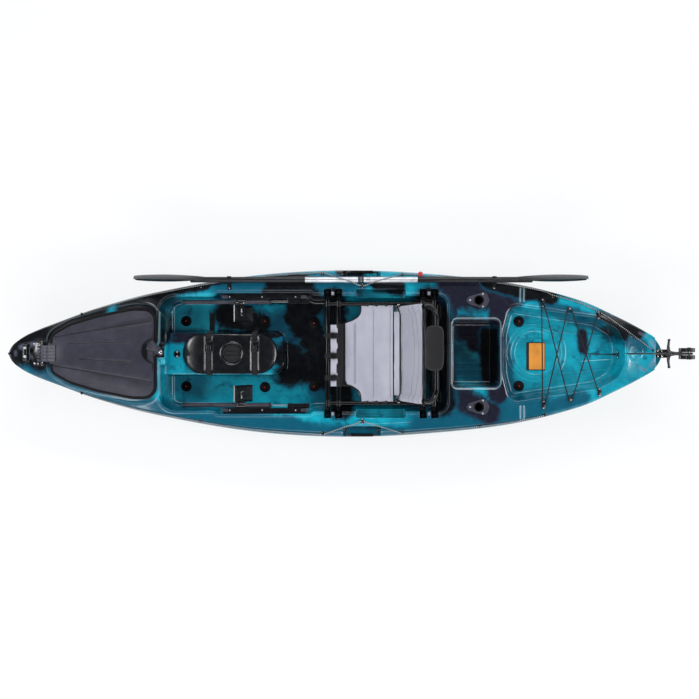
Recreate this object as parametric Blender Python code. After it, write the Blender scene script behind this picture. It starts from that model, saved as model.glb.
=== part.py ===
"""Fishing kayak, 3.2 m long: a sit-on-top hull with its hatches, seat, foot braces, paddle and rudder.

Frame: +X towards the stern, +Y towards starboard, +Z up. The origin is on the flat of the keel amidships.
Run it with blender --background --python part.py, or from the text editor.
"""

import math

import bmesh
import bpy
from mathutils import Matrix, Vector
from mathutils.bvhtree import BVHTree

for old in list(bpy.data.objects):
    bpy.data.objects.remove(old)

# Hull, driving dimensions in metres
WALL = 0.006
GAP = 0.0003
BEAM_CURVE = (
    (-1.592, 0.018), (-1.562, 0.056), (-1.500, 0.099), (-1.378, 0.151), (-1.173, 0.228),
    (-0.898, 0.303), (-0.428, 0.385), (0.037, 0.413), (0.453, 0.395), (0.864, 0.348),
    (1.197, 0.264), (1.383, 0.179), (1.501, 0.115), (1.565, 0.070), (1.600, 0.018),
)
STATIONS = (
    -1.592, -1.578, -1.558, -1.525, -1.48, -1.42, -1.35, -1.27, -1.18, -1.08, -0.97, -0.85, -0.72, -0.58,
    -0.42, -0.26, -0.10, 0.06, 0.22, 0.38, 0.54, 0.69, 0.83, 0.96, 1.08, 1.19, 1.29, 1.38, 1.45, 1.51,
    1.555,
    1.583, 1.600,
)
SHEER_MID = 0.300
SHEER_RISE_BOW = 0.075
SHEER_RISE_STERN = 0.035
ROLL_DEPTH = 0.055  # from the deck's edge down to the widest line
ROLL_SHARE = 0.93  # of the half beam, where the deck's edge starts to roll over
CROWN_MID, CROWN_BOW, CROWN_STERN = 0.012, 0.045, 0.025
TUNNEL = 0.07  # height of the two bottom channels, as a share of the side's height

# Wells, places along X and half widths along Y, as the deck shows them
COCKPIT_FRONT, COCKPIT_REAR = -0.873, 0.536
COCKPIT_FLOOR = 0.090
COCKPIT_HALF, RAIL_BAY_HALF, SEAT_BAY_HALF = 0.280, 0.297, 0.284
CONSOLE_REAR, CONSOLE_HALF, CONSOLE_TOP = -0.262, 0.112, 0.200
SHELF_REAR, SHELF_HALF, SHELF_TOP = -0.836, 0.060, 0.322
BOX_FRONT, BOX_REAR, BOX_HALF, BOX_FLOOR = 0.568, 0.791, 0.163, 0.100
TANK_FLOOR = 0.200
LEDGE_X, LEDGE_Z = 1.5535, 0.285
SCUPPER_RADIUS = 0.018
SCUPPERS = (
    ("fore_starboard", -0.774, 0.165, COCKPIT_FLOOR), ("fore_port", -0.774, -0.168, COCKPIT_FLOOR),
    ("mid_starboard", -0.373, 0.165, COCKPIT_FLOOR), ("mid_port", -0.373, -0.172, COCKPIT_FLOOR),
    ("aft_starboard", -0.122, 0.154, COCKPIT_FLOOR), ("aft_port", -0.122, -0.168, COCKPIT_FLOOR),
    ("tank_starboard", 0.906, 0.160, TANK_FLOOR), ("tank_port", 0.906, -0.162, TANK_FLOOR),
)
SIDES = (("starboard", 1), ("port", -1))


def smooth_step(a, b, x):
    t = min(max((x - a) / (b - a), 0.0), 1.0)
    return t * t * (3 - 2 * t)


def half_beam(x):
    """Half the hull's width at x: a cubic through BEAM_CURVE, with slopes from the neighbouring points."""
    pts = BEAM_CURVE
    x = min(max(x, pts[0][0]), pts[-1][0])
    i = max(k for k in range(len(pts) - 1) if pts[k][0] <= x)
    (x0, y0), (x1, y1) = pts[i], pts[i + 1]

    def slope(k):
        a, b = pts[max(k - 1, 0)], pts[min(k + 1, len(pts) - 1)]
        return (b[1] - a[1]) / (b[0] - a[0])

    h = x1 - x0
    t = (x - x0) / h
    m0, m1 = slope(i) * h, slope(i + 1) * h
    return ((2 * t**3 - 3 * t**2 + 1) * y0 + (t**3 - 2 * t**2 + t) * m0
            + (3 * t**2 - 2 * t**3) * y1 + (t**3 - t**2) * m1)


def sheer(x):
    bow = max(0.0, (-x - 0.70) / 0.89)
    stern = max(0.0, (x - 0.80) / 0.80)
    return SHEER_MID + SHEER_RISE_BOW * bow**2 + SHEER_RISE_STERN * stern**2


def crown(x):
    bow = smooth_step(0.70, 1.05, -x) * CROWN_BOW
    stern = smooth_step(1.18, 1.42, x) * CROWN_STERN
    nose = 1 - 0.75 * smooth_step(1.30, 1.50, abs(x))
    return (CROWN_MID + max(bow, stern)) * nose


def keel(x):
    bow = max(0.0, (-x - 0.80) / 0.80)
    stern = max(0.0, (x - 0.90) / 0.70)
    return 0.02 * bow**2 + 0.28 * bow**9 + 0.02 * stern**2 + 0.23 * stern**8


def deck(x, y):
    """Height of the deck, before any well is cut."""
    edge = ROLL_SHARE * half_beam(x)
    return sheer(x) + crown(x) * max(0.0, 1 - (y / edge) ** 2)


def half_section(x, wall=0.0):
    """(y, z) from the keel's middle round the side to the deck's middle, moved inwards by wall."""
    toward = math.copysign(wall, x)
    beam = half_beam(x + toward) - wall
    bottom = keel(x + toward) + wall
    top = sheer(x) - wall * 0.5
    side = top - ROLL_DEPTH - bottom
    channel = TUNNEL * (1 - smooth_step(0.9, 1.35, abs(x)))
    below = ((0, 0), (0.30, 0), (0.385, channel), (0.49, channel), (0.60, 0.012), (0.74, 0.035),
             (0.87, 0.16), (0.955, 0.42), (0.99, 0.74), (1.0, 1.0))
    points = [(beam * y, bottom + side * z) for y, z in below]
    points += [(beam * 0.995, top - 0.030), (beam * 0.975, top - 0.010)]
    drop = wall * 0.5
    for share in (ROLL_SHARE, 0.78, 0.60, 0.40, 0.20, 0.0):
        lift = crown(x) * (1 - (share / ROLL_SHARE) ** 2)
        points.append((beam * share, top - drop + lift))
    return points


def ring_of(x, wall=0.0):
    half = half_section(x, wall)
    starboard = [Vector((x, y, z)) for y, z in half]
    port = [Vector((x, -y, z)) for y, z in half[-2:0:-1]]
    return starboard + port


# Materials
def material(name, colour, roughness=0.5, metallic=0.0):
    made = bpy.data.materials.new(name)
    made.use_nodes = True
    shader = made.node_tree.nodes["Principled BSDF"]
    shader.inputs["Base Color"].default_value = (*colour, 1)
    shader.inputs["Roughness"].default_value = roughness
    shader.inputs["Metallic"].default_value = metallic
    return made


PLASTIC_TEAL = material("teal_hull_plastic", (0.01, 0.33, 0.42), 0.3)
PLASTIC_BLACK = material("black_plastic", (0.015, 0.015, 0.02), 0.4)
PLASTIC_GREY = material("grey_lid_plastic", (0.06, 0.06, 0.08), 0.5)
RUBBER = material("black_rubber", (0.01, 0.01, 0.012), 0.7)
WEBBING = material("black_webbing", (0.012, 0.012, 0.02), 0.8)
CLOTH = material("grey_sling_cloth", (0.50, 0.50, 0.56), 0.9)
CLOTH_DARK = material("charcoal_cushion_cloth", (0.03, 0.03, 0.045), 0.9)
CORD = material("black_shock_cord", (0.01, 0.012, 0.02), 0.7)
ALLOY_BLACK = material("black_anodised_tube", (0.02, 0.02, 0.028), 0.35, 0.6)
ALLOY_GREY = material("grey_anodised_tube", (0.16, 0.16, 0.19), 0.35, 0.8)
ALLOY_SILVER = material("silver_shaft", (0.75, 0.75, 0.78), 0.25, 0.9)
STEEL = material("stainless_steel", (0.6, 0.6, 0.62), 0.25, 1.0)


# Shape helpers
def finish(name, mesh, look):
    """A new object from a mesh with outward faces, smooth where the faces turn gently."""
    work = bmesh.new()
    work.from_mesh(mesh)
    bmesh.ops.triangulate(work, faces=[f for f in work.faces if len(f.verts) == 4])
    bmesh.ops.recalc_face_normals(work, faces=work.faces)
    if work.calc_volume(signed=True) < 0:
        bmesh.ops.reverse_faces(work, faces=work.faces)
    work.to_mesh(mesh)
    work.free()
    mesh.shade_smooth()
    mesh.set_sharp_from_angle(angle=math.radians(35))
    made = bpy.data.objects.new(name, mesh)
    bpy.context.scene.collection.objects.link(made)
    if look:
        mesh.materials.append(look)
    return made


def loft(name, rings, look=None, closed=False):
    """A solid through rings of equal length. The ends are capped, or joined up where closed."""
    count, size = len(rings), len(rings[0])
    points = [p for ring in rings for p in ring]
    faces = []
    for i in range(count if closed else count - 1):
        here, there = i * size, (i + 1) % count * size
        for j in range(size):
            k = (j + 1) % size
            faces.append((here + j, here + k, there + k, there + j))
    if not closed:
        faces += [tuple(range(size)), tuple(range((count - 1) * size, count * size))]
    mesh = bpy.data.meshes.new(name)
    mesh.from_pydata([tuple(p) for p in points], [], faces)
    return finish(name, mesh, look)


def guide(made):
    """Keeps a cutter or a piece to be joined out of the model."""
    made.hide_render = True
    made.display_type = "WIRE"
    return made


def combine(target, other, operation="DIFFERENCE", solver="EXACT"):
    """A Boolean of target with a hidden helper."""
    step = target.modifiers.new(operation.lower(), "BOOLEAN")
    step.operation = operation
    step.solver = solver
    step.object = guide(other)
    return target


def mirrored(corners):
    """The starboard corners, bow to stern, followed by the same on the port side."""
    return list(corners) + [(x, -y, r) for x, y, r in reversed(corners)]


def outline(corners, by=0.0, steps=4):
    """The line through (x, y, radius) corners, each turned with an arc of that radius.

    The corners run clockwise as seen from above. The line can be moved outwards by some distance.
    """
    count = len(corners)
    points = [Vector((x, y)) for x, y, _ in corners]
    ways = [(points[(i + 1) % count] - points[i]).normalized() for i in range(count)]
    moved, radii = [], []
    for i, p in enumerate(points):
        before, after = ways[i - 1], ways[i]
        out_before, out_after = Vector((-before.y, before.x)), Vector((-after.y, after.x))
        moved.append(p + (out_before + out_after) * (by / (1 + out_before.dot(out_after))))
        convex = before.x * after.y - before.y * after.x < 0
        radii.append(max(corners[i][2] + (by if convex else -by), 0.002))
    found = []
    for i, here in enumerate(moved):
        back, ahead = -ways[i - 1], ways[i]
        half = back.angle(ahead) / 2
        if corners[i][2] <= 0 or math.degrees(half) > 88:
            found.append(here)
            continue
        run = radii[i] / math.tan(half)
        centre = here + (back + ahead).normalized() * (radii[i] / math.sin(half))
        start = here + back * run - centre
        turn = start.angle_signed(here + ahead * run - centre)
        for k in range(steps + 1):
            found.append(centre + Matrix.Rotation(-turn * k / steps, 2) @ start)
    return found


def with_points(line, longest):
    """The closed line with extra points, so that none of its steps is longer than that."""
    found = []
    for a, b in zip(line, line[1:] + line[:1]):
        count = max(1, math.ceil((b - a).length / longest))
        found += [a.lerp(b, k / count) for k in range(count)]
    return found


def at_height(line, z):
    return [Vector((p.x, p.y, z)) for p in line]


def tub(name, corners, floor, rim, draft=0.010, fillet=0.014, top=0.60, grow=0.0):
    """A cutter for a well: floor and a soft foot, sloping walls up to the rim, then straight up."""
    steps = 2 if grow else 4
    rings = [
        at_height(outline(corners, grow - draft - fillet, steps), floor - grow),
        at_height(outline(corners, grow - draft - fillet * 0.3, steps), floor - grow + fillet * 0.3),
        at_height(outline(corners, grow - draft, steps), floor - grow + fillet),
        at_height(outline(corners, grow, steps), rim),
        at_height(outline(corners, grow, steps), top),
    ]
    return guide(loft(name, rings))


def mound(name, corners, foot, top, draft=0.006, grow=0.0):
    """A raised island that stays in a well, as the piece that is kept out of its cutter."""
    rings = [at_height(outline(corners, grow), foot), at_height(outline(corners, grow - draft), top + grow)]
    return guide(loft(name, rings))


def turned(name, profile, look=None, sides=16, at=(0, 0, 0), turn=None):
    """A round solid: (radius, height) points from one end of its axis to the other."""
    rings = []
    for radius, height in profile:
        ring = []
        for k in range(sides):
            a = 2 * math.pi * k / sides
            ring.append(Vector((radius * math.cos(a), radius * math.sin(a), height)))
        rings.append(ring)
    made = loft(name, rings, look)
    made.data.transform(Matrix.Translation(at) @ (turn.to_4x4() if turn else Matrix.Identity(4)))
    return made


def rod(name, start, end, radius, look=None, sides=12):
    """A straight round bar from start to end."""
    start, end = Vector(start), Vector(end)
    along = end - start
    turn = along.to_track_quat("Z", "Y").to_matrix()
    return turned(name, ((radius, 0), (radius, along.length)), look, sides, start, turn)


def block(name, low, high, look=None, bevel=0.0):
    """A box between two corners, with its edges bevelled."""
    work = bmesh.new()
    bmesh.ops.create_cube(work, size=1)
    size = Vector(high) - Vector(low)
    bmesh.ops.scale(work, vec=size, verts=work.verts)
    bmesh.ops.translate(work, vec=Vector(low) + size / 2, verts=work.verts)
    if bevel:
        bmesh.ops.bevel(work, geom=work.edges, offset=bevel, segments=1, affect="EDGES")
    mesh = bpy.data.meshes.new(name)
    work.to_mesh(mesh)
    work.free()
    return finish(name, mesh, look)


def bent(corners, radius, steps=4):
    """The open line through 3D corners, each turned with an arc."""
    points = [Vector(c) for c in corners]
    found = [points[0]]
    for before, here, after in zip(points, points[1:], points[2:]):
        back, ahead = (before - here).normalized(), (after - here).normalized()
        half = back.angle(ahead) / 2
        if math.degrees(half) > 88:
            found.append(here)
            continue
        run = radius / math.tan(half)
        centre = here + (back + ahead).normalized() * (radius / math.sin(half))
        start = here + back * run - centre
        axis = start.cross(here + ahead * run - centre).normalized()
        turn = math.pi - 2 * half
        for k in range(steps + 1):
            found.append(centre + Matrix.Rotation(turn * k / steps, 3, axis) @ start)
    return found + [points[-1]]


def tube(name, path, radius, look=None, sides=10):
    """A round bar along a line of points."""
    points = [Vector(p) for p in path]
    ways = [(b - a).normalized() for a, b in zip(points, points[1:])]
    normal = ways[0].orthogonal().normalized()
    rings = []
    for i, p in enumerate(points):
        before, after = ways[max(i - 1, 0)], ways[min(i, len(ways) - 1)]
        along = (before + after).normalized()
        normal = (normal - along * normal.dot(along)).normalized()
        side = along.cross(normal)
        widen = 1 / max(0.5, before.dot(along))
        ring = []
        for k in range(sides):
            a = 2 * math.pi * k / sides
            ring.append(p + (normal * math.cos(a) + side * math.sin(a)) * radius * widen)
        rings.append(ring)
    return loft(name, rings, look)


def strip(name, path, width, thickness, across, look=None):
    """A flat band along a line of points. Its width lies along the direction across."""
    points = [Vector(p) for p in path]
    across = Vector(across).normalized()
    rings = []
    for i, p in enumerate(points):
        before = points[i] - points[i - 1] if i else points[1] - points[0]
        after = points[i + 1] - points[i] if i + 1 < len(points) else before
        along = (before.normalized() + after.normalized()).normalized()
        up = along.cross(across).normalized() / max(0.5, before.normalized().dot(along))
        half, rise = across * width / 2, up * thickness / 2
        rings.append([p - half - rise, p + half - rise, p + half + rise, p - half + rise])
    return loft(name, rings, look)


def slab(name, grid, drop, look=None):
    """A solid from rows of points and the same rows moved by drop."""
    rows, columns = len(grid), len(grid[0])
    points = [p for row in grid for p in row]
    under = len(points)
    points = points + [p + Vector(drop) for p in points]
    faces = []
    for i in range(rows - 1):
        for j in range(columns - 1):
            a = i * columns + j
            quad = (a, a + 1, a + columns + 1, a + columns)
            faces += [quad, tuple(under + v for v in reversed(quad))]
    rim = [j for j in range(columns)] + [i * columns + columns - 1 for i in range(1, rows)]
    rim += [(rows - 1) * columns + j for j in range(columns - 2, -1, -1)]
    rim += [i * columns for i in range(rows - 2, 0, -1)]
    for a, b in zip(rim, rim[1:] + rim[:1]):
        faces.append((b, a, under + a, under + b))
    mesh = bpy.data.meshes.new(name)
    mesh.from_pydata([tuple(p) for p in points], [], faces)
    return finish(name, mesh, look)


def cord(name, points, radius, look=None, resolution=2):
    """A round cord through the points, with flat ends."""
    data = bpy.data.curves.new(name, "CURVE")
    data.dimensions = "3D"
    data.bevel_depth = radius
    data.bevel_resolution = resolution
    data.use_fill_caps = True
    spline = data.splines.new("POLY")
    spline.points.add(len(points) - 1)
    for p, co in zip(spline.points, points):
        p.co = (*co, 1)
    data.materials.append(look or CORD)
    made = bpy.data.objects.new(name, data)
    bpy.context.scene.collection.objects.link(made)
    return made


def shortfall(ring_pairs):
    """How far the straight lines between pairs of points dip below the deck."""
    worst = 0.0
    for a, b in ring_pairs:
        for share in (0.2, 0.4, 0.6, 0.8):
            p = a.lerp(b, share)
            worst = max(worst, on_deck(p.x, p.y) - p.z)
    return worst


def saddle(name, corners, height, look=None, rows=(0.02, 0.5, 1.0), lift=GAP, edge=0.0, steps=3,
    longest=1.0):
    """A pad on the deck: its underside follows the deck, its top lies height above, edge lower at the rim."""
    line = with_points(outline(corners, steps=steps), longest)
    middle = sum(line, Vector((0, 0))) / len(line)

    def ring(share, rise):
        flat = [middle + (p - middle) * share for p in line]
        return [Vector((p.x, p.y, on_deck(p.x, p.y) + rise)) for p in flat]

    under = [ring(share, 0.0) for share in rows]
    pairs = [pair for a, b in zip(under, under[1:]) for pair in list(zip(a, b)) + list(zip(a[1:], b))]
    pairs += [pair for a in under for pair in zip(a, a[1:])]
    lift += shortfall(pairs) + 0.0006
    rings = [ring(share, lift) for share in rows]
    rings += [ring(share, lift + height - edge * (share > 0.99)) for share in reversed(rows)]
    return loft(name, rings, look)


def laid(places, radius, rise=0.0006):
    """Points for a cord that lies on the deck over these places, lifted where it would cut a ridge."""
    points = [Vector((x, y, on_deck(x, y) + radius + rise)) for x, y in places]
    for _ in range(3):
        for a, b in zip(points, points[1:]):
            short = 0.0
            for share in (0.15, 0.3, 0.45, 0.6, 0.75, 0.9):
                p = a.lerp(b, share)
                for side in (-radius * 0.7, 0.0, radius * 0.7):
                    short = max(short, on_deck(p.x, p.y + side) + radius + rise * 0.5 - p.z)
            a.z += short
            b.z += short
    return [tuple(p) for p in points]


def plate_corners(x0, x1, half, radius, middle=0.0):
    return [(x0, middle + half, radius), (x1, middle + half, radius), (x1, middle - half, radius),
        (x0, middle - half, radius)]


# Hull
COCKPIT = mirrored((
    (COCKPIT_FRONT, COCKPIT_HALF, 0.075), (-0.605, COCKPIT_HALF, 0.02), (-0.590, RAIL_BAY_HALF, 0.01),
    (-0.135, RAIL_BAY_HALF, 0.01), (-0.120, SEAT_BAY_HALF, 0.02), (COCKPIT_REAR, SEAT_BAY_HALF, 0.045),
))
CONSOLE = mirrored(((COCKPIT_FRONT - 0.03, CONSOLE_HALF, 0.0), (CONSOLE_REAR, CONSOLE_HALF, 0.055)))
SHELF = mirrored(((COCKPIT_FRONT - 0.03, SHELF_HALF, 0.0), (SHELF_REAR, SHELF_HALF, 0.015)))
BOX_WELL = mirrored(((BOX_FRONT, BOX_HALF, 0.022), (BOX_REAR, BOX_HALF, 0.022)))
TANK_WELL = mirrored((
    (0.812, 0.10, 0.15), (0.848, 0.236, 0.050), (1.285, 0.169, 0.10), (1.370, 0.118, 0.06),
    (1.402, 0.05, 0.03),
))


def wells(grow):
    """The cutters of all the wells. With grow they are fatter, to be kept clear of the hull's hollow."""
    tag = "_grown" if grow else ""
    found = []
    cockpit = tub("cut_cockpit" + tag, COCKPIT, COCKPIT_FLOOR, 0.300, 0.020, 0.016, grow=grow)
    combine(cockpit, mound("console_island" + tag, CONSOLE, 0.0, CONSOLE_TOP, grow=-grow))
    combine(cockpit, mound("shelf_island" + tag, SHELF, 0.0, SHELF_TOP, grow=-grow))
    found.append(cockpit)
    found.append(tub("cut_box_well" + tag, BOX_WELL, BOX_FLOOR, 0.31, 0.010, grow=grow))
    found.append(tub("cut_tank_well" + tag, TANK_WELL, TANK_FLOOR, 0.31, 0.022, grow=grow))
    for side, sign in SIDES:
        for key, front, rear in (("fore_1", -0.067, -0.031), ("fore_2", -0.013, 0.023),
                                 ("aft_1", 0.403, 0.439), ("aft_2", 0.459, 0.497)):
            ends = sorted((sign * (0.25 - grow), sign * (0.318 + grow)))
            low, high = (front - grow, ends[0], 0.2492 - grow), (rear + grow, ends[1], 0.6)
            found.append(guide(block(f"cut_seat_slot_{key}_{side}{tag}", low, high)))
        ends = sorted((sign * (0.25 - grow), sign * (0.316 + grow)))
        low, high = (0.091 - grow, ends[0], 0.215 - grow), (0.335 + grow, ends[1], 0.6)
        found.append(guide(block(f"cut_side_pocket_{side}{tag}", low, high)))
        ends = sorted((sign * (0.357 - grow), sign * 0.5))
        low, high = (0.027 - grow, ends[0], 0.238 - grow), (0.213 + grow, ends[1], 0.6)
        found.append(guide(block(f"cut_handle_notch_{side}{tag}", low, high)))
    found.append(guide(block("cut_stern_ledge" + tag, (LEDGE_X - grow, -0.3, LEDGE_Z - grow),
        (1.7, 0.3, 0.6))))
    return found


ROD_HOLDER_X, ROD_HOLDER_Y, ROD_HOLDER_LEAN = 0.693, 0.262, math.radians(15)
ROD_TUBE, ROD_BORE, ROD_DEPTH = 0.0240, 0.0212, 0.205


def rod_axis(sign, reach):
    """A point on a rod holder's axis, reach below the deck."""
    x = ROD_HOLDER_X - math.sin(ROD_HOLDER_LEAN) * reach
    z = deck(ROD_HOLDER_X, ROD_HOLDER_Y) - math.cos(ROD_HOLDER_LEAN) * reach
    return (x, sign * ROD_HOLDER_Y, z)


HULL_FORM = loft("hull_form", [ring_of(x) for x in STATIONS])
HULL_TREE = BVHTree.FromPolygons([v.co for v in HULL_FORM.data.vertices],
    [p.vertices for p in HULL_FORM.data.polygons])
bpy.data.objects.remove(HULL_FORM)


def on_deck(x, y):
    """Height of the faceted hull's upper side above a point, before any well is cut."""
    hit = HULL_TREE.ray_cast(Vector((x, y, 1.0)), Vector((0, 0, -1)))
    return hit[0].z


HATCH_LID = mirrored((
    (-1.388, 0.094, 0.025), (-1.300, 0.148, 0.12), (-1.165, 0.190, 0.30), (-1.000, 0.224, 0.20),
    (-0.880, 0.222, 0.065),
))
POD_X, POD_REACH, POD_HALF = -0.5385, 0.236, 0.1015
POD_LID = mirrored(((POD_X - POD_REACH, POD_HALF, 0.098), (POD_X + POD_REACH, POD_HALF, 0.098)))


def hull():
    shell = loft("hull_shell", [ring_of(x) for x in STATIONS], PLASTIC_TEAL)
    hollow = guide(loft("hollow", [ring_of(x, WALL) for x in STATIONS[3:-2:2]]))
    # The exact solver loses this whole hollow at one of the seat slots
    for cutter in wells(WALL):
        combine(hollow, cutter, solver="MANIFOLD")
    for name, x, y, floor in SCUPPERS:
        column = rod("column_" + name, (x, y, -0.1), (x, y, floor + 0.05), SCUPPER_RADIUS + WALL, sides=10)
        combine(hollow, column, solver="MANIFOLD")
    for cutter in wells(0.0):
        combine(shell, cutter)
    combine(shell, hollow)
    combine(shell, loft("cut_hatch_mouth", [at_height(outline(HATCH_LID, -0.034), z) for z in (0.26, 0.6)]))
    combine(shell, loft("cut_pod_mouth", [at_height(outline(POD_LID, -0.034), z) for z in (0.15, 0.6)]))
    for name, x, y, floor in SCUPPERS:
        combine(shell, rod("cut_scupper_" + name, (x, y, -0.1), (x, y, floor + 0.1), SCUPPER_RADIUS,
            sides=12))
    for side, sign in SIDES:
        combine(shell, rod("cut_rod_hole_" + side, rod_axis(sign, 0.05), rod_axis(sign, -0.05),
            ROD_TUBE + 0.0006, sides=16))
    return shell


def join(first, *others):
    """One body from pieces that overlap."""
    for other in others:
        combine(first, other, "UNION")
    return first


def tidy(made, degrees=0.5):
    """Melts the edges that the Booleans left inside flat faces."""
    step = made.modifiers.new("tidy", "DECIMATE")
    step.decimate_type = "DISSOLVE"
    step.angle_limit = math.radians(degrees)
    return made


def cut(first, *others):
    for other in others:
        combine(first, other)
    return first


# Bow: hatch with its hinge and latch, carry handle
HINGE_X = -1.424
HINGE_Z = on_deck(HINGE_X, 0) + 0.0180
LATCH_X, LATCH_Y = -0.859, 0.006
TONGUE_TOP = 0.3545
SEAL_THICK = Vector((0, 0, 0.0050))


hull()


def hatch_seal():
    pairs = []
    line = outline(HATCH_LID, -0.018, 2)
    middle = with_points(line, 0.075)
    count = len(middle)
    for i, p in enumerate(middle):
        along = (middle[(i + 1) % count] - middle[i - 1]).normalized()
        out = Vector((-along.y, along.x)) * 0.009
        pairs.append([Vector((q.x, q.y, on_deck(q.x, q.y))) for q in (p - out, p + out)])
    lines = list(pairs)
    lines += [(a[k], b[j]) for a, b in zip(pairs, pairs[1:] + pairs[:1]) for k in (0, 1) for j in (0, 1)]
    rise = Vector((0, 0, GAP + shortfall(lines)))
    rings = [[a + rise, b + rise, b + rise + SEAL_THICK, a + rise + SEAL_THICK] for a, b in pairs]
    return loft("hatch_seal", rings, RUBBER, closed=True)


def hatch_cover():
    cover = saddle("hatch_cover", HATCH_LID, 0.0155, PLASTIC_GREY, (0.03, 0.4, 0.75, 1.0), 0.0072, 0.004, 2,
        0.07)
    low, high = (-0.8875, -0.018, 0.3495), (-0.842, 0.030, TONGUE_TOP)
    join(cover, block("latch_tongue", low, high, bevel=0.002))
    cut(cover, rod("cut_latch_pocket", (-0.8855, 0.015, TONGUE_TOP), (-0.8855, 0.015, 0.4), 0.066,
        sides=20))
    cut(cover, rod("cut_latch_hole", (LATCH_X, LATCH_Y, 0.3), (LATCH_X, LATCH_Y, 0.4), 0.0045))


def hatch_hinge():
    base = saddle("hatch_hinge_base", plate_corners(-1.472, -1.412, 0.0595, 0.010), 0.0065, PLASTIC_BLACK,
        steps=2)
    for side, sign in SIDES:
        ends = sorted((sign * 0.0425, sign * 0.0575))
        low, high = (HINGE_X - 0.0075, ends[0], on_deck(HINGE_X, 0.05) + 0.003), (HINGE_X + 0.0075, ends[1],
            HINGE_Z)
        join(base, block("hinge_lug_" + side, low, high))
        join(base, rod("hinge_knuckle_" + side, (HINGE_X, ends[0] + 0.0001, HINGE_Z),
            (HINGE_X, ends[1] - 0.0001, HINGE_Z), 0.0074))
    cut(base, rod("cut_hinge_base", (HINGE_X, -0.07, HINGE_Z), (HINGE_X, 0.07, HINGE_Z), 0.0034))
    rod("hatch_hinge_pin", (HINGE_X, -0.0590, HINGE_Z), (HINGE_X, 0.0590, HINGE_Z), 0.0030, STEEL)
    leaf = rod("hatch_hinge_leaf", (HINGE_X, -0.0415, HINGE_Z), (HINGE_X, 0.0415, HINGE_Z), 0.0074,
        ALLOY_GREY)
    top = [on_deck(x, 0) + 0.0218 + 0.0023 for x in (-1.390, -1.356)]
    path = ((HINGE_X + 0.001, 0, HINGE_Z + 0.005), (-1.405, 0, HINGE_Z + 0.0062), (-1.390, 0, top[0]),
        (-1.356, 0, top[1]))
    join(leaf, strip("leaf_plate", path, 0.079, 0.004, (0, 1, 0)))
    cut(leaf, rod("cut_hinge_leaf", (HINGE_X, -0.07, HINGE_Z), (HINGE_X, 0.07, HINGE_Z), 0.0034))


def hatch_lever():
    z = TONGUE_TOP + GAP
    centre = Vector((LATCH_X, LATCH_Y))
    spread = [centre + 0.075 * Vector((math.cos(a), math.sin(a))) for a in [math.radians(d) for d in (126,
        136, 146, 156, 166)]]
    hub = [centre + 0.015 * Vector((math.cos(a), math.sin(a))) for a in [math.radians(d) for d in (236, 286,
        326, 6, 56)]]
    line = spread + hub
    rings = [[Vector((p.x, p.y, z + rise)) for p in line] for rise in (0.0, 0.0068)]
    lever = loft("hatch_lever", rings, PLASTIC_GREY)
    foot = ((0.0078, 0.3392), (0.0078, 0.3463), (0.0040, 0.3463), (0.0040, z + 0.0068),
        (0.0055, z + 0.0068), (0.0045, z + 0.0095))
    join(lever, turned("lever_post", foot, at=(LATCH_X, LATCH_Y, 0)))


def bow_handle():
    x, z = -1.506, on_deck(-1.506, 0.006)
    path = bent(((x, -0.031, z + 0.0024), (x, -0.031, z + 0.027), (x, 0.043, z + 0.027),
        (x, 0.043, z + 0.0024)), 0.013, 3)
    handle = strip("bow_handle", path, 0.022, 0.009, (1, 0, 0), PLASTIC_BLACK)
    base = saddle("handle_base", plate_corners(x - 0.017, x + 0.017, 0.049, 0.014, 0.006), 0.005,
        rows=(0.02, 0.6, 1.0))
    join(handle, base)


# Pod: cover, twist cap and its two buckled straps
POD_TOP = CONSOLE_TOP + 0.027
CAP_X, CAP_Y, CAP_RADIUS = -0.527, 0.0015, 0.0446
STRAP_WIDTH, STRAP_THICK = 0.025, 0.0018


def pod():
    foot = CONSOLE_TOP + GAP
    rings = [at_height(outline(POD_LID, -0.010), foot), at_height(outline(POD_LID), foot + 0.006),
             at_height(outline(POD_LID), POD_TOP - 0.005), at_height(outline(POD_LID, -0.005), POD_TOP)]
    cover = loft("pod_cover", rings, PLASTIC_BLACK)
    at = (CAP_X, CAP_Y, POD_TOP - 0.012)
    cut(cover, turned("cut_cap_seat", ((CAP_RADIUS + 0.0025, 0), (CAP_RADIUS + 0.0035, 0.05)), sides=24,
        at=at))
    profile = ((CAP_RADIUS - 0.001, GAP), (CAP_RADIUS, 0.002), (CAP_RADIUS, 0.0095),
        (CAP_RADIUS - 0.0015, 0.011))
    cap = turned("pod_cap", profile, PLASTIC_BLACK, 20, at)
    top = at[2] + 0.0105
    join(cap, block("cap_grip", (CAP_X - 0.032, CAP_Y - 0.005, top),
        (CAP_X + 0.032, CAP_Y + 0.005, top + 0.009), bevel=0.002))
    over = STRAP_THICK / 2 + 0.0006
    for key, x, tail in (("fore", -0.6424, 0.204), ("aft", -0.4137, 0.133)):
        path = [(x, -0.1078 - over, 0.140), (x, -0.1062 - over, 0.201),
            (x, -0.1028 - over, POD_TOP - 0.004)]
        path += [(x, -0.0975 - over, POD_TOP + over), (x, 0.0975 + over, POD_TOP + over)]
        path += [(x, 0.1028 + over, POD_TOP - 0.004), (x, 0.1062 + over, 0.201), (x, 0.1135 + over, 0.104)]
        path += [(x, 0.1165 + over, COCKPIT_FLOOR + 0.0022), (x, tail, COCKPIT_FLOOR + 0.0016)]
        strip("pod_strap_" + key, path, STRAP_WIDTH, STRAP_THICK, (1, 0, 0), WEBBING)
        low = (x - 0.0155, 0.008, POD_TOP + 2 * over + GAP)
        block("pod_buckle_" + key, low, (x + 0.0155, 0.071, low[2] + 0.008), PLASTIC_BLACK, 0.0025)


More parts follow.
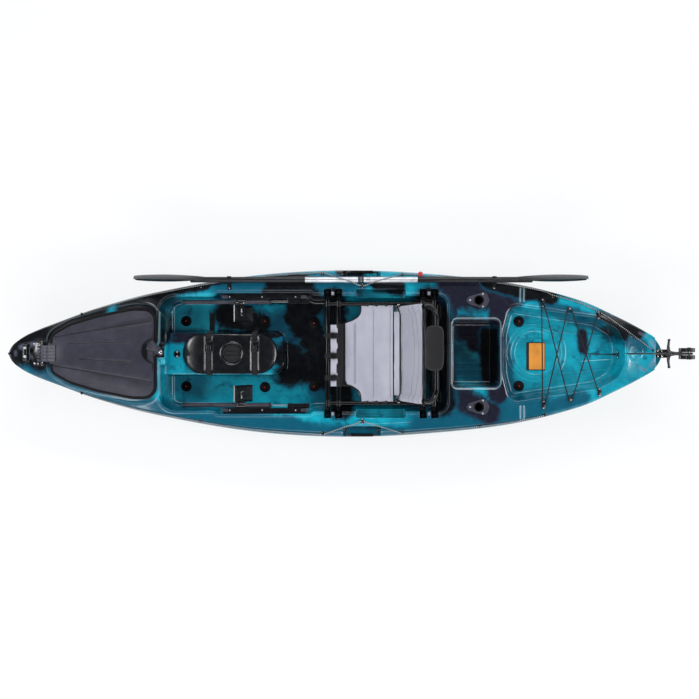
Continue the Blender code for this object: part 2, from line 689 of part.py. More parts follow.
# Foot braces. Each tube runs on a flange in its rail, and the pedal is clamped round the tube.
RAIL_Y, RAIL_Z, TUBE_Y, TUBE_RADIUS = 0.2705, 0.267, 0.2544, 0.0108
PEDAL_X = -0.4686


def wall_y(z):
    """The rail bay's side wall at height z."""
    return RAIL_BAY_HALF - 0.020 + 0.020 * (z - COCKPIT_FLOOR - 0.016) / (0.300 - COCKPIT_FLOOR - 0.016)


def foot_brace(side, sign):
    def place(y, z):
        return (sign * y, z)

    low, high = RAIL_Z - 0.015, RAIL_Z + 0.015
    profile = [
        (RAIL_Y, low), (RAIL_Y, RAIL_Z - 0.004), (RAIL_Y + 0.0037, RAIL_Z - 0.004),
        (RAIL_Y + 0.0037, RAIL_Z - 0.009),
        (RAIL_Y + 0.0101, RAIL_Z - 0.009), (RAIL_Y + 0.0101, RAIL_Z + 0.009),
        (RAIL_Y + 0.0037, RAIL_Z + 0.009),
        (RAIL_Y + 0.0037, RAIL_Z + 0.004), (RAIL_Y, RAIL_Z + 0.004), (RAIL_Y, high),
        (wall_y(high) - 0.0006, high), (wall_y(low) - 0.0006, low),
    ]
    rail = loft("foot_rail_" + side, [[Vector((x, sign * y, z)) for y, z in profile] for x in (-0.5655,
        -0.159)], PLASTIC_BLACK)
    y0, y1 = sorted((sign * 0.2465, sign * 0.2712))
    join(rail, block("cable_guide_" + side, (-0.248, y0, RAIL_Z - 0.0075), (-0.138, y1, RAIL_Z + 0.0075)))
    cut(rail, rod("cut_cable_guide_" + side, (-0.3, sign * TUBE_Y, RAIL_Z), (-0.1, sign * TUBE_Y, RAIL_Z),
        0.0033, sides=10))

    slider = rod("foot_slider_" + side, (-0.766, sign * TUBE_Y, RAIL_Z), (-0.3256, sign * TUBE_Y, RAIL_Z),
        TUBE_RADIUS, ALLOY_GREY, 12)
    y0, y1 = sorted((sign * TUBE_Y, sign * 0.2765))
    web = block("slider_web_" + side, (-0.515, y0, RAIL_Z - 0.0036), (-0.335, y1, RAIL_Z + 0.0036))
    y0, y1 = sorted((sign * (RAIL_Y + 0.0041), sign * (RAIL_Y + 0.0097)))
    flange = block("slider_flange_" + side, (-0.5148, y0, RAIL_Z - 0.0086), (-0.3352, y1, RAIL_Z + 0.0086))
    wire = rod("slider_wire_" + side, (-0.335, sign * TUBE_Y, RAIL_Z), (-0.190, sign * TUBE_Y, RAIL_Z),
        0.0025, sides=8)
    join(slider, web, flange, wire)

    pedal = rod("foot_pedal_" + side, (-0.500, sign * TUBE_Y, RAIL_Z), (-0.455, sign * TUBE_Y, RAIL_Z),
        0.0155, PLASTIC_BLACK, 12)
    sole = ((-0.428, sign * 0.198, 0.203), (-0.446, sign * 0.198, 0.222), (-0.474, sign * 0.198, 0.266),
            (-0.498, sign * 0.198, 0.308), (-0.505, sign * 0.198, 0.326))
    y0, y1 = sorted((sign * 0.225, sign * 0.246))
    join(pedal, strip("pedal_sole_" + side, sole, 0.080, 0.008, (0, 1, 0)),
         block("pedal_arm_" + side, (-0.492, y0, RAIL_Z - 0.010), (-0.464, y1, RAIL_Z + 0.008)))
    y0, y1 = sorted((sign * 0.2692, sign * 0.3))
    cut(pedal, block("cut_pedal_back_" + side, (-0.6, y0, 0.2), (-0.3, y1, 0.3)))
    y0, y1 = sorted((sign * TUBE_Y, sign * 0.3))
    cut(pedal, block("cut_pedal_slot_" + side, (-0.6, y0, RAIL_Z - 0.0045), (-0.3, y1, RAIL_Z + 0.0045)))
    cut(pedal, rod("cut_pedal_bore_" + side, (-0.6, sign * TUBE_Y, RAIL_Z), (-0.3, sign * TUBE_Y, RAIL_Z),
        TUBE_RADIUS + 0.0009, sides=12))


def scupper_plugs():
    for name, x, y, floor in SCUPPERS:
        profile = ((0.0145, -0.042), (0.0166, GAP), (0.0265, GAP), (0.0265, 0.004), (0.0215, 0.0075),
                   (0.0085, 0.0080), (0.0060, 0.0165))
        turned("scupper_plug_" + name, profile, RUBBER, 8, (x, y, floor))


# Seat: the frame lies in the hull's slots, the back turns on two bolts
FRAME_Z = 0.2492 + GAP + 0.0125
PIVOT_X, PIVOT_Z = 0.300, 0.312
BACK_LEAN, HEAD_LEAN, BACK_BEND = math.radians(14.0), math.radians(38.0), 0.315
BACK_HALF, BACK_TOP, HEAD_MIDDLE = 0.2175, 0.440, 0.425
SLING_FRONT, SLING_FORK, SLING_STRAIGHT = 0.026, 0.089, 0.150


def on_back(reach, y, behind=0.0):
    """A place on the seat's back: up from the pivot, past a bend near its top, and behind it."""
    low, high = min(reach, BACK_BEND), max(0.0, reach - BACK_BEND)
    x = PIVOT_X + math.sin(BACK_LEAN) * low + math.sin(HEAD_LEAN) * high
    z = PIVOT_Z + math.cos(BACK_LEAN) * low + math.cos(HEAD_LEAN) * high
    lean = BACK_LEAN if reach < BACK_BEND else HEAD_LEAN
    if reach == BACK_BEND:
        lean = (BACK_LEAN + HEAD_LEAN) / 2
    return Vector((x + math.cos(lean) * behind, y, z - math.sin(lean) * behind))


def seat():
    frame = rod("seat_frame", (-0.049, -0.313, FRAME_Z), (-0.049, 0.313, FRAME_Z), 0.0125, ALLOY_BLACK, 10)
    for i, x in enumerate((0.005, 0.421, 0.478)):
        join(frame, rod(f"seat_rung_{i}", (x, -0.3131, FRAME_Z), (x, 0.3131, FRAME_Z), 0.0124, sides=10))
    for side, sign in SIDES:
        join(frame, rod("seat_rail_" + side, (-0.0495, sign * 0.246, FRAME_Z + 0.0003),
            (0.4785, sign * 0.246, FRAME_Z + 0.0003), 0.0115, sides=10))
        y0, y1 = sorted((sign * 0.2297, sign * 0.2365))
        join(frame, block("seat_lug_" + side, (0.281, y0, FRAME_Z - 0.006), (0.319, y1, PIVOT_Z + 0.019)))
        cut(frame, rod("cut_seat_lug_" + side, (PIVOT_X, sign * 0.22, PIVOT_Z),
            (PIVOT_X, sign * 0.26, PIVOT_Z), 0.0044, sides=10))
        rod("seat_bolt_" + side, (PIVOT_X, sign * 0.2040, PIVOT_Z), (PIVOT_X, sign * 0.2420, PIVOT_Z),
            0.0040, STEEL, 10)

    edge = 0.2275
    grid = []
    for u in (0.0, 0.2, 0.45, 0.7, 1.0):
        row = []
        for y in (-edge, -0.195, -0.169, -0.150, -0.10, -0.05, 0.0, 0.05, 0.10, 0.150, 0.169, 0.195, edge):
            corner = max(0.0, abs(y) - SLING_STRAIGHT) / (edge - SLING_STRAIGHT)
            front = SLING_FRONT + SLING_FORK * (1 - (1 - corner) ** 4)
            rear = 0.2775
            x = front + (rear - front) * u
            z = 0.276 - 0.032 * (1 - (y / edge) ** 2) - 0.006 * math.sin(math.pi * u) - 0.010 * (1 - u) ** 4
            row.append(Vector((x, y, z)))
        grid.append(row)
    sling = slab("seat_sling", grid, (0, 0, -0.004), CLOTH)
    for i, y in enumerate((0.0886, -0.011, -0.1195)):
        z = 0.276 - 0.032 * (1 - (y / edge) ** 2) - 0.012
        join(sling, strip(f"sling_strap_{i}", ((0.060, y, z + 0.002), (0.026, y, z), (0.0225, y, z)), 0.030,
            0.0030, (0, 1, 0)))

    corners = [on_back(reach, BACK_HALF) for reach in (-0.014, BACK_BEND, BACK_TOP)]
    corners += [on_back(reach, -BACK_HALF) for reach in (BACK_TOP, BACK_BEND, -0.014)]
    frame = tube("seat_back_frame", bent(corners, 0.085, 3), 0.011, ALLOY_BLACK, 8)
    cut(frame, rod("cut_back_frame", (PIVOT_X, -0.3, PIVOT_Z), (PIVOT_X, 0.3, PIVOT_Z), 0.0044, sides=10))
    grid = []
    for reach in (0.050, 0.13, 0.22, BACK_BEND, 0.355):
        row = []
        for y in (-0.2055, -0.17, -0.12, -0.06, 0.0, 0.06, 0.12, 0.17, 0.2055):
            hollow = 0.022 * (1 - (y / 0.2055) ** 2) * (1 - ((reach - 0.24) / 0.19) ** 2)
            row.append(on_back(reach, y, -0.002 + hollow))
        grid.append(row)
    slab("seat_back_sling", grid, on_back(0, 0, 0.004) - on_back(0, 0), CLOTH)
    rings = []
    for share, y in ((0.78, -0.078), (0.93, -0.072), (1.0, -0.056), (1.03, 0.026), (1.0, 0.108),
        (0.93, 0.124), (0.78, 0.130)):
        ring = []
        for k in range(14):
            a = 2 * math.pi * k / 14
            c, q = math.cos(a), math.sin(a)
            up = math.copysign(abs(c) ** 0.8, c) * 0.057 * share
            out = math.copysign(abs(q) ** 0.8, q) * 0.029 * share
            ring.append(on_back(HEAD_MIDDLE + up, y, out))
        rings.append(ring)
    cushion = loft("seat_head_cushion", rings, CLOTH_DARK)
    cut(cushion, rod("cut_head_cushion", on_back(BACK_TOP, -0.10), on_back(BACK_TOP, 0.1325), 0.0116,
        sides=12))


def rod_holders():
    for side, sign in SIDES:
        holder = rod("rod_holder_" + side, rod_axis(sign, ROD_DEPTH), rod_axis(sign, -0.006), ROD_TUBE,
            PLASTIC_BLACK, 16)
        flange = saddle("rod_flange_" + side,
            plate_corners(0.637, 0.749, 0.0415, 0.038, sign * ROD_HOLDER_Y), 0.005, rows=(0.02, 0.6, 1.0))
        join(holder, flange)
        cut(holder, rod("cut_rod_holder_" + side, rod_axis(sign, ROD_DEPTH - 0.005), rod_axis(sign, -0.05),
            ROD_BORE, sides=16))


def side_handles():
    for side, sign in SIDES:
        y, out, z = sign * 0.372, sign * 0.402, 0.275
        path = bent(((0.0276, y, z), (0.043, y, z), (0.043, out, z), (0.197, out, z), (0.197, y, z),
            (0.2124, y, z)), 0.007, 2)
        handle = tube("side_handle_" + side, path, 0.005, PLASTIC_BLACK, 8)
        join(handle, rod("handle_grip_" + side, (0.065, out, z), (0.175, out, z), 0.0085, sides=8))


# Fittings for the lines
EYE_LEG, EYE_RADIUS, EYE_RISE = 0.0065, 0.0022, 0.0075


def pad_eye(name, x, y, along, half=0.021, z=None, up=(0, 0, 1), look=PLASTIC_BLACK):
    """A screwed base with an arch. The base runs along one way, and a cord passes across it under the arch."""
    up = Vector(up).normalized()
    along = Vector(along)
    along = (along - up * along.dot(up)).normalized()
    across = up.cross(along)
    turn = Matrix((along, across, up)).transposed().to_4x4()
    level = z if z is not None else max(on_deck(x + along.x * s, y + along.y * s) for s in (-half, 0,
        half)) + 0.0006
    base = loft(name, [[Vector((p.x, p.y, h)) for p in outline(plate_corners(-half, half, 0.0075, 0.006),
        steps=2)] for h in (0, 0.0035)], look)
    path = [Vector((-EYE_LEG, 0, 0.001)), Vector((-EYE_LEG, 0, EYE_RISE))]
    path += [Vector((-EYE_LEG * math.cos(a), 0,
        EYE_RISE + EYE_LEG * math.sin(a))) for a in [math.pi * k / 5 for k in range(1, 5)]]
    path += [Vector((EYE_LEG, 0, EYE_RISE)), Vector((EYE_LEG, 0, 0.001))]
    arch = tube("arch_of_" + name, path, EYE_RADIUS, sides=6)
    placed = Matrix.Translation((x, y, level)) @ turn
    base.data.transform(placed)
    arch.data.transform(placed)
    join(base, arch)
    return level + 0.0078


TANK_EYES = (("starboard_fore", 1.0061, 0.2477), ("port_fore", 1.0110, -0.2517),
             ("starboard_aft", 1.2754, 0.188), ("port_aft", 1.2803, -0.190))
TANK_KNOBS = (("starboard", 1.1368, 0.2205), ("port", 1.1408, -0.2267))


def tank_lacing():
    """Pad eyes and knobs round the tank well, with one shock cord laced across it."""
    level = {}
    for name, x, y in TANK_EYES:
        level[name] = pad_eye("tank_eye_" + name, x, y, (0, 1, 0))
    for name, x, y in TANK_KNOBS:
        z = max(on_deck(x + dx, y + dy) for dx in (-0.01, 0, 0.01) for dy in (-0.01, 0, 0.01)) + 0.0010
        profile = ((0.010, -0.0005), (0.010, 0.002), (0.0042, 0.003), (0.0042, 0.0115), (0.0095, 0.013),
            (0.0085, 0.017))
        turned("tank_knob_" + name, profile, PLASTIC_BLACK, 10, (x, y, z))
        level[name] = z + 0.0072
    well_rear = (TANK_WELL[3][0] + 0.032)
    z = 0.262
    x = well_rear - 0.022 * (0.31 - z) / (0.31 - TANK_FLOOR - 0.014) - 0.0022
    pad_eye("tank_eye_rear", x, -0.005, (0, 1, 0), 0.018, z, (-1, 0, 0.2292))

    def turn_at(name, x, y, radius, start, end):
        """Points round the inboard leg of an eye, or round a knob, from one angle to another."""
        centre = (x, y - math.copysign(EYE_LEG, y)) if name in eyes else (x, y)
        return [(centre[0] + radius * math.cos(math.radians(start + (end - start) * k / 4)),
                 centre[1] + radius * math.sin(math.radians(start + (end - start) * k / 4)),
                 level[name]) for k in range(5)]

    eyes = {name: (x, y) for name, x, y in TANK_EYES}
    knobs = {name: (x, y) for name, x, y in TANK_KNOBS}
    route = turn_at("port_aft", *eyes["port_aft"], EYE_LEG, -20, -170)
    route += turn_at("starboard", *knobs["starboard"], 0.0076, 20, 160)
    route += turn_at("port_fore", *eyes["port_fore"], EYE_LEG, -20, -160)
    route += turn_at("starboard_fore", *eyes["starboard_fore"], EYE_LEG, 160, 20)
    route += turn_at("port", *knobs["port"], 0.0076, -160, -20)
    route += turn_at("starboard_aft", *eyes["starboard_aft"], EYE_LEG, 170, 20)
    raised = []
    for a, b in zip(route, route[1:]):
        raised.append(a)
        if math.dist(a, b) > 0.2:
            lift = 0.0045 if a[1] < 0 else -0.0045
            for share in (0.3, 0.5, 0.7):
                p = [u + (v - u) * share for u, v in zip(a, b)]
                raised.append((p[0], p[1], p[2] + lift * (1 - abs(share - 0.5) * 2.2)))
    cord("tank_lacing", raised + [route[-1]], 0.0030)


LINE_RADIUS, LINE_SHARE = 0.0025, 0.965
SIDE_EYE_X, SIDE_EYE_Y = 0.1215, 0.332
PADDLE_Y, PADDLE_Z, PADDLE_RADIUS = 0.362, 0.3165, 0.014


def deck_lines():
    """A line round each gunwale. Amidships it runs in to a pad eye, over the stowed paddle on starboard."""
    for side, sign in SIDES:
        hold = pad_eye("side_eye_" + side, SIDE_EYE_X, sign * SIDE_EYE_Y, (0, 1, 0), 0.0135)

        def beside(x):
            return (x, sign * LINE_SHARE * half_beam(x))

        points = laid([beside(-1.25 + 0.0906 * k) for k in range(14)], LINE_RADIUS)
        start, end = Vector(points[-1]), Vector(laid([beside(0.318), beside(0.33)], LINE_RADIUS)[0])
        eye = Vector((SIDE_EYE_X, sign * SIDE_EYE_Y, hold))
        clear = PADDLE_RADIUS + LINE_RADIUS + 0.0012
        inward = []
        for offset in (clear, clear * 0.9, clear * 0.5, 0.0, -clear * 0.5, -clear * 0.9, -clear):
            inward.append((PADDLE_Y + offset, PADDLE_Z + math.sqrt(max(0.0, clear**2 - offset**2))))
        for a, back in ((start, False), (end, True)):
            some = []
            for y, z in inward:
                share = (abs(a.y) - y) / (abs(a.y) - SIDE_EYE_Y)
                height = z if side == "starboard" else a.z + (eye.z
                    - a.z) * share + 0.010 * math.sin(math.pi * share)
                some.append((a.x + (eye.x - a.x) * share, sign * y, height))
            if side == "port":
                some = some[::3]
            points += [tuple(eye)] + some[::-1] if back else some
        rest = [beside(0.318 + 0.0997 * k) for k in range(8)]
        if side == "starboard":
            rest += [(1.060, 0.2865), (1.128, 0.268), (1.196, 0.2453), (1.24, 0.225), (1.285, 0.2025),
                (1.335, 0.170),
                     (1.390, 0.1305), (1.4418, 0.091), (1.495, 0.050), (1.538, 0.016)]
        points += laid(rest, LINE_RADIUS)
        cord("gunwale_line_" + side, points, LINE_RADIUS)


# Paddle, lying on the starboard gunwale. The aft half turns on the fore half's spigot to feather the blades.
BLADE_SPOON = 0.024
PADDLE_JOINT, BUTTON_X = 0.115, 0.150


def paddle_blade(name, root, tip):
    """A spooned blade on edge, hollow side inboard."""
    shape = ((0.0, 0.013, 0.0105), (0.12, 0.022, 0.0095), (0.26, 0.045, 0.0075), (0.42, 0.073, 0.0055),
             (0.62, 0.089, 0.0045), (0.80, 0.086, 0.0040), (0.92, 0.068, 0.0035), (0.98, 0.045, 0.0030),
             (1.0, 0.024, 0.0025))
    rings = []
    for share, half, thick in shape:
        x = root + (tip - root) * share
        bow_out = BLADE_SPOON * math.sin(math.pi * min(1.0, share * 0.75))
        ring = []
        for turn, lows in ((1, (-1.0, -0.6, 0.0, 0.6, 1.0)), (-1, (0.94, 0.6, 0.0, -0.6, -0.94))):
            for s in lows:
                camber = bow_out * (1 - s * s)
                edge = thick * (1 - 0.75 * s * s)
                ring.append(Vector((x, PADDLE_Y + camber - 0.004 * math.sin(math.pi * share) + turn * edge,
                    PADDLE_Z + s * half)))
        rings.append(ring)
    return loft(name, rings)


def paddle():
    fore = rod("paddle_fore_half", (-0.720, PADDLE_Y, PADDLE_Z), (PADDLE_JOINT, PADDLE_Y, PADDLE_Z),
        PADDLE_RADIUS, ALLOY_SILVER, 16)
    spigot = rod("paddle_spigot", (PADDLE_JOINT - 0.01, PADDLE_Y, PADDLE_Z), (0.195, PADDLE_Y, PADDLE_Z),
        0.0119, sides=16)
    join(fore, spigot, paddle_blade("fore_blade", -0.640, -0.996))
    hole = ((BUTTON_X, PADDLE_Y, PADDLE_Z + 0.0012), (BUTTON_X, PADDLE_Y, PADDLE_Z + 0.05))
    cut(fore, rod("cut_button_hole", *hole, 0.0037, sides=10))
    aft = rod("paddle_aft_half", (PADDLE_JOINT + GAP, PADDLE_Y, PADDLE_Z), (0.955, PADDLE_Y, PADDLE_Z),
        PADDLE_RADIUS, ALLOY_SILVER, 16)
    join(aft, paddle_blade("aft_blade", 0.869, 1.226))
    cut(aft, rod("cut_aft_bore", (0.05, PADDLE_Y, PADDLE_Z), (0.201, PADDLE_Y, PADDLE_Z), 0.0125, sides=16))
    slot = []
    for degrees in range(11, 113, 12):
        a = math.radians(degrees)
        corners = [(BUTTON_X + dx, r) for dx, r in ((-0.0039, 0.0115), (0.0039, 0.0115), (0.0039, 0.017), (-0.0039, 0.017))]
        slot.append([Vector((x, PADDLE_Y + r * math.cos(a), PADDLE_Z + r * math.sin(a))) for x, r in corners])
    cut(aft, guide(loft("cut_button_slot", slot)))
    rod("paddle_button", (BUTTON_X, PADDLE_Y, PADDLE_Z + 0.0042), (BUTTON_X, PADDLE_Y, PADDLE_Z + 0.0152),
        0.0033, STEEL, 10)
    for key, x in (("fore", -0.531), ("aft", 0.769)):
        z = max(on_deck(x + dx, y) for dx in (-0.01, 0, 0.01) for y in (0.314, 0.330, 0.3375)) + 0.0019
        path = [(x, 0.314, z), (x, 0.3380, z)]
        for degrees in (218, 240, 262, 284, 306, 328, 350, 372, 394, 414):
            a = math.radians(degrees)
            path.append((x, PADDLE_Y + 0.0163 * math.cos(a), PADDLE_Z + 0.0163 * math.sin(a)))
        strip("paddle_keeper_" + key, path, 0.020, 0.0025, (1, 0, 0), RUBBER)


# Rudder: the head turns on the bracket's pin, the blade on a bolt through the head
YAW_X, BLADE_X, BLADE_Z = 1.613, 1.696, 0.400


def rudder():
    bracket = block("rudder_bracket", (1.5565, -0.0205, LEDGE_Z + GAP), (1.629, 0.0205, 0.3300),
        PLASTIC_BLACK, 0.003)
    join(bracket, rod("rudder_pintle", (YAW_X, 0, 0.325), (YAW_X, 0, 0.379), 0.0050, sides=12))
    head = rod("rudder_head", (YAW_X, 0, 0.3306), (YAW_X, 0, 0.3740), 0.0135, PLASTIC_BLACK, 12)
    low = 0.3415
    path = ((YAW_X + 0.004, 0.0685, low), (YAW_X - 0.001, 0.03, low), (YAW_X - 0.001, -0.03, low),
            (YAW_X + 0.004, -0.0685, low))
    arms = tube("rudder_arms", bent(path, 0.05, 2), 0.0065, sides=6)
    section = ((-1, 0.3340), (1, 0.3340), (1, 0.3720), (-1, 0.3720))
    spine = loft("rudder_spine", [[Vector((x, y * w, z)) for y, z in section]
                                  for x, w in ((1.617, 0.012), (1.640, 0.0085), (1.664, 0.0085))])
    neck = block("rudder_neck", (1.659, -0.0275, 0.350), (1.6715, 0.0275, 0.3725), bevel=0.002)
    join(head, arms, spine, neck)
    cheek = ((1.6595, 0.3600), (1.6705, 0.3600), (1.7215, 0.3850), (1.7215, 0.4120), (1.7130, 0.4190),
             (1.6780, 0.4190), (1.6595, 0.3950))
    for side, sign in SIDES:
        sides = sorted((sign * 0.0072, sign * 0.0272))
        join(head, loft("rudder_cheek_" + side, [[Vector((x, y, z)) for x, z in cheek] for y in sides]))
    cut(head, rod("cut_rudder_bore", (YAW_X, 0, 0.30), (YAW_X, 0, 0.42), 0.0054, sides=12))
    cut(head, rod("cut_rudder_cheeks", (BLADE_X, -0.05, BLADE_Z), (BLADE_X, 0.05, BLADE_Z), 0.0044,
        sides=12))
    rod("rudder_blade_bolt", (BLADE_X, -0.0305, BLADE_Z), (BLADE_X, 0.0305, BLADE_Z), 0.0040, STEEL, 12)

    shape = ((-0.016, -0.008, 0.010, 0.0045), (-0.010, -0.014, 0.015, 0.006), (0.0, -0.0165, 0.0175, 0.006),
             (0.06, -0.0150, 0.0190, 0.006), (0.125, -0.0150, 0.022, 0.006), (0.165, -0.0150, 0.060, 0.006),
             (0.195, -0.0150, 0.088, 0.006), (0.250, -0.0130, 0.099, 0.006), (0.295, -0.004, 0.093, 0.0055),
             (0.308, 0.010, 0.080, 0.005), (0.3133, 0.028, 0.062, 0.004))
    rings = []
    for reach, low, high, thick in shape:
        section = ((0.3, 0.0), (1, 0.2), (1, 0.5), (1, 0.8), (0.3, 1.0))
        section += tuple((-y, share) for y, share in reversed(section))
        rings.append([Vector((BLADE_X - reach, y * thick, BLADE_Z + low + (high - low) * share))
                      for y, share in section])
    blade = loft("rudder_blade", rings, PLASTIC_BLACK)
    cut(blade, rod("cut_rudder_blade", (BLADE_X, -0.05, BLADE_Z), (BLADE_X, 0.05, BLADE_Z), 0.0044,
        sides=12))


hatch_seal()
hatch_cover()
hatch_hinge()
hatch_lever()
bow_handle()
pod()
for side, sign in SIDES:
    foot_brace(side, sign)
scupper_plugs()
seat()
rod_holders()
side_handles()
tank_lacing()
deck_lines()
paddle()
rudder()
for made in bpy.data.objects:
    if made.type == "MESH" and made.modifiers and not made.hide_render:
        tidy(made)
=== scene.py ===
import math

import bmesh
import bpy
import numpy as np
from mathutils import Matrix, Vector
from mathutils.geometry import delaunay_2d_cdt


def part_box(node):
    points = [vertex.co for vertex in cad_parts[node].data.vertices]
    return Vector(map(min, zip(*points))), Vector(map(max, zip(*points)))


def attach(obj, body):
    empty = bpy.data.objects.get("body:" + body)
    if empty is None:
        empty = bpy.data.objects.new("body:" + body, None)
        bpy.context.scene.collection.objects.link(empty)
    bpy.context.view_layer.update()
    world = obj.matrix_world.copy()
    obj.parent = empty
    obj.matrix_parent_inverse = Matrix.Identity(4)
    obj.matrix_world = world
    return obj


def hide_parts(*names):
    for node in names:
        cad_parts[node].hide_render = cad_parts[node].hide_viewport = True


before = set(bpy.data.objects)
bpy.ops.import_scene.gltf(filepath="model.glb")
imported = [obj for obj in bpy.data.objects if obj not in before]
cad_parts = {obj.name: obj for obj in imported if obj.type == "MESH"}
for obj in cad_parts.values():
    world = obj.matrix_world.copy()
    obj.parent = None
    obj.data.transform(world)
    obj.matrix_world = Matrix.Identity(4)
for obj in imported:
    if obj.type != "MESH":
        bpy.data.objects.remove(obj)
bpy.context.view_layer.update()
print("frame loaded")


# Camera, light and floor

stage = {
    "cameraAt": (0.0588, 0.0200, 5.57),  # straight above the boat
    "frameWidth": 3.422,  # what the picture's width covers, at the deck's height
    "deckHeight": 0.32,
    "floorReach": 60.0,
    "worldLight": 0.42,
    "ceiling": 0.03,
}


def makeStage():
    scene = bpy.context.scene
    scene.view_settings.view_transform = "Standard"
    camera = bpy.data.cameras.new("camera")
    camera.sensor_width = 36.0
    distance = stage["cameraAt"][2] - stage["deckHeight"]
    camera.lens = 36.0 * distance / stage["frameWidth"]
    camera.clip_end = 200.0
    holder = bpy.data.objects.new("camera", camera)
    holder.location = stage["cameraAt"]
    scene.collection.objects.link(holder)
    scene.camera = holder

    world = bpy.data.worlds.new("studio")
    world.use_nodes = True
    tree = world.node_tree
    room = tree.nodes["Background"]  # what lights the boat softly from all round
    room.inputs["Color"].default_value = (0.93, 0.96, 1.0, 1)
    room.inputs["Strength"].default_value = stage["worldLight"]
    height = tree.nodes.new("ShaderNodeSeparateXYZ")
    tree.links.new(tree.nodes.new("ShaderNodeTexCoord").outputs["Generated"], height.inputs[0])
    fade = tree.nodes.new("ShaderNodeMapRange")  # gloss sees a white wall all round under a dark ceiling
    for label, value in (("From Min", 0.12), ("From Max", 0.62), ("To Min", 1.0), ("To Max", stage["ceiling"])):
        fade.inputs[label].default_value = value
    tree.links.new(height.outputs["Z"], fade.inputs["Value"])
    backdrops = []
    for strength in (fade.outputs["Result"], 1.0):
        node = tree.nodes.new("ShaderNodeBackground")
        node.inputs["Color"].default_value = (1, 1, 1, 1)
        if isinstance(strength, float):
            node.inputs["Strength"].default_value = strength
        else:
            tree.links.new(strength, node.inputs["Strength"])
        backdrops.append(node)
    path = tree.nodes.new("ShaderNodeLightPath")
    seen = room.outputs["Background"]
    for label, node in (("Is Glossy Ray", backdrops[0]), ("Is Transmission Ray", backdrops[0]), ("Is Camera Ray", backdrops[1])):
        mix = tree.nodes.new("ShaderNodeMixShader")
        tree.links.new(path.outputs[label], mix.inputs["Fac"])
        tree.links.new(seen, mix.inputs[1])
        tree.links.new(node.outputs["Background"], mix.inputs[2])
        seen = mix.outputs["Shader"]
    tree.links.new(seen, tree.nodes["World Output"].inputs["Surface"])
    scene.world = world

    lamps = {  # name: place, width, depth, power, aim
        "softBoxPort": ((-0.3, -3.2, 3.2), 4.8, 0.9, 92, (0, 0, 0.2)),
        "softBoxStarboard": ((0.6, 3.0, 3.4), 4.4, 0.7, 82, (0, 0, 0.2)),
        "softBoxBow": ((-4.0, 0.4, 3.9), 1.9, 1.0, 80, (-0.4, 0, 0.2)),
        "softBoxStern": ((3.9, -0.3, 3.9), 1.6, 0.9, 62, (0.4, 0, 0.2)),
    }
    for name, (place, width, depth, power, aim) in lamps.items():
        light = bpy.data.lights.new(name, "AREA")
        light.shape = "RECTANGLE"
        light.size, light.size_y, light.energy = width, depth, power
        lamp = bpy.data.objects.new(name, light)
        lamp.location = place
        lamp.rotation_euler = (Vector(aim) - Vector(place)).to_track_quat("-Z", "Y").to_euler()
        scene.collection.objects.link(lamp)

    reach = stage["floorReach"]
    mesh = bpy.data.meshes.new("floor")
    mesh.from_pydata([(-reach, -reach, 0), (reach, -reach, 0), (reach, reach, 0), (-reach, reach, 0)], [], [(0, 1, 2, 3)])
    floor = bpy.data.objects.new("floor", mesh)
    scene.collection.objects.link(floor)
    look = bpy.data.materials.new("paleFloor")
    look.use_nodes = True
    tree = look.node_tree
    shader = tree.nodes["Principled BSDF"]
    shader.inputs["Base Color"].default_value = (0.86, 0.87, 0.88, 1)
    shader.inputs["Roughness"].default_value = 0.8
    shader.inputs["Specular IOR Level"].default_value = 0.1
    glow = tree.nodes.new("ShaderNodeEmission")
    glow.inputs["Strength"].default_value = 1.0
    path = tree.nodes.new("ShaderNodeLightPath")
    share = tree.nodes.new("ShaderNodeMath")
    share.operation = "MULTIPLY"
    share.inputs[1].default_value = 0.72
    mix = tree.nodes.new("ShaderNodeMixShader")
    tree.links.new(path.outputs["Is Camera Ray"], share.inputs[0])
    tree.links.new(share.outputs[0], mix.inputs["Fac"])
    tree.links.new(shader.outputs["BSDF"], mix.inputs[1])
    tree.links.new(glow.outputs["Emission"], mix.inputs[2])
    tree.links.new(mix.outputs["Shader"], tree.nodes["Material Output"].inputs["Surface"])
    mesh.materials.append(look)


makeStage()
print("stage set")


# Mesh tools

def keepPiece(name, points, faces, look, body, stands=(), sharp=35.0, uv=None):
    # One object at the origin, riding on a body.
    mesh = bpy.data.meshes.new(name)
    mesh.from_pydata(np.asarray(points, float).reshape(-1, 3).tolist(), [], [tuple(f) for f in faces])
    if uv is not None:
        layer = mesh.uv_layers.new(name="UVMap")
        layer.data.foreach_set("uv", np.array([c for corner in uv for c in corner], np.float32).ravel())
    mesh.shade_smooth()
    if sharp:
        mesh.set_sharp_from_angle(angle=math.radians(sharp))
    made = bpy.data.objects.new(name, mesh)
    bpy.context.scene.collection.objects.link(made)
    mesh.materials.append(look)
    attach(made, body)
    if stands:
        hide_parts(*([stands] if isinstance(stands, str) else stands))
    return made


def outward(points, faces, uv):
    # Turns a closed part's faces by the sign of its volume.
    middle, total = points - points.mean(0), 0.0
    quads = np.array([f for f in faces if len(f) == 4], int)
    for k in (1, 2):
        if len(quads):
            total += np.einsum("ij,ij->", middle[quads[:, 0]], np.cross(middle[quads[:, k]], middle[quads[:, k + 1]]))
    for face in (f for f in faces if len(f) != 4):
        ring = middle[list(face)]
        total += np.einsum("ij,ij->", np.repeat(ring[:1], len(ring) - 2, 0), np.cross(ring[1:-1], ring[2:]))
    if total < 0:
        return points, [f[::-1] for f in faces], [c[::-1] for c in uv]
    return points, faces, uv


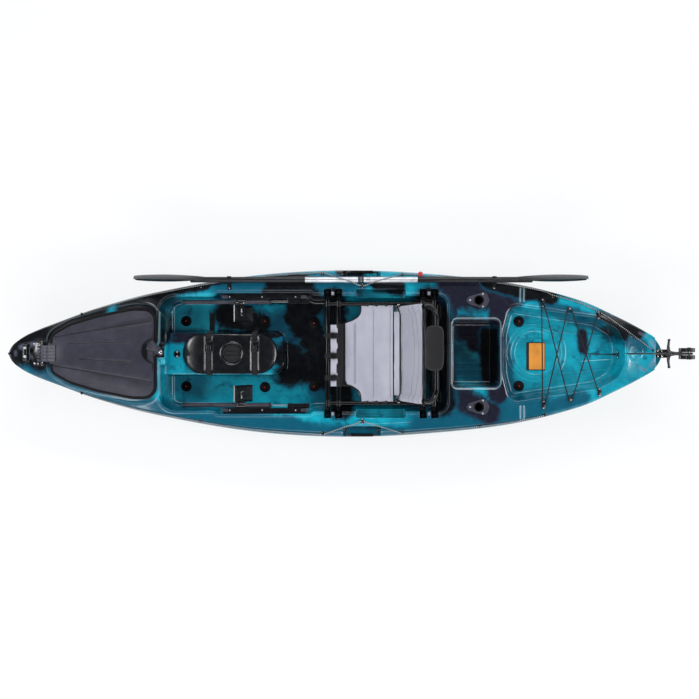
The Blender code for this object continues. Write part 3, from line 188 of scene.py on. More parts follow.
def gridPart(grid, aroundU=False, aroundV=False, caps=False, flip=False):
    # A grid of points, rows by columns, made into quads. U runs down the rows and V along the columns, in metres.
    grid = np.asarray(grid, float)
    rows, columns = grid.shape[:2]
    i, j = np.meshgrid(np.arange(rows if aroundU else rows - 1), np.arange(columns if aroundV else columns - 1), indexing="ij")
    nextRow, nextColumn = (i + 1) % rows, (j + 1) % columns
    quads = np.stack([i * columns + j, i * columns + nextColumn, nextRow * columns + nextColumn, nextRow * columns + j], -1)
    along = np.r_[0, np.cumsum(np.linalg.norm(np.diff(grid[:, 0], axis=0), axis=1))]
    around = np.r_[0, np.cumsum(np.linalg.norm(np.diff(grid[rows // 2], axis=0), axis=1))]
    along, around = np.r_[along, along[-1] + 0.003], np.r_[around, around[-1] + 0.003]
    u, v, u1, v1 = along[i], around[j], along[i + 1], around[j + 1]
    uv = np.stack([np.stack(pair, -1) for pair in ((u, v), (u, v1), (u1, v1), (u1, v))], 2).reshape(-1, 4, 2).tolist()
    faces, points = quads.reshape(-1, 4).tolist(), grid.reshape(-1, 3)
    if caps:
        for row, turn in ((0, -1), (rows - 1, 1)):
            faces.append([row * columns + k for k in range(columns)][::turn])
            uv.append([[float(k) * 0.002, 0.0] for k in range(columns)])
    if caps or (aroundU and aroundV):
        return outward(points, faces, uv)
    return (points, [f[::-1] for f in faces], [c[::-1] for c in uv]) if flip else (points, faces, uv)


def piece(name, parts, look, body, stands=(), sharp=35.0):
    # Several parts as one object.
    points, faces, uv, start = [], [], [], 0
    for some, polygons, corners in parts:
        points.append(some)
        faces += [[k + start for k in f] for f in polygons]
        uv += corners
        start += len(some)
    return keepPiece(name, np.vstack(points), faces, look, body, stands, sharp, uv)


def axes(direction, hint=(0, 0, 1)):
    # Two directions square to the given one, the second as near the hint as it can be.
    along = unit(direction)
    hint = np.array(hint, float)
    if abs(along @ hint) > 0.95:
        hint = np.array((1.0, 0.0, 0.0))
    across = unit(np.cross(hint, along))
    return across, np.cross(along, across)


def turned(profile, at=(0, 0, 0), axis=(0, 0, 1), sides=32, caps=True):
    # A profile of (radius, height) turned round an axis.
    across, up = axes(axis)
    angle = np.linspace(0, 2 * math.pi, sides, endpoint=False)
    profile = np.asarray(profile, float)
    spokes = np.cos(angle)[:, None] * across + np.sin(angle)[:, None] * up
    return gridPart(np.array(at) + profile[:, :1, None] * spokes + profile[:, 1:, None] * unit(axis), aroundV=True, caps=caps)


def curveThrough(points, step, closed=False):
    # A smooth curve through every point: Catmull-Rom, with points about a step apart.
    p = np.asarray(points, float)
    padded = np.vstack([p[-1:], p, p[:2]]) if closed else np.vstack([2 * p[0] - p[1], p, 2 * p[-1] - p[-2]])
    found = []
    for k in range(len(p) if closed else len(p) - 1):
        p0, p1, p2, p3 = padded[k:k + 4]
        count = max(1, int(math.ceil(np.linalg.norm(p2 - p1) / step)))
        t = (np.arange(count) / count)[:, None]
        found.append(0.5 * (2 * p1 + (p2 - p0) * t + (2 * p0 - 5 * p1 + 4 * p2 - p3) * t**2 + (3 * p1 - p0 - 3 * p2 + p3) * t**3))
    if not closed:
        found.append(p[-1:])
    return np.vstack(found)


def bentLine(points, radius, step=0.25):
    # A straight-sided path with round corners. Step is the turn between points, in radians.
    p = [np.array(q, float) for q in points]
    found = [p[0]]
    for before, here, after in zip(p, p[1:], p[2:]):
        back, ahead = unit(before - here), unit(after - here)
        half = math.acos(np.clip(back @ ahead, -1, 1)) / 2
        trim = min(radius / math.tan(half), 0.49 * min(np.linalg.norm(before - here), np.linalg.norm(after - here)))
        r = trim * math.tan(half)
        centre = here + unit(back + ahead) * (r / math.sin(half))
        start, end = here + back * trim - centre, here + ahead * trim - centre
        turn = math.pi - 2 * half
        for t in np.linspace(0, 1, max(2, int(turn / step)) + 1):
            found.append(centre + (np.sin((1 - t) * turn) * start + np.sin(t * turn) * end) / math.sin(turn))
    found.append(p[-1])
    return np.array(found)


def frames(path, across=None, closed=False):
    # Directions along a path, with the sideways one either given or carried along without twist.
    way = unit(np.roll(path, -1, 0) - np.roll(path, 1, 0)) if closed else unit(np.gradient(path, axis=0))
    if across is not None:
        fixed = np.broadcast_to(np.array(across, float), path.shape)
        up = unit(np.cross(way, fixed))
        return way, unit(np.cross(up, way)), up
    sides = [axes(way[0])[0]]
    for here in way[1:]:
        sides.append(unit(sides[-1] - here * (sides[-1] @ here)))
    side = np.array(sides)
    return way, side, np.cross(way, side)


def swept(path, radius, sides=16, across=None, closed=False, caps=True, section=None):
    # A round tube, or any section of (sideways, upwards) points, carried along a path.
    path = np.asarray(path, float)
    _, side, up = frames(path, across, closed)
    if section is None:
        angle = np.linspace(0, 2 * math.pi, sides, endpoint=False)
        section = np.c_[np.cos(angle), np.sin(angle)]
        scale = np.broadcast_to(np.asarray(radius, float), len(path))[:, None, None]
    else:
        section, scale = np.asarray(section, float), 1.0
    grid = path[:, None] + scale * (section[None, :, :1] * side[:, None] + section[None, :, 1:] * up[:, None])
    return gridPart(grid, aroundU=closed, aroundV=True, caps=caps and not closed)


def flatSection(width, thick, round=0.35, corner=4):
    # A strap's section: a rectangle with round corners.
    r = thick * round
    found = []
    for cx, cy, start in ((1, 1, 0), (-1, 1, 90), (-1, -1, 180), (1, -1, 270)):
        for a in np.radians(np.linspace(start, start + 90, corner)):
            found.append((cx * (width / 2 - r) + r * math.cos(a), cy * (thick / 2 - r) + r * math.sin(a)))
    return np.array(found)


def plate(corners, levels, base=None, step=0.004, turn=None):
    # Rings of one outline at (offset outwards, height), with the deck's height added where base is given.
    rings = []
    for by, z in levels:
        line = roundLine(corners, by, step)
        rings.append(np.c_[line, (base(line[:, 0], line[:, 1]) if base else 0) + z + 0 * line[:, 0]])
    grid = np.array(rings)
    if turn is not None:
        grid = turn(grid)
    return gridPart(grid, aroundV=True, caps=True)


def block(low, high, bevel=0.001, corner=None, turn=None):
    # A box with round edges.
    (x0, y0, z0), (x1, y1, z1) = low, high
    b = min(bevel, (x1 - x0) / 2.2, (y1 - y0) / 2.2, (z1 - z0) / 2.2)
    outline = plateCorners(x0, x1, (y1 - y0) / 2, max(corner or 0, b * 1.02), (y0 + y1) / 2)
    levels = [(-b, z0), (-b * 0.3, z0 + b * 0.3), (0, z0 + b), (0, z1 - b), (-b * 0.3, z1 - b * 0.3), (-b, z1)]
    return plate(outline, levels, step=0.002, turn=turn)


def turnedTo(at, along, up):
    # Moves a grid made round the origin to a place, with its x along one direction and its z up another.
    up = unit(up)
    along = unit(np.array(along, float) - up * (np.array(along, float) @ up))
    matrix = np.stack([along, np.cross(up, along), up])
    return lambda grid: np.array(at) + grid @ matrix


def screw(at, up=(0, 0, 1), radius=0.004, rise=0.0016):
    # A pan head with a cross recess: the recess is where a ring's points lie near either of two bars.
    angle = np.linspace(0, 2 * math.pi, 24, endpoint=False)
    rings = []
    for share, z in ((1.0, -0.3), (1.0, 0.25), (0.93, 0.6), (0.72, 0.9), (0.60, 0.97), (0.54, 0.98), (0.30, 1.0), (0.10, 1.0)):
        x, y = share * np.cos(angle), share * np.sin(angle)
        inside = ((np.abs(x) < 0.13) | (np.abs(y) < 0.13)) & (share < 0.56)
        rings.append(np.c_[x * radius, y * radius, np.where(inside, z - 0.75, z) * rise])
    across, other = axes(up)
    matrix = np.stack([across, other, unit(up)])
    return gridPart(np.array(at) + np.array(rings) @ matrix, aroundV=True, caps=True)


def unit(vectors):
    vectors = np.asarray(vectors, float)
    return vectors / np.maximum(np.linalg.norm(vectors, axis=-1, keepdims=True), 1e-12)


def smoothStep(low, high, x):
    t = np.clip((np.asarray(x, float) - low) / (high - low), 0, 1)
    return t * t * (3 - 2 * t)


def roundLine(corners, by=0.0, step=0.004):
    # The closed line through (x, y, radius) corners, clockwise from above, moved outwards by a distance.
    corners = np.asarray(corners, float)
    points, radii = corners[:, :2], corners[:, 2]
    ways = unit(np.roll(points, -1, 0) - points)
    before, after = np.roll(ways, 1, 0), ways
    outBefore, outAfter = np.c_[-before[:, 1], before[:, 0]], np.c_[-after[:, 1], after[:, 0]]
    share = by / (1 + np.sum(outBefore * outAfter, 1))
    moved = points + (outBefore + outAfter) * share[:, None]
    convex = before[:, 0] * after[:, 1] - before[:, 1] * after[:, 0] < 0
    radii = np.maximum(radii + np.where(convex, by, -by), 0.0015)
    found = []
    for here, back, ahead, radius, given in zip(moved, -before, after, radii, corners[:, 2]):
        half = math.acos(np.clip(back @ ahead, -1, 1)) / 2
        if given <= 0 or math.degrees(half) > 88:
            found.append(here[None])
            continue
        centre = here + unit(back + ahead) * (radius / math.sin(half))
        start, end = here + back * (radius / math.tan(half)) - centre, here + ahead * (radius / math.tan(half)) - centre
        turn = math.atan2(start[0] * end[1] - start[1] * end[0], start @ end)
        count = max(3, int(abs(turn) * given / step), int(abs(turn) / 0.35))
        angle = np.linspace(0, turn, count + 1)
        found.append(centre + np.c_[start[0] * np.cos(angle) - start[1] * np.sin(angle), start[0] * np.sin(angle) + start[1] * np.cos(angle)])
    return np.vstack(found)


def resample(line, step, closed=True):
    # The same line with its points a step apart. Its own corners stay where they are.
    line = np.asarray(line, float)
    ends = np.roll(line, -1, 0) if closed else line[1:]
    starts = line if closed else line[:-1]
    found = []
    for a, b in zip(starts, ends):
        count = max(1, int(math.ceil(np.linalg.norm(b - a) / step)))
        found.append(a + (b - a) * (np.arange(count) / count)[:, None])
    if not closed:
        found.append(line[-1:])
    return np.vstack(found)


def plateCorners(x0, x1, half, radius, middle=0.0):
    return [(x0, middle + half, radius), (x1, middle + half, radius), (x1, middle - half, radius), (x0, middle - half, radius)]


def mirrored(corners):
    return list(corners) + [(x, -y, r) for x, y, r in reversed(corners)]


def distanceTo(points, line, closed=True):
    # Distance from each point to the nearest stretch of a line.
    a = line if closed else line[:-1]
    b = np.roll(line, -1, 0) if closed else line[1:]
    best = np.full(len(points), 1e9)
    for chunk in range(0, len(a), 24):
        p, q = a[chunk:chunk + 24], b[chunk:chunk + 24]
        way = q - p
        length = np.maximum(np.sum(way * way, 1), 1e-14)
        t = np.clip(((points[:, None] - p) * way).sum(-1) / length, 0, 1)
        gap = points[:, None] - (p + way * t[..., None])
        best = np.minimum(best, np.sqrt((gap * gap).sum(-1)).min(1))
    return best


def depthIn(points, line, reach=0.06):
    # Signed distance to a closed line, below zero inside. Far points outside get a plain large value.
    found = np.full(len(points), 1.0)
    near = np.all((points > line.min(0) - reach) & (points < line.max(0) + reach), axis=1)
    some = points[near]
    if not len(some):
        return found
    far = distanceTo(some, line)
    a, b = line, np.roll(line, -1, 0)
    inside = np.zeros(len(some), bool)
    for (x0, y0), (x1, y1) in zip(a, b):
        crosses = (y0 > some[:, 1]) != (y1 > some[:, 1])
        with np.errstate(divide="ignore", invalid="ignore"):
            inside ^= crosses & (some[:, 0] < (x1 - x0) * (some[:, 1] - y0) / (y1 - y0) + x0)
    found[near] = np.where(inside, -far, far)
    return found


def tiled(fixed, lines, openLines, spacing, low, high):
    # Triangles over a plane that follow every given line, with evenly spread points between them.
    # The points of a fixed line are kept as they are.
    linePoints = list(fixed) + [resample(line, spacing * 0.9) for line in lines]
    openPoints = [resample(line, spacing * 0.9, False) for line in openLines]
    taken = np.vstack(linePoints + openPoints)
    rows = np.arange(low[1], high[1], spacing * 0.866)
    columns = np.arange(low[0], high[0], spacing)
    x, y = np.meshgrid(columns, rows)
    x[1::2] += spacing / 2
    spread = np.c_[x.ravel(), y.ravel()]
    cell = spacing * 0.45
    origin = np.array(low) - 1.0
    width = int((high[0] - low[0] + 2.0) / cell) + 3
    key = lambda p: np.floor((p - origin) / cell).astype(int) @ np.array([1, width])
    blocked = np.unique(np.concatenate([key(taken) + dx + dy * width for dx in (-1, 0, 1) for dy in (-1, 0, 1)]))
    spread = spread[~np.isin(key(spread), blocked)]
    edges, start = [], len(spread)
    for group, closed in ((linePoints, True), (openPoints, False)):
        for line in group:
            count = len(line)
            index = np.arange(count if closed else count - 1)
            edges += np.c_[start + index, start + (index + 1) % count].tolist()
            start += count
    every = np.vstack([spread, taken])
    made = delaunay_2d_cdt([Vector(p) for p in every.tolist()], edges, [], 0, 1e-6, False)
    return np.array([tuple(p) for p in made[0]]), np.array(made[2])


def usedOnly(points, triangles):
    used, inverse = np.unique(triangles, return_inverse=True)
    return points[used], inverse.reshape(-1, 3)


# Hull shape, the same curves as the boat's frame

hull = {
    "beam": (
        (-1.592, 0.018), (-1.562, 0.056), (-1.500, 0.099), (-1.378, 0.151), (-1.173, 0.228),
        (-0.898, 0.303), (-0.428, 0.385), (0.037, 0.413), (0.453, 0.395), (0.864, 0.348),
        (1.197, 0.264), (1.383, 0.179), (1.501, 0.115), (1.565, 0.070), (1.600, 0.018),
    ),
    "roll": 0.055,
    "edgeShare": 0.93,
    "noseRound": 0.016,
    "wall": 0.006,
    "spacing": 0.0072,
}


def halfBeam(x):
    # A cubic through the beam points, with each slope taken from the two neighbours.
    curve = np.array(hull["beam"])
    px, py = curve[:, 0], curve[:, 1]
    index = np.arange(len(px))
    ahead, behind = np.minimum(index + 1, len(px) - 1), np.maximum(index - 1, 0)
    slope = (py[ahead] - py[behind]) / (px[ahead] - px[behind])
    x = np.clip(x, px[0], px[-1])
    i = np.clip(np.searchsorted(px, x, side="right") - 1, 0, len(px) - 2)
    h = px[i + 1] - px[i]
    t = (x - px[i]) / h
    wide = (2 * t**3 - 3 * t**2 + 1) * py[i] + (t**3 - 2 * t**2 + t) * slope[i] * h
    wide += (3 * t**2 - 2 * t**3) * py[i + 1] + (t**3 - t**2) * slope[i + 1] * h
    end = np.minimum(x - px[0], px[-1] - x)
    r = hull["noseRound"]
    return wide * np.sqrt(np.clip(1 - (1 - np.clip(end / r, 0, 1)) ** 2, 0.0004, 1))


def sheer(x):
    bow, stern = np.maximum(0, (-x - 0.70) / 0.89), np.maximum(0, (x - 0.80) / 0.80)
    return 0.300 + 0.075 * bow**2 + 0.035 * stern**2


def crown(x):
    bow, stern = smoothStep(0.70, 1.05, -x) * 0.045, smoothStep(1.18, 1.42, x) * 0.025
    return (0.012 + np.maximum(bow, stern)) * (1 - 0.75 * smoothStep(1.30, 1.50, np.abs(x)))


def keel(x):
    bow, stern = np.maximum(0, (-x - 0.80) / 0.80), np.maximum(0, (x - 0.90) / 0.70)
    return 0.02 * bow**2 + 0.28 * bow**9 + 0.02 * stern**2 + 0.23 * stern**8


def deckTop(x, y):
    edge = hull["edgeShare"] * halfBeam(x)
    return sheer(x) + crown(x) * np.maximum(0, 1 - (y / edge) ** 2)


def fromPhoto(px, py, height=0.32):
    # Metres from a place in the picture, for something at that height.
    scale = 0.004896 * (stage["cameraAt"][2] - height) / (stage["cameraAt"][2] - stage["deckHeight"])
    return stage["cameraAt"][0] + (px - 349.5) * scale, stage["cameraAt"][1] + (349.5 - py) * scale


wells = {  # corners (x, y, radius), floor, rim round, wall's slope inwards, foot round
    "cockpit": (mirrored(((-0.873, 0.280, 0.075), (-0.605, 0.280, 0.02), (-0.590, 0.297, 0.012), (-0.135, 0.297, 0.012),
                          (-0.120, 0.284, 0.02), (0.536, 0.284, 0.045))), 0.090, 0.0065, 0.0195, 0.016),
    "boxWell": (mirrored(((0.568, 0.163, 0.022), (0.791, 0.163, 0.022))), 0.100, 0.0055, 0.010, 0.014),
    "tankWell": (mirrored(((0.812, 0.10, 0.15), (0.848, 0.236, 0.050), (1.285, 0.169, 0.10), (1.370, 0.118, 0.06),
                           (1.402, 0.05, 0.03))), 0.200, 0.0075, 0.022, 0.014),
    "sternLedge": ([(1.5535, 0.3, 0.0), (1.75, 0.3, 0.0), (1.75, -0.3, 0.0), (1.5535, -0.3, 0.0)], 0.285, 0.0045, 0.0012, 0.003),
}
islands = {  # corners, top, edge round, slope, foot round
    "console": (mirrored(((-0.96, 0.106, 0.0), (-0.268, 0.106, 0.050))), 0.200, 0.008, 0.004, 0.012),
    "shelf": (mirrored(((-0.96, 0.055, 0.0), (-0.841, 0.055, 0.012))), 0.322, 0.004, 0.002, 0.005),
}
for sideName, side in (("Starboard", 1), ("Port", -1)):
    for label, x0, x1 in (("slotForeA", -0.067, -0.031), ("slotForeB", -0.013, 0.023), ("slotAftA", 0.403, 0.439), ("slotAftB", 0.459, 0.497)):
        wells[label + sideName] = (plateCorners(x0, x1, 0.034, 0.004, side * 0.284), 0.2492, 0.0025, 0.0008, 0.002)
    wells["pocket" + sideName] = (plateCorners(0.091, 0.335, 0.033, 0.008, side * 0.283), 0.215, 0.0040, 0.003, 0.005)
    wells["notch" + sideName] = (plateCorners(0.027, 0.213, 0.0715, 0.012, side * 0.4285), 0.238, 0.0045, 0.002, 0.006)
ridges = []  # (points, half width, height, share of painted highlight): thin moulded ridges and steps on deck and floors


def wellHeight(depth, top, floor, rim, slope, foot):
    # Quarter circle at the rim, a sloping wall, a quarter circle at the foot, a flat floor.
    wall = np.clip(-depth / slope, 0, 1)
    z = (top - rim) + (floor + foot - (top - rim)) * wall
    u = np.clip(rim - depth, 0, rim)
    z = np.where(depth > 0, top - (rim - np.sqrt(np.maximum(rim**2 - u**2, 0))), z)
    v = np.clip(-slope - depth, 0, foot)
    z = np.where(depth < -slope, floor + foot - np.sqrt(np.maximum(foot**2 - (foot - v) ** 2, 0)), z)
    return np.where(depth >= rim, top, z)


def wellLevels(rim, slope, foot):
    return [rim, rim * 0.55, rim * 0.25, rim * 0.06, 0.0, -slope * 0.35, -slope * 0.7, -slope,
            -slope - foot * 0.1, -slope - foot * 0.3, -slope - foot * 0.6, -slope - foot]


def mouldedDetail(points, z):
    # Ridges stand up from whatever surface they lie on.
    for line, half, height, _ in ridges:
        low, high = line.min(0) - half, line.max(0) + half
        near = np.all((points > low) & (points < high), axis=1)
        if near.any():
            gap = distanceTo(points[near], line, False)
            z[near] += height * np.cos(np.clip(gap / half, 0, 1) * math.pi / 2) ** 2
    return z


def topSurface(points, detail=True):
    # The height of the boat's upper side: deck, then every well cut down into it.
    x, y = points[:, 0], points[:, 1]
    deckZ = deckTop(x, y)
    z = deckZ.copy()
    for name, (corners, floor, rim, slope, foot) in wells.items():
        depth = depthIn(points, roundLine(corners))
        if name == "cockpit":
            base = wellHeight(depth, deckZ, floor, rim, slope, foot)
            for corners2, top, edge, lean, foot2 in islands.values():
                out = depthIn(points, roundLine(corners2), 0.05)
                rise = np.where(out < -edge, top, top - (edge - np.sqrt(np.clip(edge**2 - (edge + np.clip(out, -edge, 0)) ** 2, 0, None))))
                wall = np.clip(out / lean, 0, 1)
                rise = np.where(out > 0, (top - edge) + (floor + foot2 - (top - edge)) * wall, rise)
                v = np.clip(out - lean, 0, foot2)
                rise = np.where(out > lean, floor + foot2 - np.sqrt(np.maximum(foot2**2 - (foot2 - v) ** 2, 0)), rise)
                base = np.where(depth < 0, np.maximum(base, np.minimum(rise, deckZ - 0.002)), base)
            z = np.minimum(z, base)
        else:
            z = np.minimum(z, wellHeight(depth, deckZ, floor, rim, slope, foot))
    return mouldedDetail(points, z) if detail else z


# Node tools

def paint(text, alpha=1.0):
    # A written colour as Blender's linear values.
    parts = [int(text[k:k + 2], 16) / 255 for k in (1, 3, 5)]
    return tuple(c / 12.92 if c <= 0.04045 else ((c + 0.055) / 1.055) ** 2.4 for c in parts) + (alpha,)


def add(tree, kind, inputs=(), **settings):
    # One shader node. An input given as a socket is linked, anything else is set.
    node = tree.nodes.new("ShaderNode" + kind)
    for key, value in settings.items():
        setattr(node, key, value)
    for key, value in dict(inputs).items():
        if isinstance(value, bpy.types.NodeSocket):
            tree.links.new(value, node.inputs[key])
        else:
            node.inputs[key].default_value = value
    return node


def calc(tree, operation, *values, clamp=False):
    return add(tree, "Math", dict(enumerate(values)), operation=operation, use_clamp=clamp).outputs[0]


def ranged(tree, value, low, high, toLow=0.0, toHigh=1.0):
    node = add(tree, "MapRange", {"Value": value, "From Min": low, "From Max": high, "To Min": toLow, "To Max": toHigh})
    node.interpolation_type = "SMOOTHSTEP"
    return node.outputs["Result"]


def blended(tree, factor, one, two):
    node = add(tree, "Mix", data_type="RGBA")
    for index, value in ((0, factor), (6, one), (7, two)):
        if isinstance(value, bpy.types.NodeSocket):
            tree.links.new(value, node.inputs[index])
        else:
            node.inputs[index].default_value = value
    return node.outputs[2]


def newGroup(name, inputs, outputs):
    # A shader group with named value inputs and outputs.
    group = bpy.data.node_groups.new(name, "ShaderNodeTree")
    for label, value in inputs.items():
        socket = group.interface.new_socket(label, in_out="INPUT", socket_type="NodeSocketFloat")
        socket.default_value = value
    for label in outputs:
        group.interface.new_socket(label, in_out="OUTPUT", socket_type="NodeSocketFloat")
    return group, group.nodes.new("NodeGroupInput").outputs, group.nodes.new("NodeGroupOutput").inputs


def makeGrain():
    # Fine moulded texture: small rounded pebbles over slow waves, with a slow tone for colour.
    group, given, out = newGroup("mouldedGrain", {"Scale": 900.0, "Slow": 14.0}, ("Height", "Tone"))
    at = add(group, "TexCoord").outputs["Object"]
    pebble = add(group, "TexVoronoi", {"Vector": at, "Scale": given["Scale"]}, feature="SMOOTH_F1")
    fine = add(group, "TexNoise", {"Vector": at, "Scale": given["Scale"], "Detail": 2.0})
    slow = add(group, "TexNoise", {"Vector": at, "Scale": given["Slow"], "Detail": 4.0, "Roughness": 0.6})
    height = calc(group, "ADD", pebble.outputs["Distance"], calc(group, "MULTIPLY", fine.outputs["Fac"], 0.5))
    group.links.new(height, out["Height"])
    group.links.new(slow.outputs["Fac"], out["Tone"])
    return group


def makeScuffs():
    # Thin rubbed streaks in two directions, broken up by a slow noise.
    group, given, out = newGroup("rubbedScuffs", {"Scale": 60.0, "Amount": 0.5}, ("Mask",))
    at = add(group, "TexCoord").outputs["Object"]
    streaks = []
    for turn, stretch in (((0, 0, 0.5), (1, 14, 6)), ((0.3, 0.2, -0.9), (16, 1, 8))):
        place = add(group, "Mapping", {"Vector": at, "Rotation": turn, "Scale": stretch})
        noise = add(group, "TexNoise", {"Vector": place.outputs[0], "Scale": given["Scale"], "Detail": 3.0, "Roughness": 0.7})
        streaks.append(ranged(group, noise.outputs["Fac"], 0.62, 0.78))
    patch = add(group, "TexNoise", {"Vector": at, "Scale": calc(group, "MULTIPLY", given["Scale"], 0.12), "Detail": 2.0})
    both = calc(group, "MAXIMUM", *streaks)
    shown = calc(group, "MULTIPLY", both, ranged(group, patch.outputs["Fac"], 0.42, 0.66))
    group.links.new(calc(group, "MULTIPLY", shown, given["Amount"]), out["Mask"])
    return group


def makeDust():
    # Settled dust: faces that look up, thinned by noise.
    group, given, out = newGroup("settledDust", {"Amount": 0.3, "Scale": 30.0}, ("Mask",))
    at = add(group, "TexCoord").outputs["Object"]
    normal = add(group, "NewGeometry").outputs["Normal"]
    up = add(group, "SeparateXYZ", {0: normal}).outputs["Z"]
    noise = add(group, "TexNoise", {"Vector": at, "Scale": given["Scale"], "Detail": 5.0, "Roughness": 0.65})
    mask = calc(group, "MULTIPLY", ranged(group, up, 0.2, 1.0), ranged(group, noise.outputs["Fac"], 0.4, 0.7))
    group.links.new(calc(group, "MULTIPLY", mask, given["Amount"]), out["Mask"])
    return group


def makeWeave():
    # Over and under threads along the piece's own UV map, which is in metres.
    group, given, out = newGroup("wovenThreads", {"Along": 700.0, "Across": 700.0, "Ragged": 0.2}, ("Height", "Shade"))
    uv = add(group, "SeparateXYZ", {0: add(group, "TexCoord").outputs["UV"]})
    waves = []
    for axis, label in (("X", "Along"), ("Y", "Across")):
        turns = calc(group, "MULTIPLY", uv.outputs[axis], calc(group, "MULTIPLY", given[label], math.pi))
        waves.append(calc(group, "SINE", turns))
    crossing = calc(group, "MULTIPLY", *waves)
    threads = calc(group, "MAXIMUM", *[calc(group, "ABSOLUTE", wave) for wave in waves])
    noise = add(group, "TexNoise", {"Vector": add(group, "TexCoord").outputs["Object"], "Scale": 420.0, "Detail": 3.0})
    rough = calc(group, "MULTIPLY", noise.outputs["Fac"], given["Ragged"])
    height = calc(group, "ADD", calc(group, "ADD", calc(group, "MULTIPLY", crossing, 0.35), calc(group, "MULTIPLY", threads, 0.4)), rough)
    group.links.new(height, out["Height"])
    group.links.new(ranged(group, height, 0.0, 1.0), out["Shade"])
    return group


def makeBraid():
    # Crossing strands of a braided cord. U runs along the cord and V round it, both in metres.
    group, given, out = newGroup("braidedStrands", {"Strands": 260.0, "Flecks": 0.0, "Dash": 0.012}, ("Height", "Fleck"))
    uv = add(group, "SeparateXYZ", {0: add(group, "TexCoord").outputs["UV"]})
    along = calc(group, "MULTIPLY", uv.outputs["X"], calc(group, "MULTIPLY", given["Strands"], math.pi))
    around = calc(group, "MULTIPLY", uv.outputs["Y"], calc(group, "MULTIPLY", given["Strands"], math.pi * 2))
    one, two = calc(group, "SINE", calc(group, "ADD", along, around)), calc(group, "SINE", calc(group, "SUBTRACT", along, around))
    height = calc(group, "MAXIMUM", calc(group, "ABSOLUTE", one), calc(group, "ABSOLUTE", two))
    group.links.new(height, out["Height"])
    share = calc(group, "FRACT", calc(group, "DIVIDE", uv.outputs["X"], given["Dash"]))
    dash = calc(group, "LESS_THAN", share, 0.36)
    group.links.new(calc(group, "MULTIPLY", dash, given["Flecks"]), out["Fleck"])
    return group


groups = {"grain": makeGrain(), "scuffs": makeScuffs(), "dust": makeDust(), "weave": makeWeave(), "braid": makeBraid()}


def placed(tree, key, **inputs):
    node = tree.nodes.new("ShaderNodeGroup")
    node.node_tree = groups[key]
    for label, value in inputs.items():
        node.inputs[label].default_value = value
    return node


def newLook(name):
    look = bpy.data.materials.new(name)
    look.use_nodes = True
    return look, look.node_tree, look.node_tree.nodes["Principled BSDF"]


def roughened(tree, shader, base, masks, gain):
    # Roughness from a base value, raised where any of the masks shows.
    total = masks[0]
    for mask in masks[1:]:
        total = calc(tree, "ADD", total, mask)
    value = calc(tree, "MULTIPLY_ADD", total, gain, base, clamp=True)
    tree.links.new(value, shader.inputs["Roughness"])


def bumped(tree, shader, height, strength, distance=0.0002):
    bump = add(tree, "Bump", {"Height": height, "Strength": strength, "Distance": distance})
    tree.links.new(bump.outputs["Normal"], shader.inputs["Normal"])


def moulded(name, colour, pale=None, roughness=0.35, grain=900.0, depth=0.25, scuffs=0.25, dust=0.015, coat=0.0, metallic=0.0, specular=0.5, shade=None):
    # Moulded plastic or rubber: slow tone, rubbed streaks, settled dust and pebbled grain, and painted shade where the
    # piece marks it.
    look, tree, shader = newLook(name)
    texture, rubbed = placed(tree, "grain", Scale=grain), placed(tree, "scuffs", Amount=scuffs)
    dusty = placed(tree, "dust", Amount=dust)
    base = paint(colour)
    lifted = paint(pale) if pale else tuple(min(1.0, c * 1.5 + 0.012) for c in base[:3]) + (1,)
    deep = tuple(c * 0.72 for c in base[:3]) + (1,)
    toned = blended(tree, ranged(tree, texture.outputs["Tone"], 0.3, 0.7), deep, base)
    worn = blended(tree, rubbed.outputs["Mask"], toned, lifted)
    dusted = blended(tree, dusty.outputs["Mask"], worn, paint("#A6A8A8"))
    # Painted shade: darker towards the shade colour where the piece's shade value is high.
    if shade:
        dusted = blended(tree, add(tree, "Attribute", attribute_name="shade").outputs["Fac"], dusted, paint(shade))
    tree.links.new(dusted, shader.inputs["Base Color"])
    shader.inputs["Specular IOR Level"].default_value = specular
    roughened(tree, shader, roughness, (rubbed.outputs["Mask"], dusty.outputs["Mask"]), 0.35)
    bumped(tree, shader, texture.outputs["Height"], depth)
    shader.inputs["Metallic"].default_value = metallic
    shader.inputs["Coat Weight"].default_value = coat
    shader.inputs["Coat Roughness"].default_value = 0.08
    return look


def metalLook(name, colour, roughness=0.25, brushed=0.4, metallic=1.0, scuffs=0.5):
    # Drawn or brushed metal: fine lines along the boat, rubbed streaks, slow tone.
    look, tree, shader = newLook(name)
    at = add(tree, "TexCoord").outputs["Object"]
    place = add(tree, "Mapping", {"Vector": at, "Scale": (6.0, 900.0, 900.0)})
    lines = add(tree, "TexNoise", {"Vector": place.outputs[0], "Scale": 1.0, "Detail": 3.0})
    rubbed, texture = placed(tree, "scuffs", Amount=scuffs, Scale=90.0), placed(tree, "grain", Slow=30.0)
    base = paint(colour)
    deep = tuple(c * 0.78 for c in base[:3]) + (1,)
    toned = blended(tree, ranged(tree, texture.outputs["Tone"], 0.35, 0.65), deep, base)
    tree.links.new(blended(tree, rubbed.outputs["Mask"], toned, tuple(min(1, c * 1.4 + 0.02) for c in base[:3]) + (1,)), shader.inputs["Base Color"])
    roughened(tree, shader, roughness, (rubbed.outputs["Mask"], calc(tree, "MULTIPLY", lines.outputs["Fac"], brushed * 0.4)), 0.5)
    bumped(tree, shader, lines.outputs["Fac"], brushed, 0.00006)
    shader.inputs["Metallic"].default_value = metallic
    return look


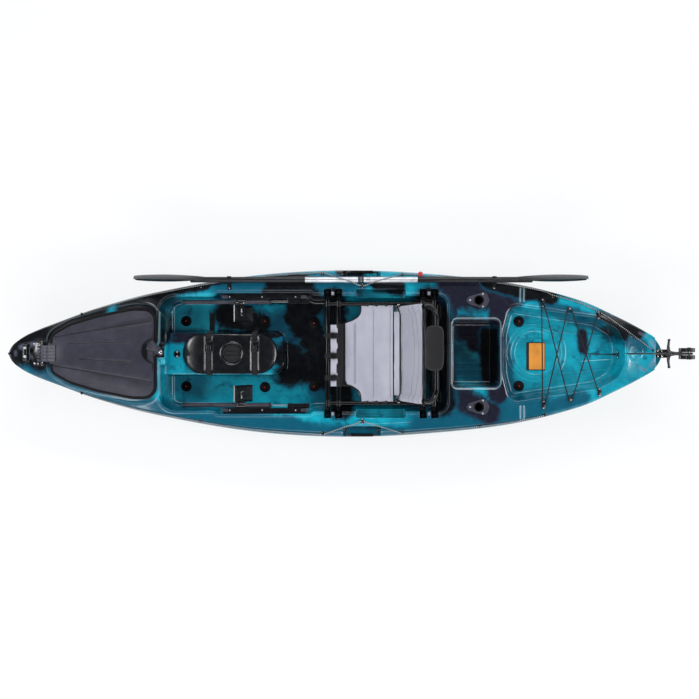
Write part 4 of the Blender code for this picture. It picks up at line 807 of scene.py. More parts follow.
def clothLook(name, colour, deep, along=700.0, across=700.0, sheen=0.25, roughness=0.85, depth=0.6, dust=0.04):
    # Woven cloth on the piece's UV map: threads, uneven dye and soft wear.
    look, tree, shader = newLook(name)
    threads, texture = placed(tree, "weave", Along=along, Across=across), placed(tree, "grain", Slow=9.0, Scale=260.0)
    dusty = placed(tree, "dust", Amount=dust)
    base = blended(tree, threads.outputs["Shade"], paint(deep), paint(colour))
    dyed = blended(tree, ranged(tree, texture.outputs["Tone"], 0.25, 0.8), tuple(c * 0.86 for c in paint(colour)[:3]) + (1,), base)
    tree.links.new(blended(tree, dusty.outputs["Mask"], dyed, paint("#B4B4B0")), shader.inputs["Base Color"])
    roughened(tree, shader, roughness, (dusty.outputs["Mask"],), 0.1)
    bumped(tree, shader, threads.outputs["Height"], depth, 0.0003)
    shader.inputs["Sheen Weight"].default_value = sheen
    return look


def padLook(name, colour, deep):
    # Knitted foam cover. It has no UV map, so its mesh follows the piece's own place in space.
    look, tree, shader = newLook(name)
    at = add(tree, "TexCoord").outputs["Object"]
    parts = add(tree, "SeparateXYZ", {0: at})
    waves = [calc(tree, "SINE", calc(tree, "MULTIPLY", parts.outputs[axis], 2 * math.pi * 420)) for axis in ("Y", "Z")]
    knit = ranged(tree, calc(tree, "MULTIPLY", *waves), -0.8, 0.8)
    texture = placed(tree, "grain", Slow=22.0, Scale=300.0)
    base = blended(tree, knit, paint(deep), paint(colour))
    toned = blended(tree, ranged(tree, texture.outputs["Tone"], 0.3, 0.75), tuple(c * 0.75 for c in paint(colour)[:3]) + (1,), base)
    tree.links.new(toned, shader.inputs["Base Color"])
    shader.inputs["Roughness"].default_value = 0.82
    shader.inputs["Sheen Weight"].default_value = 0.08
    bumped(tree, shader, knit, 0.35, 0.0003)
    return look


def cordLook(name, colour, fleck="#E4E8E8", flecks=0.0, dash=0.012, strands=260.0):
    look, tree, shader = newLook(name)
    braid, texture = placed(tree, "braid", Strands=strands, Flecks=flecks, Dash=dash), placed(tree, "grain", Slow=25.0)
    deep = tuple(c * 0.45 for c in paint(colour)[:3]) + (1,)
    base = blended(tree, braid.outputs["Height"], deep, paint(colour))
    toned = blended(tree, ranged(tree, texture.outputs["Tone"], 0.3, 0.75), deep, base)
    tree.links.new(blended(tree, braid.outputs["Fleck"], toned, paint(fleck)), shader.inputs["Base Color"])
    shader.inputs["Roughness"].default_value = 0.62
    bumped(tree, shader, braid.outputs["Height"], 0.6, 0.0003)
    return look


def marked(made, label, amount):
    # A value per vertex, for a look to read.
    layer = made.data.attributes.new(label, "FLOAT", "POINT")
    layer.data.foreach_set("value", np.asarray(amount, np.float32))


def vertices(made):
    found = np.empty(len(made.data.vertices) * 3)
    made.data.vertices.foreach_get("co", found)
    return found.reshape(-1, 3)


def hullLook():
    # Swirled hull plastic: bright and middle teal clouds, with ink patches whose edges the noise frays; some dark
    # patches are painted shade, and painted edge highlights and painted reflections lie on top.
    look, tree, shader = newLook("swirledHull")
    at = add(tree, "TexCoord").outputs["Object"]
    warp = add(tree, "TexNoise", {"Vector": at, "Scale": 5.0, "Detail": 3.0, "Roughness": 0.55})
    bent = add(tree, "VectorMath", {0: warp.outputs["Color"], 1: (0.22, 0.22, 0.22)}, operation="MULTIPLY")
    moved = add(tree, "VectorMath", {0: at, 1: bent.outputs[0]}, operation="ADD").outputs[0]
    clouds = add(tree, "TexNoise", {"Vector": moved, "Scale": 5.5, "Detail": 5.0, "Roughness": 0.58}).outputs["Fac"]
    wisps = add(tree, "TexNoise", {"Vector": moved, "Scale": 19.0, "Detail": 6.0, "Roughness": 0.65}).outputs["Fac"]
    teal = blended(tree, ranged(tree, clouds, 0.34, 0.60), paint("#00869E"), paint("#04A4BB"))
    teal = blended(tree, ranged(tree, wisps, 0.52, 0.74), teal, paint("#006A82"))

    # Ink patches and patches of painted shade alike, from per-vertex values, frayed by the noise.
    def ink(label, colour, under, low, high, fray):
        amount = add(tree, "Attribute", attribute_name=label).outputs["Fac"]
        frayed = calc(tree, "ADD", amount, calc(tree, "MULTIPLY", calc(tree, "SUBTRACT", wisps, 0.5), fray))
        frayed = calc(tree, "ADD", frayed, calc(tree, "MULTIPLY", calc(tree, "SUBTRACT", clouds, 0.5), fray * 0.8))
        smoke = calc(tree, "MULTIPLY", ranged(tree, frayed, low - 0.28, (low + high) / 2), 0.75)
        smoky = blended(tree, smoke, under, paint("#004E68"))
        return blended(tree, ranged(tree, frayed, low, high), smoky, paint(colour))

    shown = ink("inkNavyAndShade", "#00536B", teal, 0.28, 1.05, 1.3)
    shown = ink("inkPurpleAndShade", "#1B1B2C", shown, 0.36, 0.80, 0.9)
    shown = ink("inkDarkAndShade", "#05080F", shown, 0.38, 0.80, 0.9)
    dusty, rubbed = placed(tree, "dust", Amount=0.012), placed(tree, "scuffs", Amount=0.12, Scale=40.0)
    shown = blended(tree, rubbed.outputs["Mask"], shown, paint("#2E8FA0"))
    # Painted edge highlights and painted reflections, from per-vertex values.
    for label, colour in (("paintedReflection", "#8C93B0"), ("paintedEdgeHighlight", "#A4CBDA")):
        shown = blended(tree, add(tree, "Attribute", attribute_name=label).outputs["Fac"], shown, paint(colour))
    tree.links.new(blended(tree, dusty.outputs["Mask"], shown, paint("#9FB0B4")), shader.inputs["Base Color"])
    roughened(tree, shader, 0.24, (rubbed.outputs["Mask"], dusty.outputs["Mask"]), 0.4)
    texture = placed(tree, "grain", Scale=420.0)
    slow = add(tree, "TexNoise", {"Vector": at, "Scale": 55.0, "Detail": 1.0}).outputs["Fac"]
    height = calc(tree, "ADD", calc(tree, "MULTIPLY", texture.outputs["Height"], 0.25), calc(tree, "MULTIPLY", slow, 1.6))
    bumped(tree, shader, height, 0.28, 0.0006)
    shader.inputs["Coat Weight"].default_value = 0.25
    shader.inputs["Coat Roughness"].default_value = 0.08
    return look


looks = {
    "hull": hullLook(),
    "black": moulded("glossBlackPlastic", "#0D0F15", roughness=0.26, grain=700.0, depth=0.10, coat=0.35),
    "matt": moulded("mattBlackPlastic", "#14151B", roughness=0.48, grain=900.0, depth=0.30),
    # The lid and grip looks darken to a painted shade colour in grooves and gaps.
    "lid": moulded("greyLidPlastic", "#2F2F3E", "#434354", 0.46, 700.0, 0.45, scuffs=0.35, dust=0.02, specular=0.4, shade="#08080F"),
    "rubber": moulded("blackRubber", "#07080D", "#1B1C22", 0.60, 500.0, 0.45, scuffs=0.2, dust=0.008, specular=0.2),
    "grip": moulded("ribbedGreyGrip", "#3A3A49", "#55556A", 0.42, 800.0, 0.4, shade="#07070C"),
    "zinc": moulded("paleScrewHeads", "#D4D7DD", "#F0F2F4", 0.30, 900.0, 0.1, metallic=0.35, dust=0.0),
    "tube": metalLook("blackTube", "#0B0C10", 0.16, 0.12, metallic=0.35, scuffs=0.25),
    "greyTube": metalLook("greyTube", "#4A4A54", 0.34, 0.35, metallic=0.75),
    "silver": metalLook("silverShaft", "#E6E8EE", 0.30, 0.5, metallic=0.55, scuffs=0.3),
    "carbon": metalLook("darkShaft", "#15161E", 0.34, 0.4, metallic=0.15),
    "steel": metalLook("brightSteel", "#D8DADC", 0.16, 0.15),
    "dullSteel": metalLook("dullSteel", "#9A9CA0", 0.30, 0.3),
    "blade": moulded("paddleBlade", "#12131A", "#35363E", 0.36, 260.0, 0.18, scuffs=0.5),
    "red": moulded("redKnobPlastic", "#D2222C", "#E86A60", 0.28, 700.0, 0.12, dust=0.02, coat=0.4),
    "orange": moulded("orangePlate", "#EE9A34", "#F7BE74", 0.42, 600.0, 0.25, dust=0.03),
    "webbing": clothLook("blackWebbing", "#101017", "#050508", 900.0, 520.0, sheen=0.04, depth=0.9, dust=0.01),
    "sling": clothLook("paleSlingCloth", "#BEBECC", "#8E8EA0", 620.0, 620.0, sheen=0.2, roughness=0.7, depth=0.35),
    "binding": clothLook("blackBinding", "#131318", "#060608", 1300.0, 700.0, sheen=0.04, depth=0.8, dust=0.01),
    "pad": padLook("charcoalPadCover", "#0B0B14", "#050509"),
    "thread": moulded("greyThread", "#8E8E9C", "#B0B0BC", 0.8, 1500.0, 0.5),
    "shockCord": cordLook("shockCord", "#121318", flecks=0.0),
    "deckLine": cordLook("reflectiveDeckLine", "#101116", flecks=0.75, dash=0.0095),
}
print("finishes made")


# Hull: one moulded shell, with the same wells and ledges as the frame's

hull["relief"] = 0.6  # share of a ridge's full height
hull["inkStrokes"] = {  # (x0, y0, x1, y1, half width): where the plastic runs to another colour, and painted shade under and beside the seat, beside the console and inside the box well
    "inkDarkAndShade": (
        (-1.60, 0.030, -1.455, 0.012, 0.080), (-1.56, 0.035, -1.185, 0.222, 0.050), (-1.40, 0.05, -1.33, 0.105, 0.03),
        (-1.010, 0.238, -0.860, 0.300, 0.060), (-0.87, 0.318, -0.66, 0.352, 0.030), (-0.905, 0.25, -0.872, 0.09, 0.030),
        (-0.67, 0.355, -0.50, 0.374, 0.014), (-0.30, 0.335, -0.16, 0.345, 0.040), (-0.200, 0.325, -0.125, 0.25, 0.050),
        (-0.570, 0.200, -0.420, 0.150, 0.055), (-0.200, 0.204, -0.110, 0.040, 0.065), (-0.250, -0.015, -0.095, -0.110, 0.068),
        (-0.245, -0.10, -0.12, -0.015, 0.06), (0.44, 0.27, 0.53, 0.10, 0.05), (0.50, 0.05, 0.525, -0.25, 0.045),
        (0.012, 0.404, 0.110, 0.404, 0.012), (0.19, 0.341, 0.300, 0.326, 0.020), (0.74, 0.345, 1.05, 0.272, 0.022),
        (1.30, 0.185, 1.47, 0.100, 0.018), (1.34, 0.130, 1.40, 0.090, 0.016), (-0.33, 0.29, -0.20, 0.285, 0.03), (-0.02, 0.26, 0.02, -0.26, 0.05), (0.76, 0.10, 0.765, -0.12, 0.025),
        (0.06, 0.0, 0.36, 0.0, 0.16), (-0.60, 0.10, -0.30, 0.095, 0.010), (-1.36, 0.19, -1.22, 0.235, 0.02),
    ),
    "inkPurpleAndShade": (
        (0.550, 0.300, 0.800, 0.270, 0.070), (0.780, 0.27, 0.785, -0.20, 0.038), (0.575, -0.215, 0.745, -0.290, 0.045),
        (1.225, 0.100, 1.228, 0.020, 0.013), (0.545, 0.25, 0.56, -0.20, 0.03),
        (-0.84, 0.085, -0.70, 0.08, 0.022), (0.61, 0.13, 0.74, 0.11, 0.05), (0.69, 0.05, 0.74, 0.04, 0.025),
    ),
    "inkNavyAndShade": (
        (-1.42, -0.10, -0.95, -0.265, 0.040), (-0.95, -0.26, -0.60, -0.330, 0.028), (-0.60, -0.335, 0.02, -0.398, 0.032),
        (0.42, -0.34, 1.00, -0.262, 0.055), (1.00, -0.27, 1.20, -0.220, 0.022), (0.02, -0.40, 0.55, -0.385, 0.022),
        (1.02, 0.235, 1.335, 0.135, 0.018), (1.36, 0.10, 1.48, 0.04, 0.020), (0.45, -0.30, 0.55, 0.0, 0.07),
        (-0.55, 0.30, -0.35, 0.32, 0.05), (-0.10, -0.20, 0.0, -0.26, 0.04), (-0.11, 0.33, 0.10, 0.345, 0.035),
        (-0.60, -0.30, -0.20, -0.35, 0.02), (0.8, 0.22, 0.86, -0.2, 0.02), 
        (-0.30, 0.10, -0.12, 0.22, 0.09), (0.62, -0.05, 0.76, -0.12, 0.04), (-1.55, -0.02, -1.40, -0.07, 0.04),
    ),
}

hull["sheen"] = (  # (x0, y0, x1, y1, half width, strength): painted reflection, a pale patch on the bow's plateau and the stern's ledges
    (-1.530, 0.032, -1.465, 0.046, 0.022, 0.42), (-1.488, -0.012, -1.468, -0.024, 0.018, 0.32),
    (-1.556, 0.010, -1.556, -0.006, 0.012, 0.25), (1.532, 0.058, 1.552, 0.030, 0.020, 0.42),
    (1.532, -0.056, 1.552, -0.026, 0.020, 0.42), (1.478, 0.100, 1.506, 0.086, 0.013, 0.35),
    (1.478, -0.072, 1.506, -0.080, 0.016, 0.40),
)

lidLine = mirrored(((-1.388, 0.094, 0.050), (-1.300, 0.148, 0.12), (-1.165, 0.190, 0.30), (-1.000, 0.224, 0.20), (-0.880, 0.222, 0.065)))
podLine = mirrored(((-0.7745, 0.1015, 0.098), (-0.3025, 0.1015, 0.098)))


def arcLine(x, y, radius, start, end, count=40, flat=1.0):
    angle = np.radians(np.linspace(start, end, count))
    return np.c_[x + radius * np.cos(angle), y + radius * flat * np.sin(angle)]


def ridge(points, half, height, closed=False, pale=0.0):
    # pale is the share of a painted highlight along the ridge's crest.
    line = np.asarray(points, float)
    ridges.append((np.vstack([line, line[:1]]) if closed else line, half, height * hull["relief"], pale))


def layRidges():
    for radius, half, height in ((0.108, 0.0045, 0.0026), (0.127, 0.0040, 0.0022), (0.147, 0.0050, 0.0026)):
        ridge(arcLine(0.9914, 0.003, radius, 0, 359.9, 72), half, height)
    ridge(arcLine(1.4517, 0.0054, 0.034, 0, 359.9, 36), 0.004, 0.0030)
    for sign in (1, -1):
        for x in (0.896, 0.914):
            ridge([(x, sign * 0.258), (x + 0.002, sign * 0.325)], 0.0065, 0.0042, pale=0.5)
        ridge([(-0.836, sign * 0.118), (-0.836, sign * 0.235)], 0.004, 0.003, pale=0.9)
        ridge([(-0.8725, sign * 0.045), (-0.8725, sign * 0.205)], 0.003, 0.002, pale=0.75)
        for x in (-0.115, -0.098):
            ridge([(x, sign * 0.15), (x, sign * 0.245)], 0.005, 0.0010)
        ridge([(0.07, sign * 0.345), (0.36, sign * 0.335)], 0.004, 0.0022)
    ridge(roundLine(wells["boxWell"][0], 0.010), 0.0050, 0.0034, True, 0.40)  # raised lip round the box well, with a painted highlight
    ridge(roundLine(wells["tankWell"][0], 0.012), 0.0060, 0.0026, True)
    ridge(roundLine(lidLine, 0.020), 0.0042, 0.0030, True, 0.12)
    ridge(roundLine(wells["cockpit"][0], 0.012), 0.0050, 0.0022, True, 0.08)
    tray = ((0.918, 0.150), (0.99, 0.145), (1.045, 0.118), (1.09, 0.108), (1.20, 0.098), (1.335, 0.091))
    ridge(tray, 0.0050, 0.0030)
    ridge([(1.216, -0.041), (1.368, -0.031)], 0.006, 0.0035)
    ridge([(1.10, -0.105), (1.20, -0.098), (1.33, -0.085)], 0.0050, 0.0028)
    for y in (-0.052, -0.085, -0.118):
        ridge([(0.60, y), (0.735, y)], 0.0055, 0.0020)
    for y in (0.03, 0.06, 0.09):
        ridge([(0.60, y), (0.71, y)], 0.0055, 0.0020)
    for x in (-0.235, -0.205, -0.175, -0.145):
        ridge([(x, -0.135), (x, -0.015)], 0.0060, 0.0014)
    ridge([(-0.262, -0.150), (-0.095, -0.150), (-0.095, 0.0), (-0.262, 0.0)], 0.008, 0.0014, True)
    boss = ((-0.874, -0.022), (-0.846, -0.022), (-0.846, -0.052), (-0.874, -0.052))
    ridge(boss, 0.005, 0.0035, True)


layRidges()
mouths = {"hatchMouth": (lidLine, 0.030), "podMouth": (podLine, 0.024)}  # outline, how deep its lip runs
scuppers = (
    ("fore_starboard", -0.774, 0.165, 0.090), ("fore_port", -0.774, -0.168, 0.090),
    ("mid_starboard", -0.373, 0.165, 0.090), ("mid_port", -0.373, -0.172, 0.090),
    ("aft_starboard", -0.122, 0.154, 0.090), ("aft_port", -0.122, -0.168, 0.090),
    ("tank_starboard", 0.906, 0.160, 0.200), ("tank_port", 0.906, -0.162, 0.200),
)
rodHolder = {"x": 0.693, "y": 0.262, "lean": math.radians(15), "tube": 0.0240, "bore": 0.0212, "depth": 0.205}


def hullColumns():
    # Stations along the boat, closer at the ends and wherever a ledge or notch ends.
    tight = np.array([-1.592, -1.590, -1.587, -1.583, -1.578, 0.0262, 0.0268, 0.0274, 0.2126, 0.2132, 0.2138, 1.5530, 1.5535, 1.5545, 1.586, 1.591, 1.595, 1.598, 1.600])
    even = np.arange(-1.573, 1.582, 0.0079)
    even = even[np.abs(even[:, None] - tight).min(1) > 0.0030]
    return np.sort(np.r_[tight, even])


def sectionAt(x, count=(2, 2, 3, 3, 3, 3, 3, 3)):
    # The side from 0.60 of the half beam up to the deck's edge, a smooth curve through the boat's own points.
    b, top, low = halfBeam(x), sheer(x), keel(x)
    side = top - hull["roll"] - low
    chine = 0.07 * (1 - smoothStep(0.9, 1.35, np.abs(x)))
    shares = [0.49, 0.60, 0.74, 0.87, 0.955, 0.99, 1.0, 0.995, 0.975, 0.93]
    heights = [low + side * chine] + [low + side * s for s in (0.012, 0.035, 0.16, 0.42, 0.74, 1.0)]
    heights += [top - 0.030, top - 0.010, top + 0 * x]
    control = np.stack([np.stack([b * s, h + 0 * x], -1) for s, h in zip(shares, heights)], 1)
    control = np.concatenate([control, 2 * control[:, -1:] - control[:, -2:-1]], 1)
    rows = []
    for k, parts in enumerate(count):
        p0, p1, p2, p3 = (control[:, k + j] for j in range(4))
        for t in np.arange(parts) / parts:
            rows.append(0.5 * (2 * p1 + (p2 - p0) * t + (2 * p0 - 5 * p1 + 4 * p2 - p3) * t**2 + (3 * p1 - p0 - 3 * p2 + p3) * t**3))
    rows.append(control[:, -2])
    found = np.stack(rows, 1)
    found[..., 0] = np.minimum(found[..., 0], b[:, None])
    return found


def bottomHeight(x, y):
    # Shallow keel channels between the flat middle and the sides.
    b, low = halfBeam(x), keel(x)
    side = sheer(x) - hull["roll"] - low
    chine = 0.07 * (1 - smoothStep(0.9, 1.35, np.abs(x)))
    t = np.abs(y) / np.maximum(b, 1e-6)
    share = chine * np.clip((t - 0.30) / 0.085, 0, 1)
    share = np.where(t > 0.49, chine + (0.012 - chine) * np.clip((t - 0.49) / 0.11, 0, 1), share)
    return low + side * share


def welded(parts):
    # Several point and triangle sets as one, with points that coincide made one.
    points = np.vstack([p for p, _ in parts])
    shift = np.cumsum([0] + [len(p) for p, _ in parts[:-1]])
    triangles = np.vstack([t + s for (_, t), s in zip(parts, shift)])
    keys = np.round(points / 2e-5).astype(np.int64)
    _, first, inverse = np.unique(keys, axis=0, return_index=True, return_inverse=True)
    triangles = inverse.ravel()[triangles]
    whole = (triangles[:, 0] != triangles[:, 1]) & (triangles[:, 1] != triangles[:, 2]) & (triangles[:, 0] != triangles[:, 2])
    return points[first], triangles[whole]


def gridTriangles(rows, columns):
    i, j = np.meshgrid(np.arange(rows - 1), np.arange(columns - 1), indexing="ij")
    a, b, c, d = (i * columns + j).ravel(), (i * columns + j + 1).ravel(), ((i + 1) * columns + j + 1).ravel(), ((i + 1) * columns + j).ravel()
    return np.vstack([np.c_[a, b, c], np.c_[a, c, d]])


def facing(points, triangles, way):
    # Turns each triangle of a nearly flat sheet so that it faces along a direction.
    a, b, c = points[triangles[:, 0]], points[triangles[:, 1]], points[triangles[:, 2]]
    wrong = np.cross(b - a, c - a) @ np.array(way, float) < 0
    triangles = triangles.copy()
    triangles[wrong] = triangles[wrong][:, ::-1]
    return triangles


def sheetOf(border, lines, openLines, spacing, insideY, holes, height, way):
    low, high = border.min(0), border.max(0)
    flat, triangles = tiled([border], lines, openLines, spacing, low, high)
    middle = flat[triangles].mean(1)
    keep = np.abs(middle[:, 1]) < np.interp(middle[:, 0], *insideY)
    for hole in holes:
        keep &= depthIn(middle, hole) > 0
    flat, triangles = usedOnly(flat, triangles[keep])
    points = np.c_[flat, height(flat)]
    return points, facing(points, triangles, way)


def makeHull():
    x = hullColumns()
    section = sectionAt(x)
    section[0, :, 0] = section[-1, :, 0] = 0.0
    edge, chineLine = section[:, -1, 0], section[:, 0, 0]
    border = np.vstack([np.c_[x, edge], np.c_[x[-2:0:-1], -edge[-2:0:-1]]])
    loops, openLines = [], []
    for name, (corners, floor, rim, slope, foot) in wells.items():
        if name == "sternLedge":
            openLines += [np.array([(1.5535 - d, -0.06), (1.5535 - d, 0.06)]) for d in (rim, rim * 0.4, 0.0, -slope, -slope - foot)]
            continue
        for by in wellLevels(rim, slope, foot):
            loop = roundLine(corners, by)
            if name.startswith("notch"):
                limit = np.interp(loop[:, 0], x, edge)
                inner = np.abs(loop[:, 1]) < limit
                start = int(np.argmax(~inner))
                rolled, inner = np.roll(loop, -start, 0), np.roll(inner, -start)
                openLines.append(rolled[np.r_[False, inner[1:]] | inner])
            else:
                loops.append(loop)
    for corners, top, rim, lean, foot in islands.values():
        for by in (-rim, -rim * 0.5, 0.0, lean, lean + foot * 0.3, lean + foot):
            line = roundLine(corners, by)
            kept = line[line[:, 0] > -0.872]
            openLines.append(kept)
    for line, half, height, _ in ridges:
        along = unit(np.gradient(line, axis=0))
        across = np.c_[-along[:, 1], along[:, 0]]
        for by in (-half, -half * 0.5, 0.0, half * 0.5, half):
            openLines.append(line + across * by)
    mouthLines = {name: roundLine(line, -0.034) for name, (line, _) in mouths.items()}
    loops += list(mouthLines.values())
    rodLines = []
    for side in (1, -1):
        angle = np.linspace(0, 2 * math.pi, 48, endpoint=False)
        wide = (rodHolder["tube"] + 0.0004) / math.cos(rodHolder["lean"])
        rodLines.append(np.c_[rodHolder["x"] + wide * np.cos(angle), side * rodHolder["y"] - (rodHolder["tube"] + 0.0004) * np.sin(angle)])
    loops += rodLines
    scupperLines = [arcLine(px, py, 0.018, 0, -345, 24) for _, px, py, _ in scuppers]
    loops += scupperLines
    deckPart = sheetOf(border, loops, openLines, hull["spacing"], (x, edge), list(mouthLines.values()) + rodLines + scupperLines, topSurface, (0, 0, 1))

    keelBorder = np.vstack([np.c_[x, chineLine], np.c_[x[-2:0:-1], -chineLine[-2:0:-1]]])
    channels = [np.c_[x[3:-3], side * share * halfBeam(x[3:-3])] for side in (1, -1) for share in (0.30, 0.385, 0.49)]
    under = sheetOf(keelBorder, scupperLines, channels, 0.014, (x, chineLine), scupperLines, lambda p: bottomHeight(p[:, 0], p[:, 1]), (0, 0, -1))
    parts = [deckPart, under]
    for side in (1, -1):
        points = np.stack([np.repeat(x[:, None], section.shape[1], 1), side * section[..., 0], section[..., 1]], -1)
        cap = topSurface(points[..., :2].reshape(-1, 2), False).reshape(points.shape[:2])
        points[..., 2] = np.minimum(points[..., 2], cap)
        points[:, -1, 2] = topSurface(points[:, -1, :2])
        triangles = gridTriangles(*points.shape[:2])
        parts.append((points.reshape(-1, 3), triangles[:, ::-1] if side > 0 else triangles))
    for name, (_, deep) in mouths.items():
        line = resample(mouthLines[name], hull["spacing"] * 0.9)
        top = topSurface(line)
        rings = np.stack([np.c_[line, top - fall] for fall in (0.0, deep * 0.5, deep)], 0)
        closed = np.concatenate([rings, rings[:, :1]], 1)
        parts.append((closed.reshape(-1, 3), gridTriangles(*closed.shape[:2])))
    for (_, px, py, _), line in zip(scuppers, scupperLines):
        line = resample(line, hull["spacing"] * 0.9)
        top, low = topSurface(line), bottomHeight(line[:, 0], line[:, 1])
        line2 = np.vstack([line, line[:1]])
        rings = np.stack([np.c_[line2, np.r_[z, z[:1]]] for z in (top, top * 0.5 + low * 0.5, low)], 0)
        parts.append((rings.reshape(-1, 3), gridTriangles(*rings.shape[:2])))
    points, triangles = welded(parts)
    print("hull", len(points), "points", len(triangles), "triangles")
    made = keepPiece("hull_shell_dressed", points, triangles.tolist(), looks["hull"], "hull", "hull_shell", sharp=38)
    # Ink patches as values per vertex; some of them are painted shade under and beside the seat, beside the console and
    # in the box well.
    for label, strokes in hull["inkStrokes"].items():
        amount = np.zeros(len(points))
        for x0, y0, x1, y1, half in strokes:
            line = np.array([(x0, y0), (x1, y1)])
            reach = 1.9 * half + 0.022
            some = np.all((points[:, :2] > line.min(0) - reach) & (points[:, :2] < line.max(0) + reach), axis=1)
            gap = distanceTo(points[some, :2], line, False)
            amount[some] = np.maximum(amount[some], 1 - smoothStep(0.0, 1.0, (gap - half * 0.3) / (reach - half * 0.3)))
        low = smoothStep(-0.03, -0.15, points[:, 2] - sheer(points[:, 0]))
        outside = smoothStep(0.88, 0.95, np.abs(points[:, 1]) / np.maximum(halfBeam(points[:, 0]), 0.001))
        amount *= 1 - 0.7 * low * outside  # the sides stay calmer
        marked(made, label, amount)
    # Painted highlight along the crests of the ridges that have a pale share.
    pale = np.zeros(len(points))
    for line, half, height, share in ridges:
        if share:
            some = np.all((points[:, :2] > line.min(0) - 0.01) & (points[:, :2] < line.max(0) + 0.01), axis=1)
            gap = distanceTo(points[some, :2], line, False)
            pale[some] = np.maximum(pale[some], share * (1 - smoothStep(half * 0.25, half * 0.7, gap)))
    marked(made, "paintedEdgeHighlight", pale)
    # Painted reflection on the bow's plateau and the stern's ledges.
    sheen = np.zeros(len(points))
    for x0, y0, x1, y1, half, share in hull["sheen"]:
        gap = distanceTo(points[:, :2], np.array([(x0, y0), (x1, y1)]), False)
        sheen = np.maximum(sheen, share * (1 - smoothStep(0.0, half, gap)))
    marked(made, "paintedReflection", np.where(points[:, 2] > 0.2, sheen, 0))
    return made


makeHull()
print("hull made")


def onDeck(x, y):
    return deckTop(np.asarray(x, float), np.asarray(y, float))


def overDeck(points, rise):
    # (x, y) places lifted onto the boat's upper side, wells and ridges included.
    flat = np.asarray(points, float)
    return np.c_[flat, topSurface(flat) + rise]


def screwsOn(places, radius=0.004, rise=0.0016, lift=0.0):
    return [screw((x, y, float(topSurface(np.array([[x, y]]))[0]) + lift), (0, 0, 1), radius, rise) for x, y in places]


# Bow hatch

hatch = {
    "grooves": (  # x0, y0, x1, y1, half width, height
        (-1.364, 0.081, -0.911, 0.160, 0.0068, -0.0052), (-1.378, -0.056, -0.911, -0.139, 0.0068, -0.0052),
        (-1.288, 0.0485, -1.014, 0.0592, 0.0046, -0.0036), (-1.241, -0.0264, -0.993, -0.0411, 0.0046, -0.0036),
    ),
    "pocket": (-0.8865, 0.013, 0.0635, 0.3548),  # middle, radius, floor
    "rimWidth": 0.013,
    "rise": 0.0220,
    "drop": 0.0030,
    "dome": ((-1.39, -1.30, -1.20, -1.10, -1.00, -0.88), (0.0, 0.0008, 0.0040, 0.0040, 0.0020, 0.0)),
    "leverBars": (128.5, 137.5, 146.5, 155.5, 164.0),
    "pivot": (-0.859, 0.006),
    "tongueTop": 0.3545,
    "hingeX": -1.424,
}


def lidHeight(points, rise):
    depth = np.clip(-depthIn(points, roundLine(lidLine), 0.3), 0, 0.06) / 0.06
    dome = np.interp(points[:, 0], *hatch["dome"])
    z = onDeck(points[:, 0], points[:, 1]) + rise + dome * depth - hatch["drop"] * (1 - depth) ** 2
    for x0, y0, x1, y1, half, height in hatch["grooves"]:
        line = np.array([(x0, y0), (x1, y1)])
        share = np.clip((points[:, 0] - x0) / (x1 - x0), 0, 1)
        gap = distanceTo(points, line, False) / (half * (0.55 + 0.9 * share))
        z += height * (0.6 + 0.4 * share) * np.cos(np.clip(gap, 0, 1) * math.pi / 2) ** 2
    x, y, radius, floor = hatch["pocket"]
    far = np.hypot(points[:, 0] - x, points[:, 1] - y)
    return np.where(far < radius, np.minimum(z, floor + (z - floor) * smoothStep(radius - 0.007, radius, far)), z)


def flatPart(border, height, way, spacing, lines=(), openLines=(), holes=()):
    # A sheet over a closed border, as a part, with evenly spread points so that it can follow a curved height.
    low, high = border.min(0), border.max(0)
    flat, triangles = tiled([border], list(lines) + list(holes), list(openLines), spacing, low, high)
    middle = flat[triangles].mean(1)
    keep = depthIn(middle, border, 2.0) < 0
    for hole in holes:
        keep &= depthIn(middle, hole) > 0
    flat, triangles = usedOnly(flat, triangles[keep])
    points = np.c_[flat, height(flat)]
    faces = facing(points, triangles, way)
    return points, faces.tolist(), points[faces][:, :, :2].tolist()


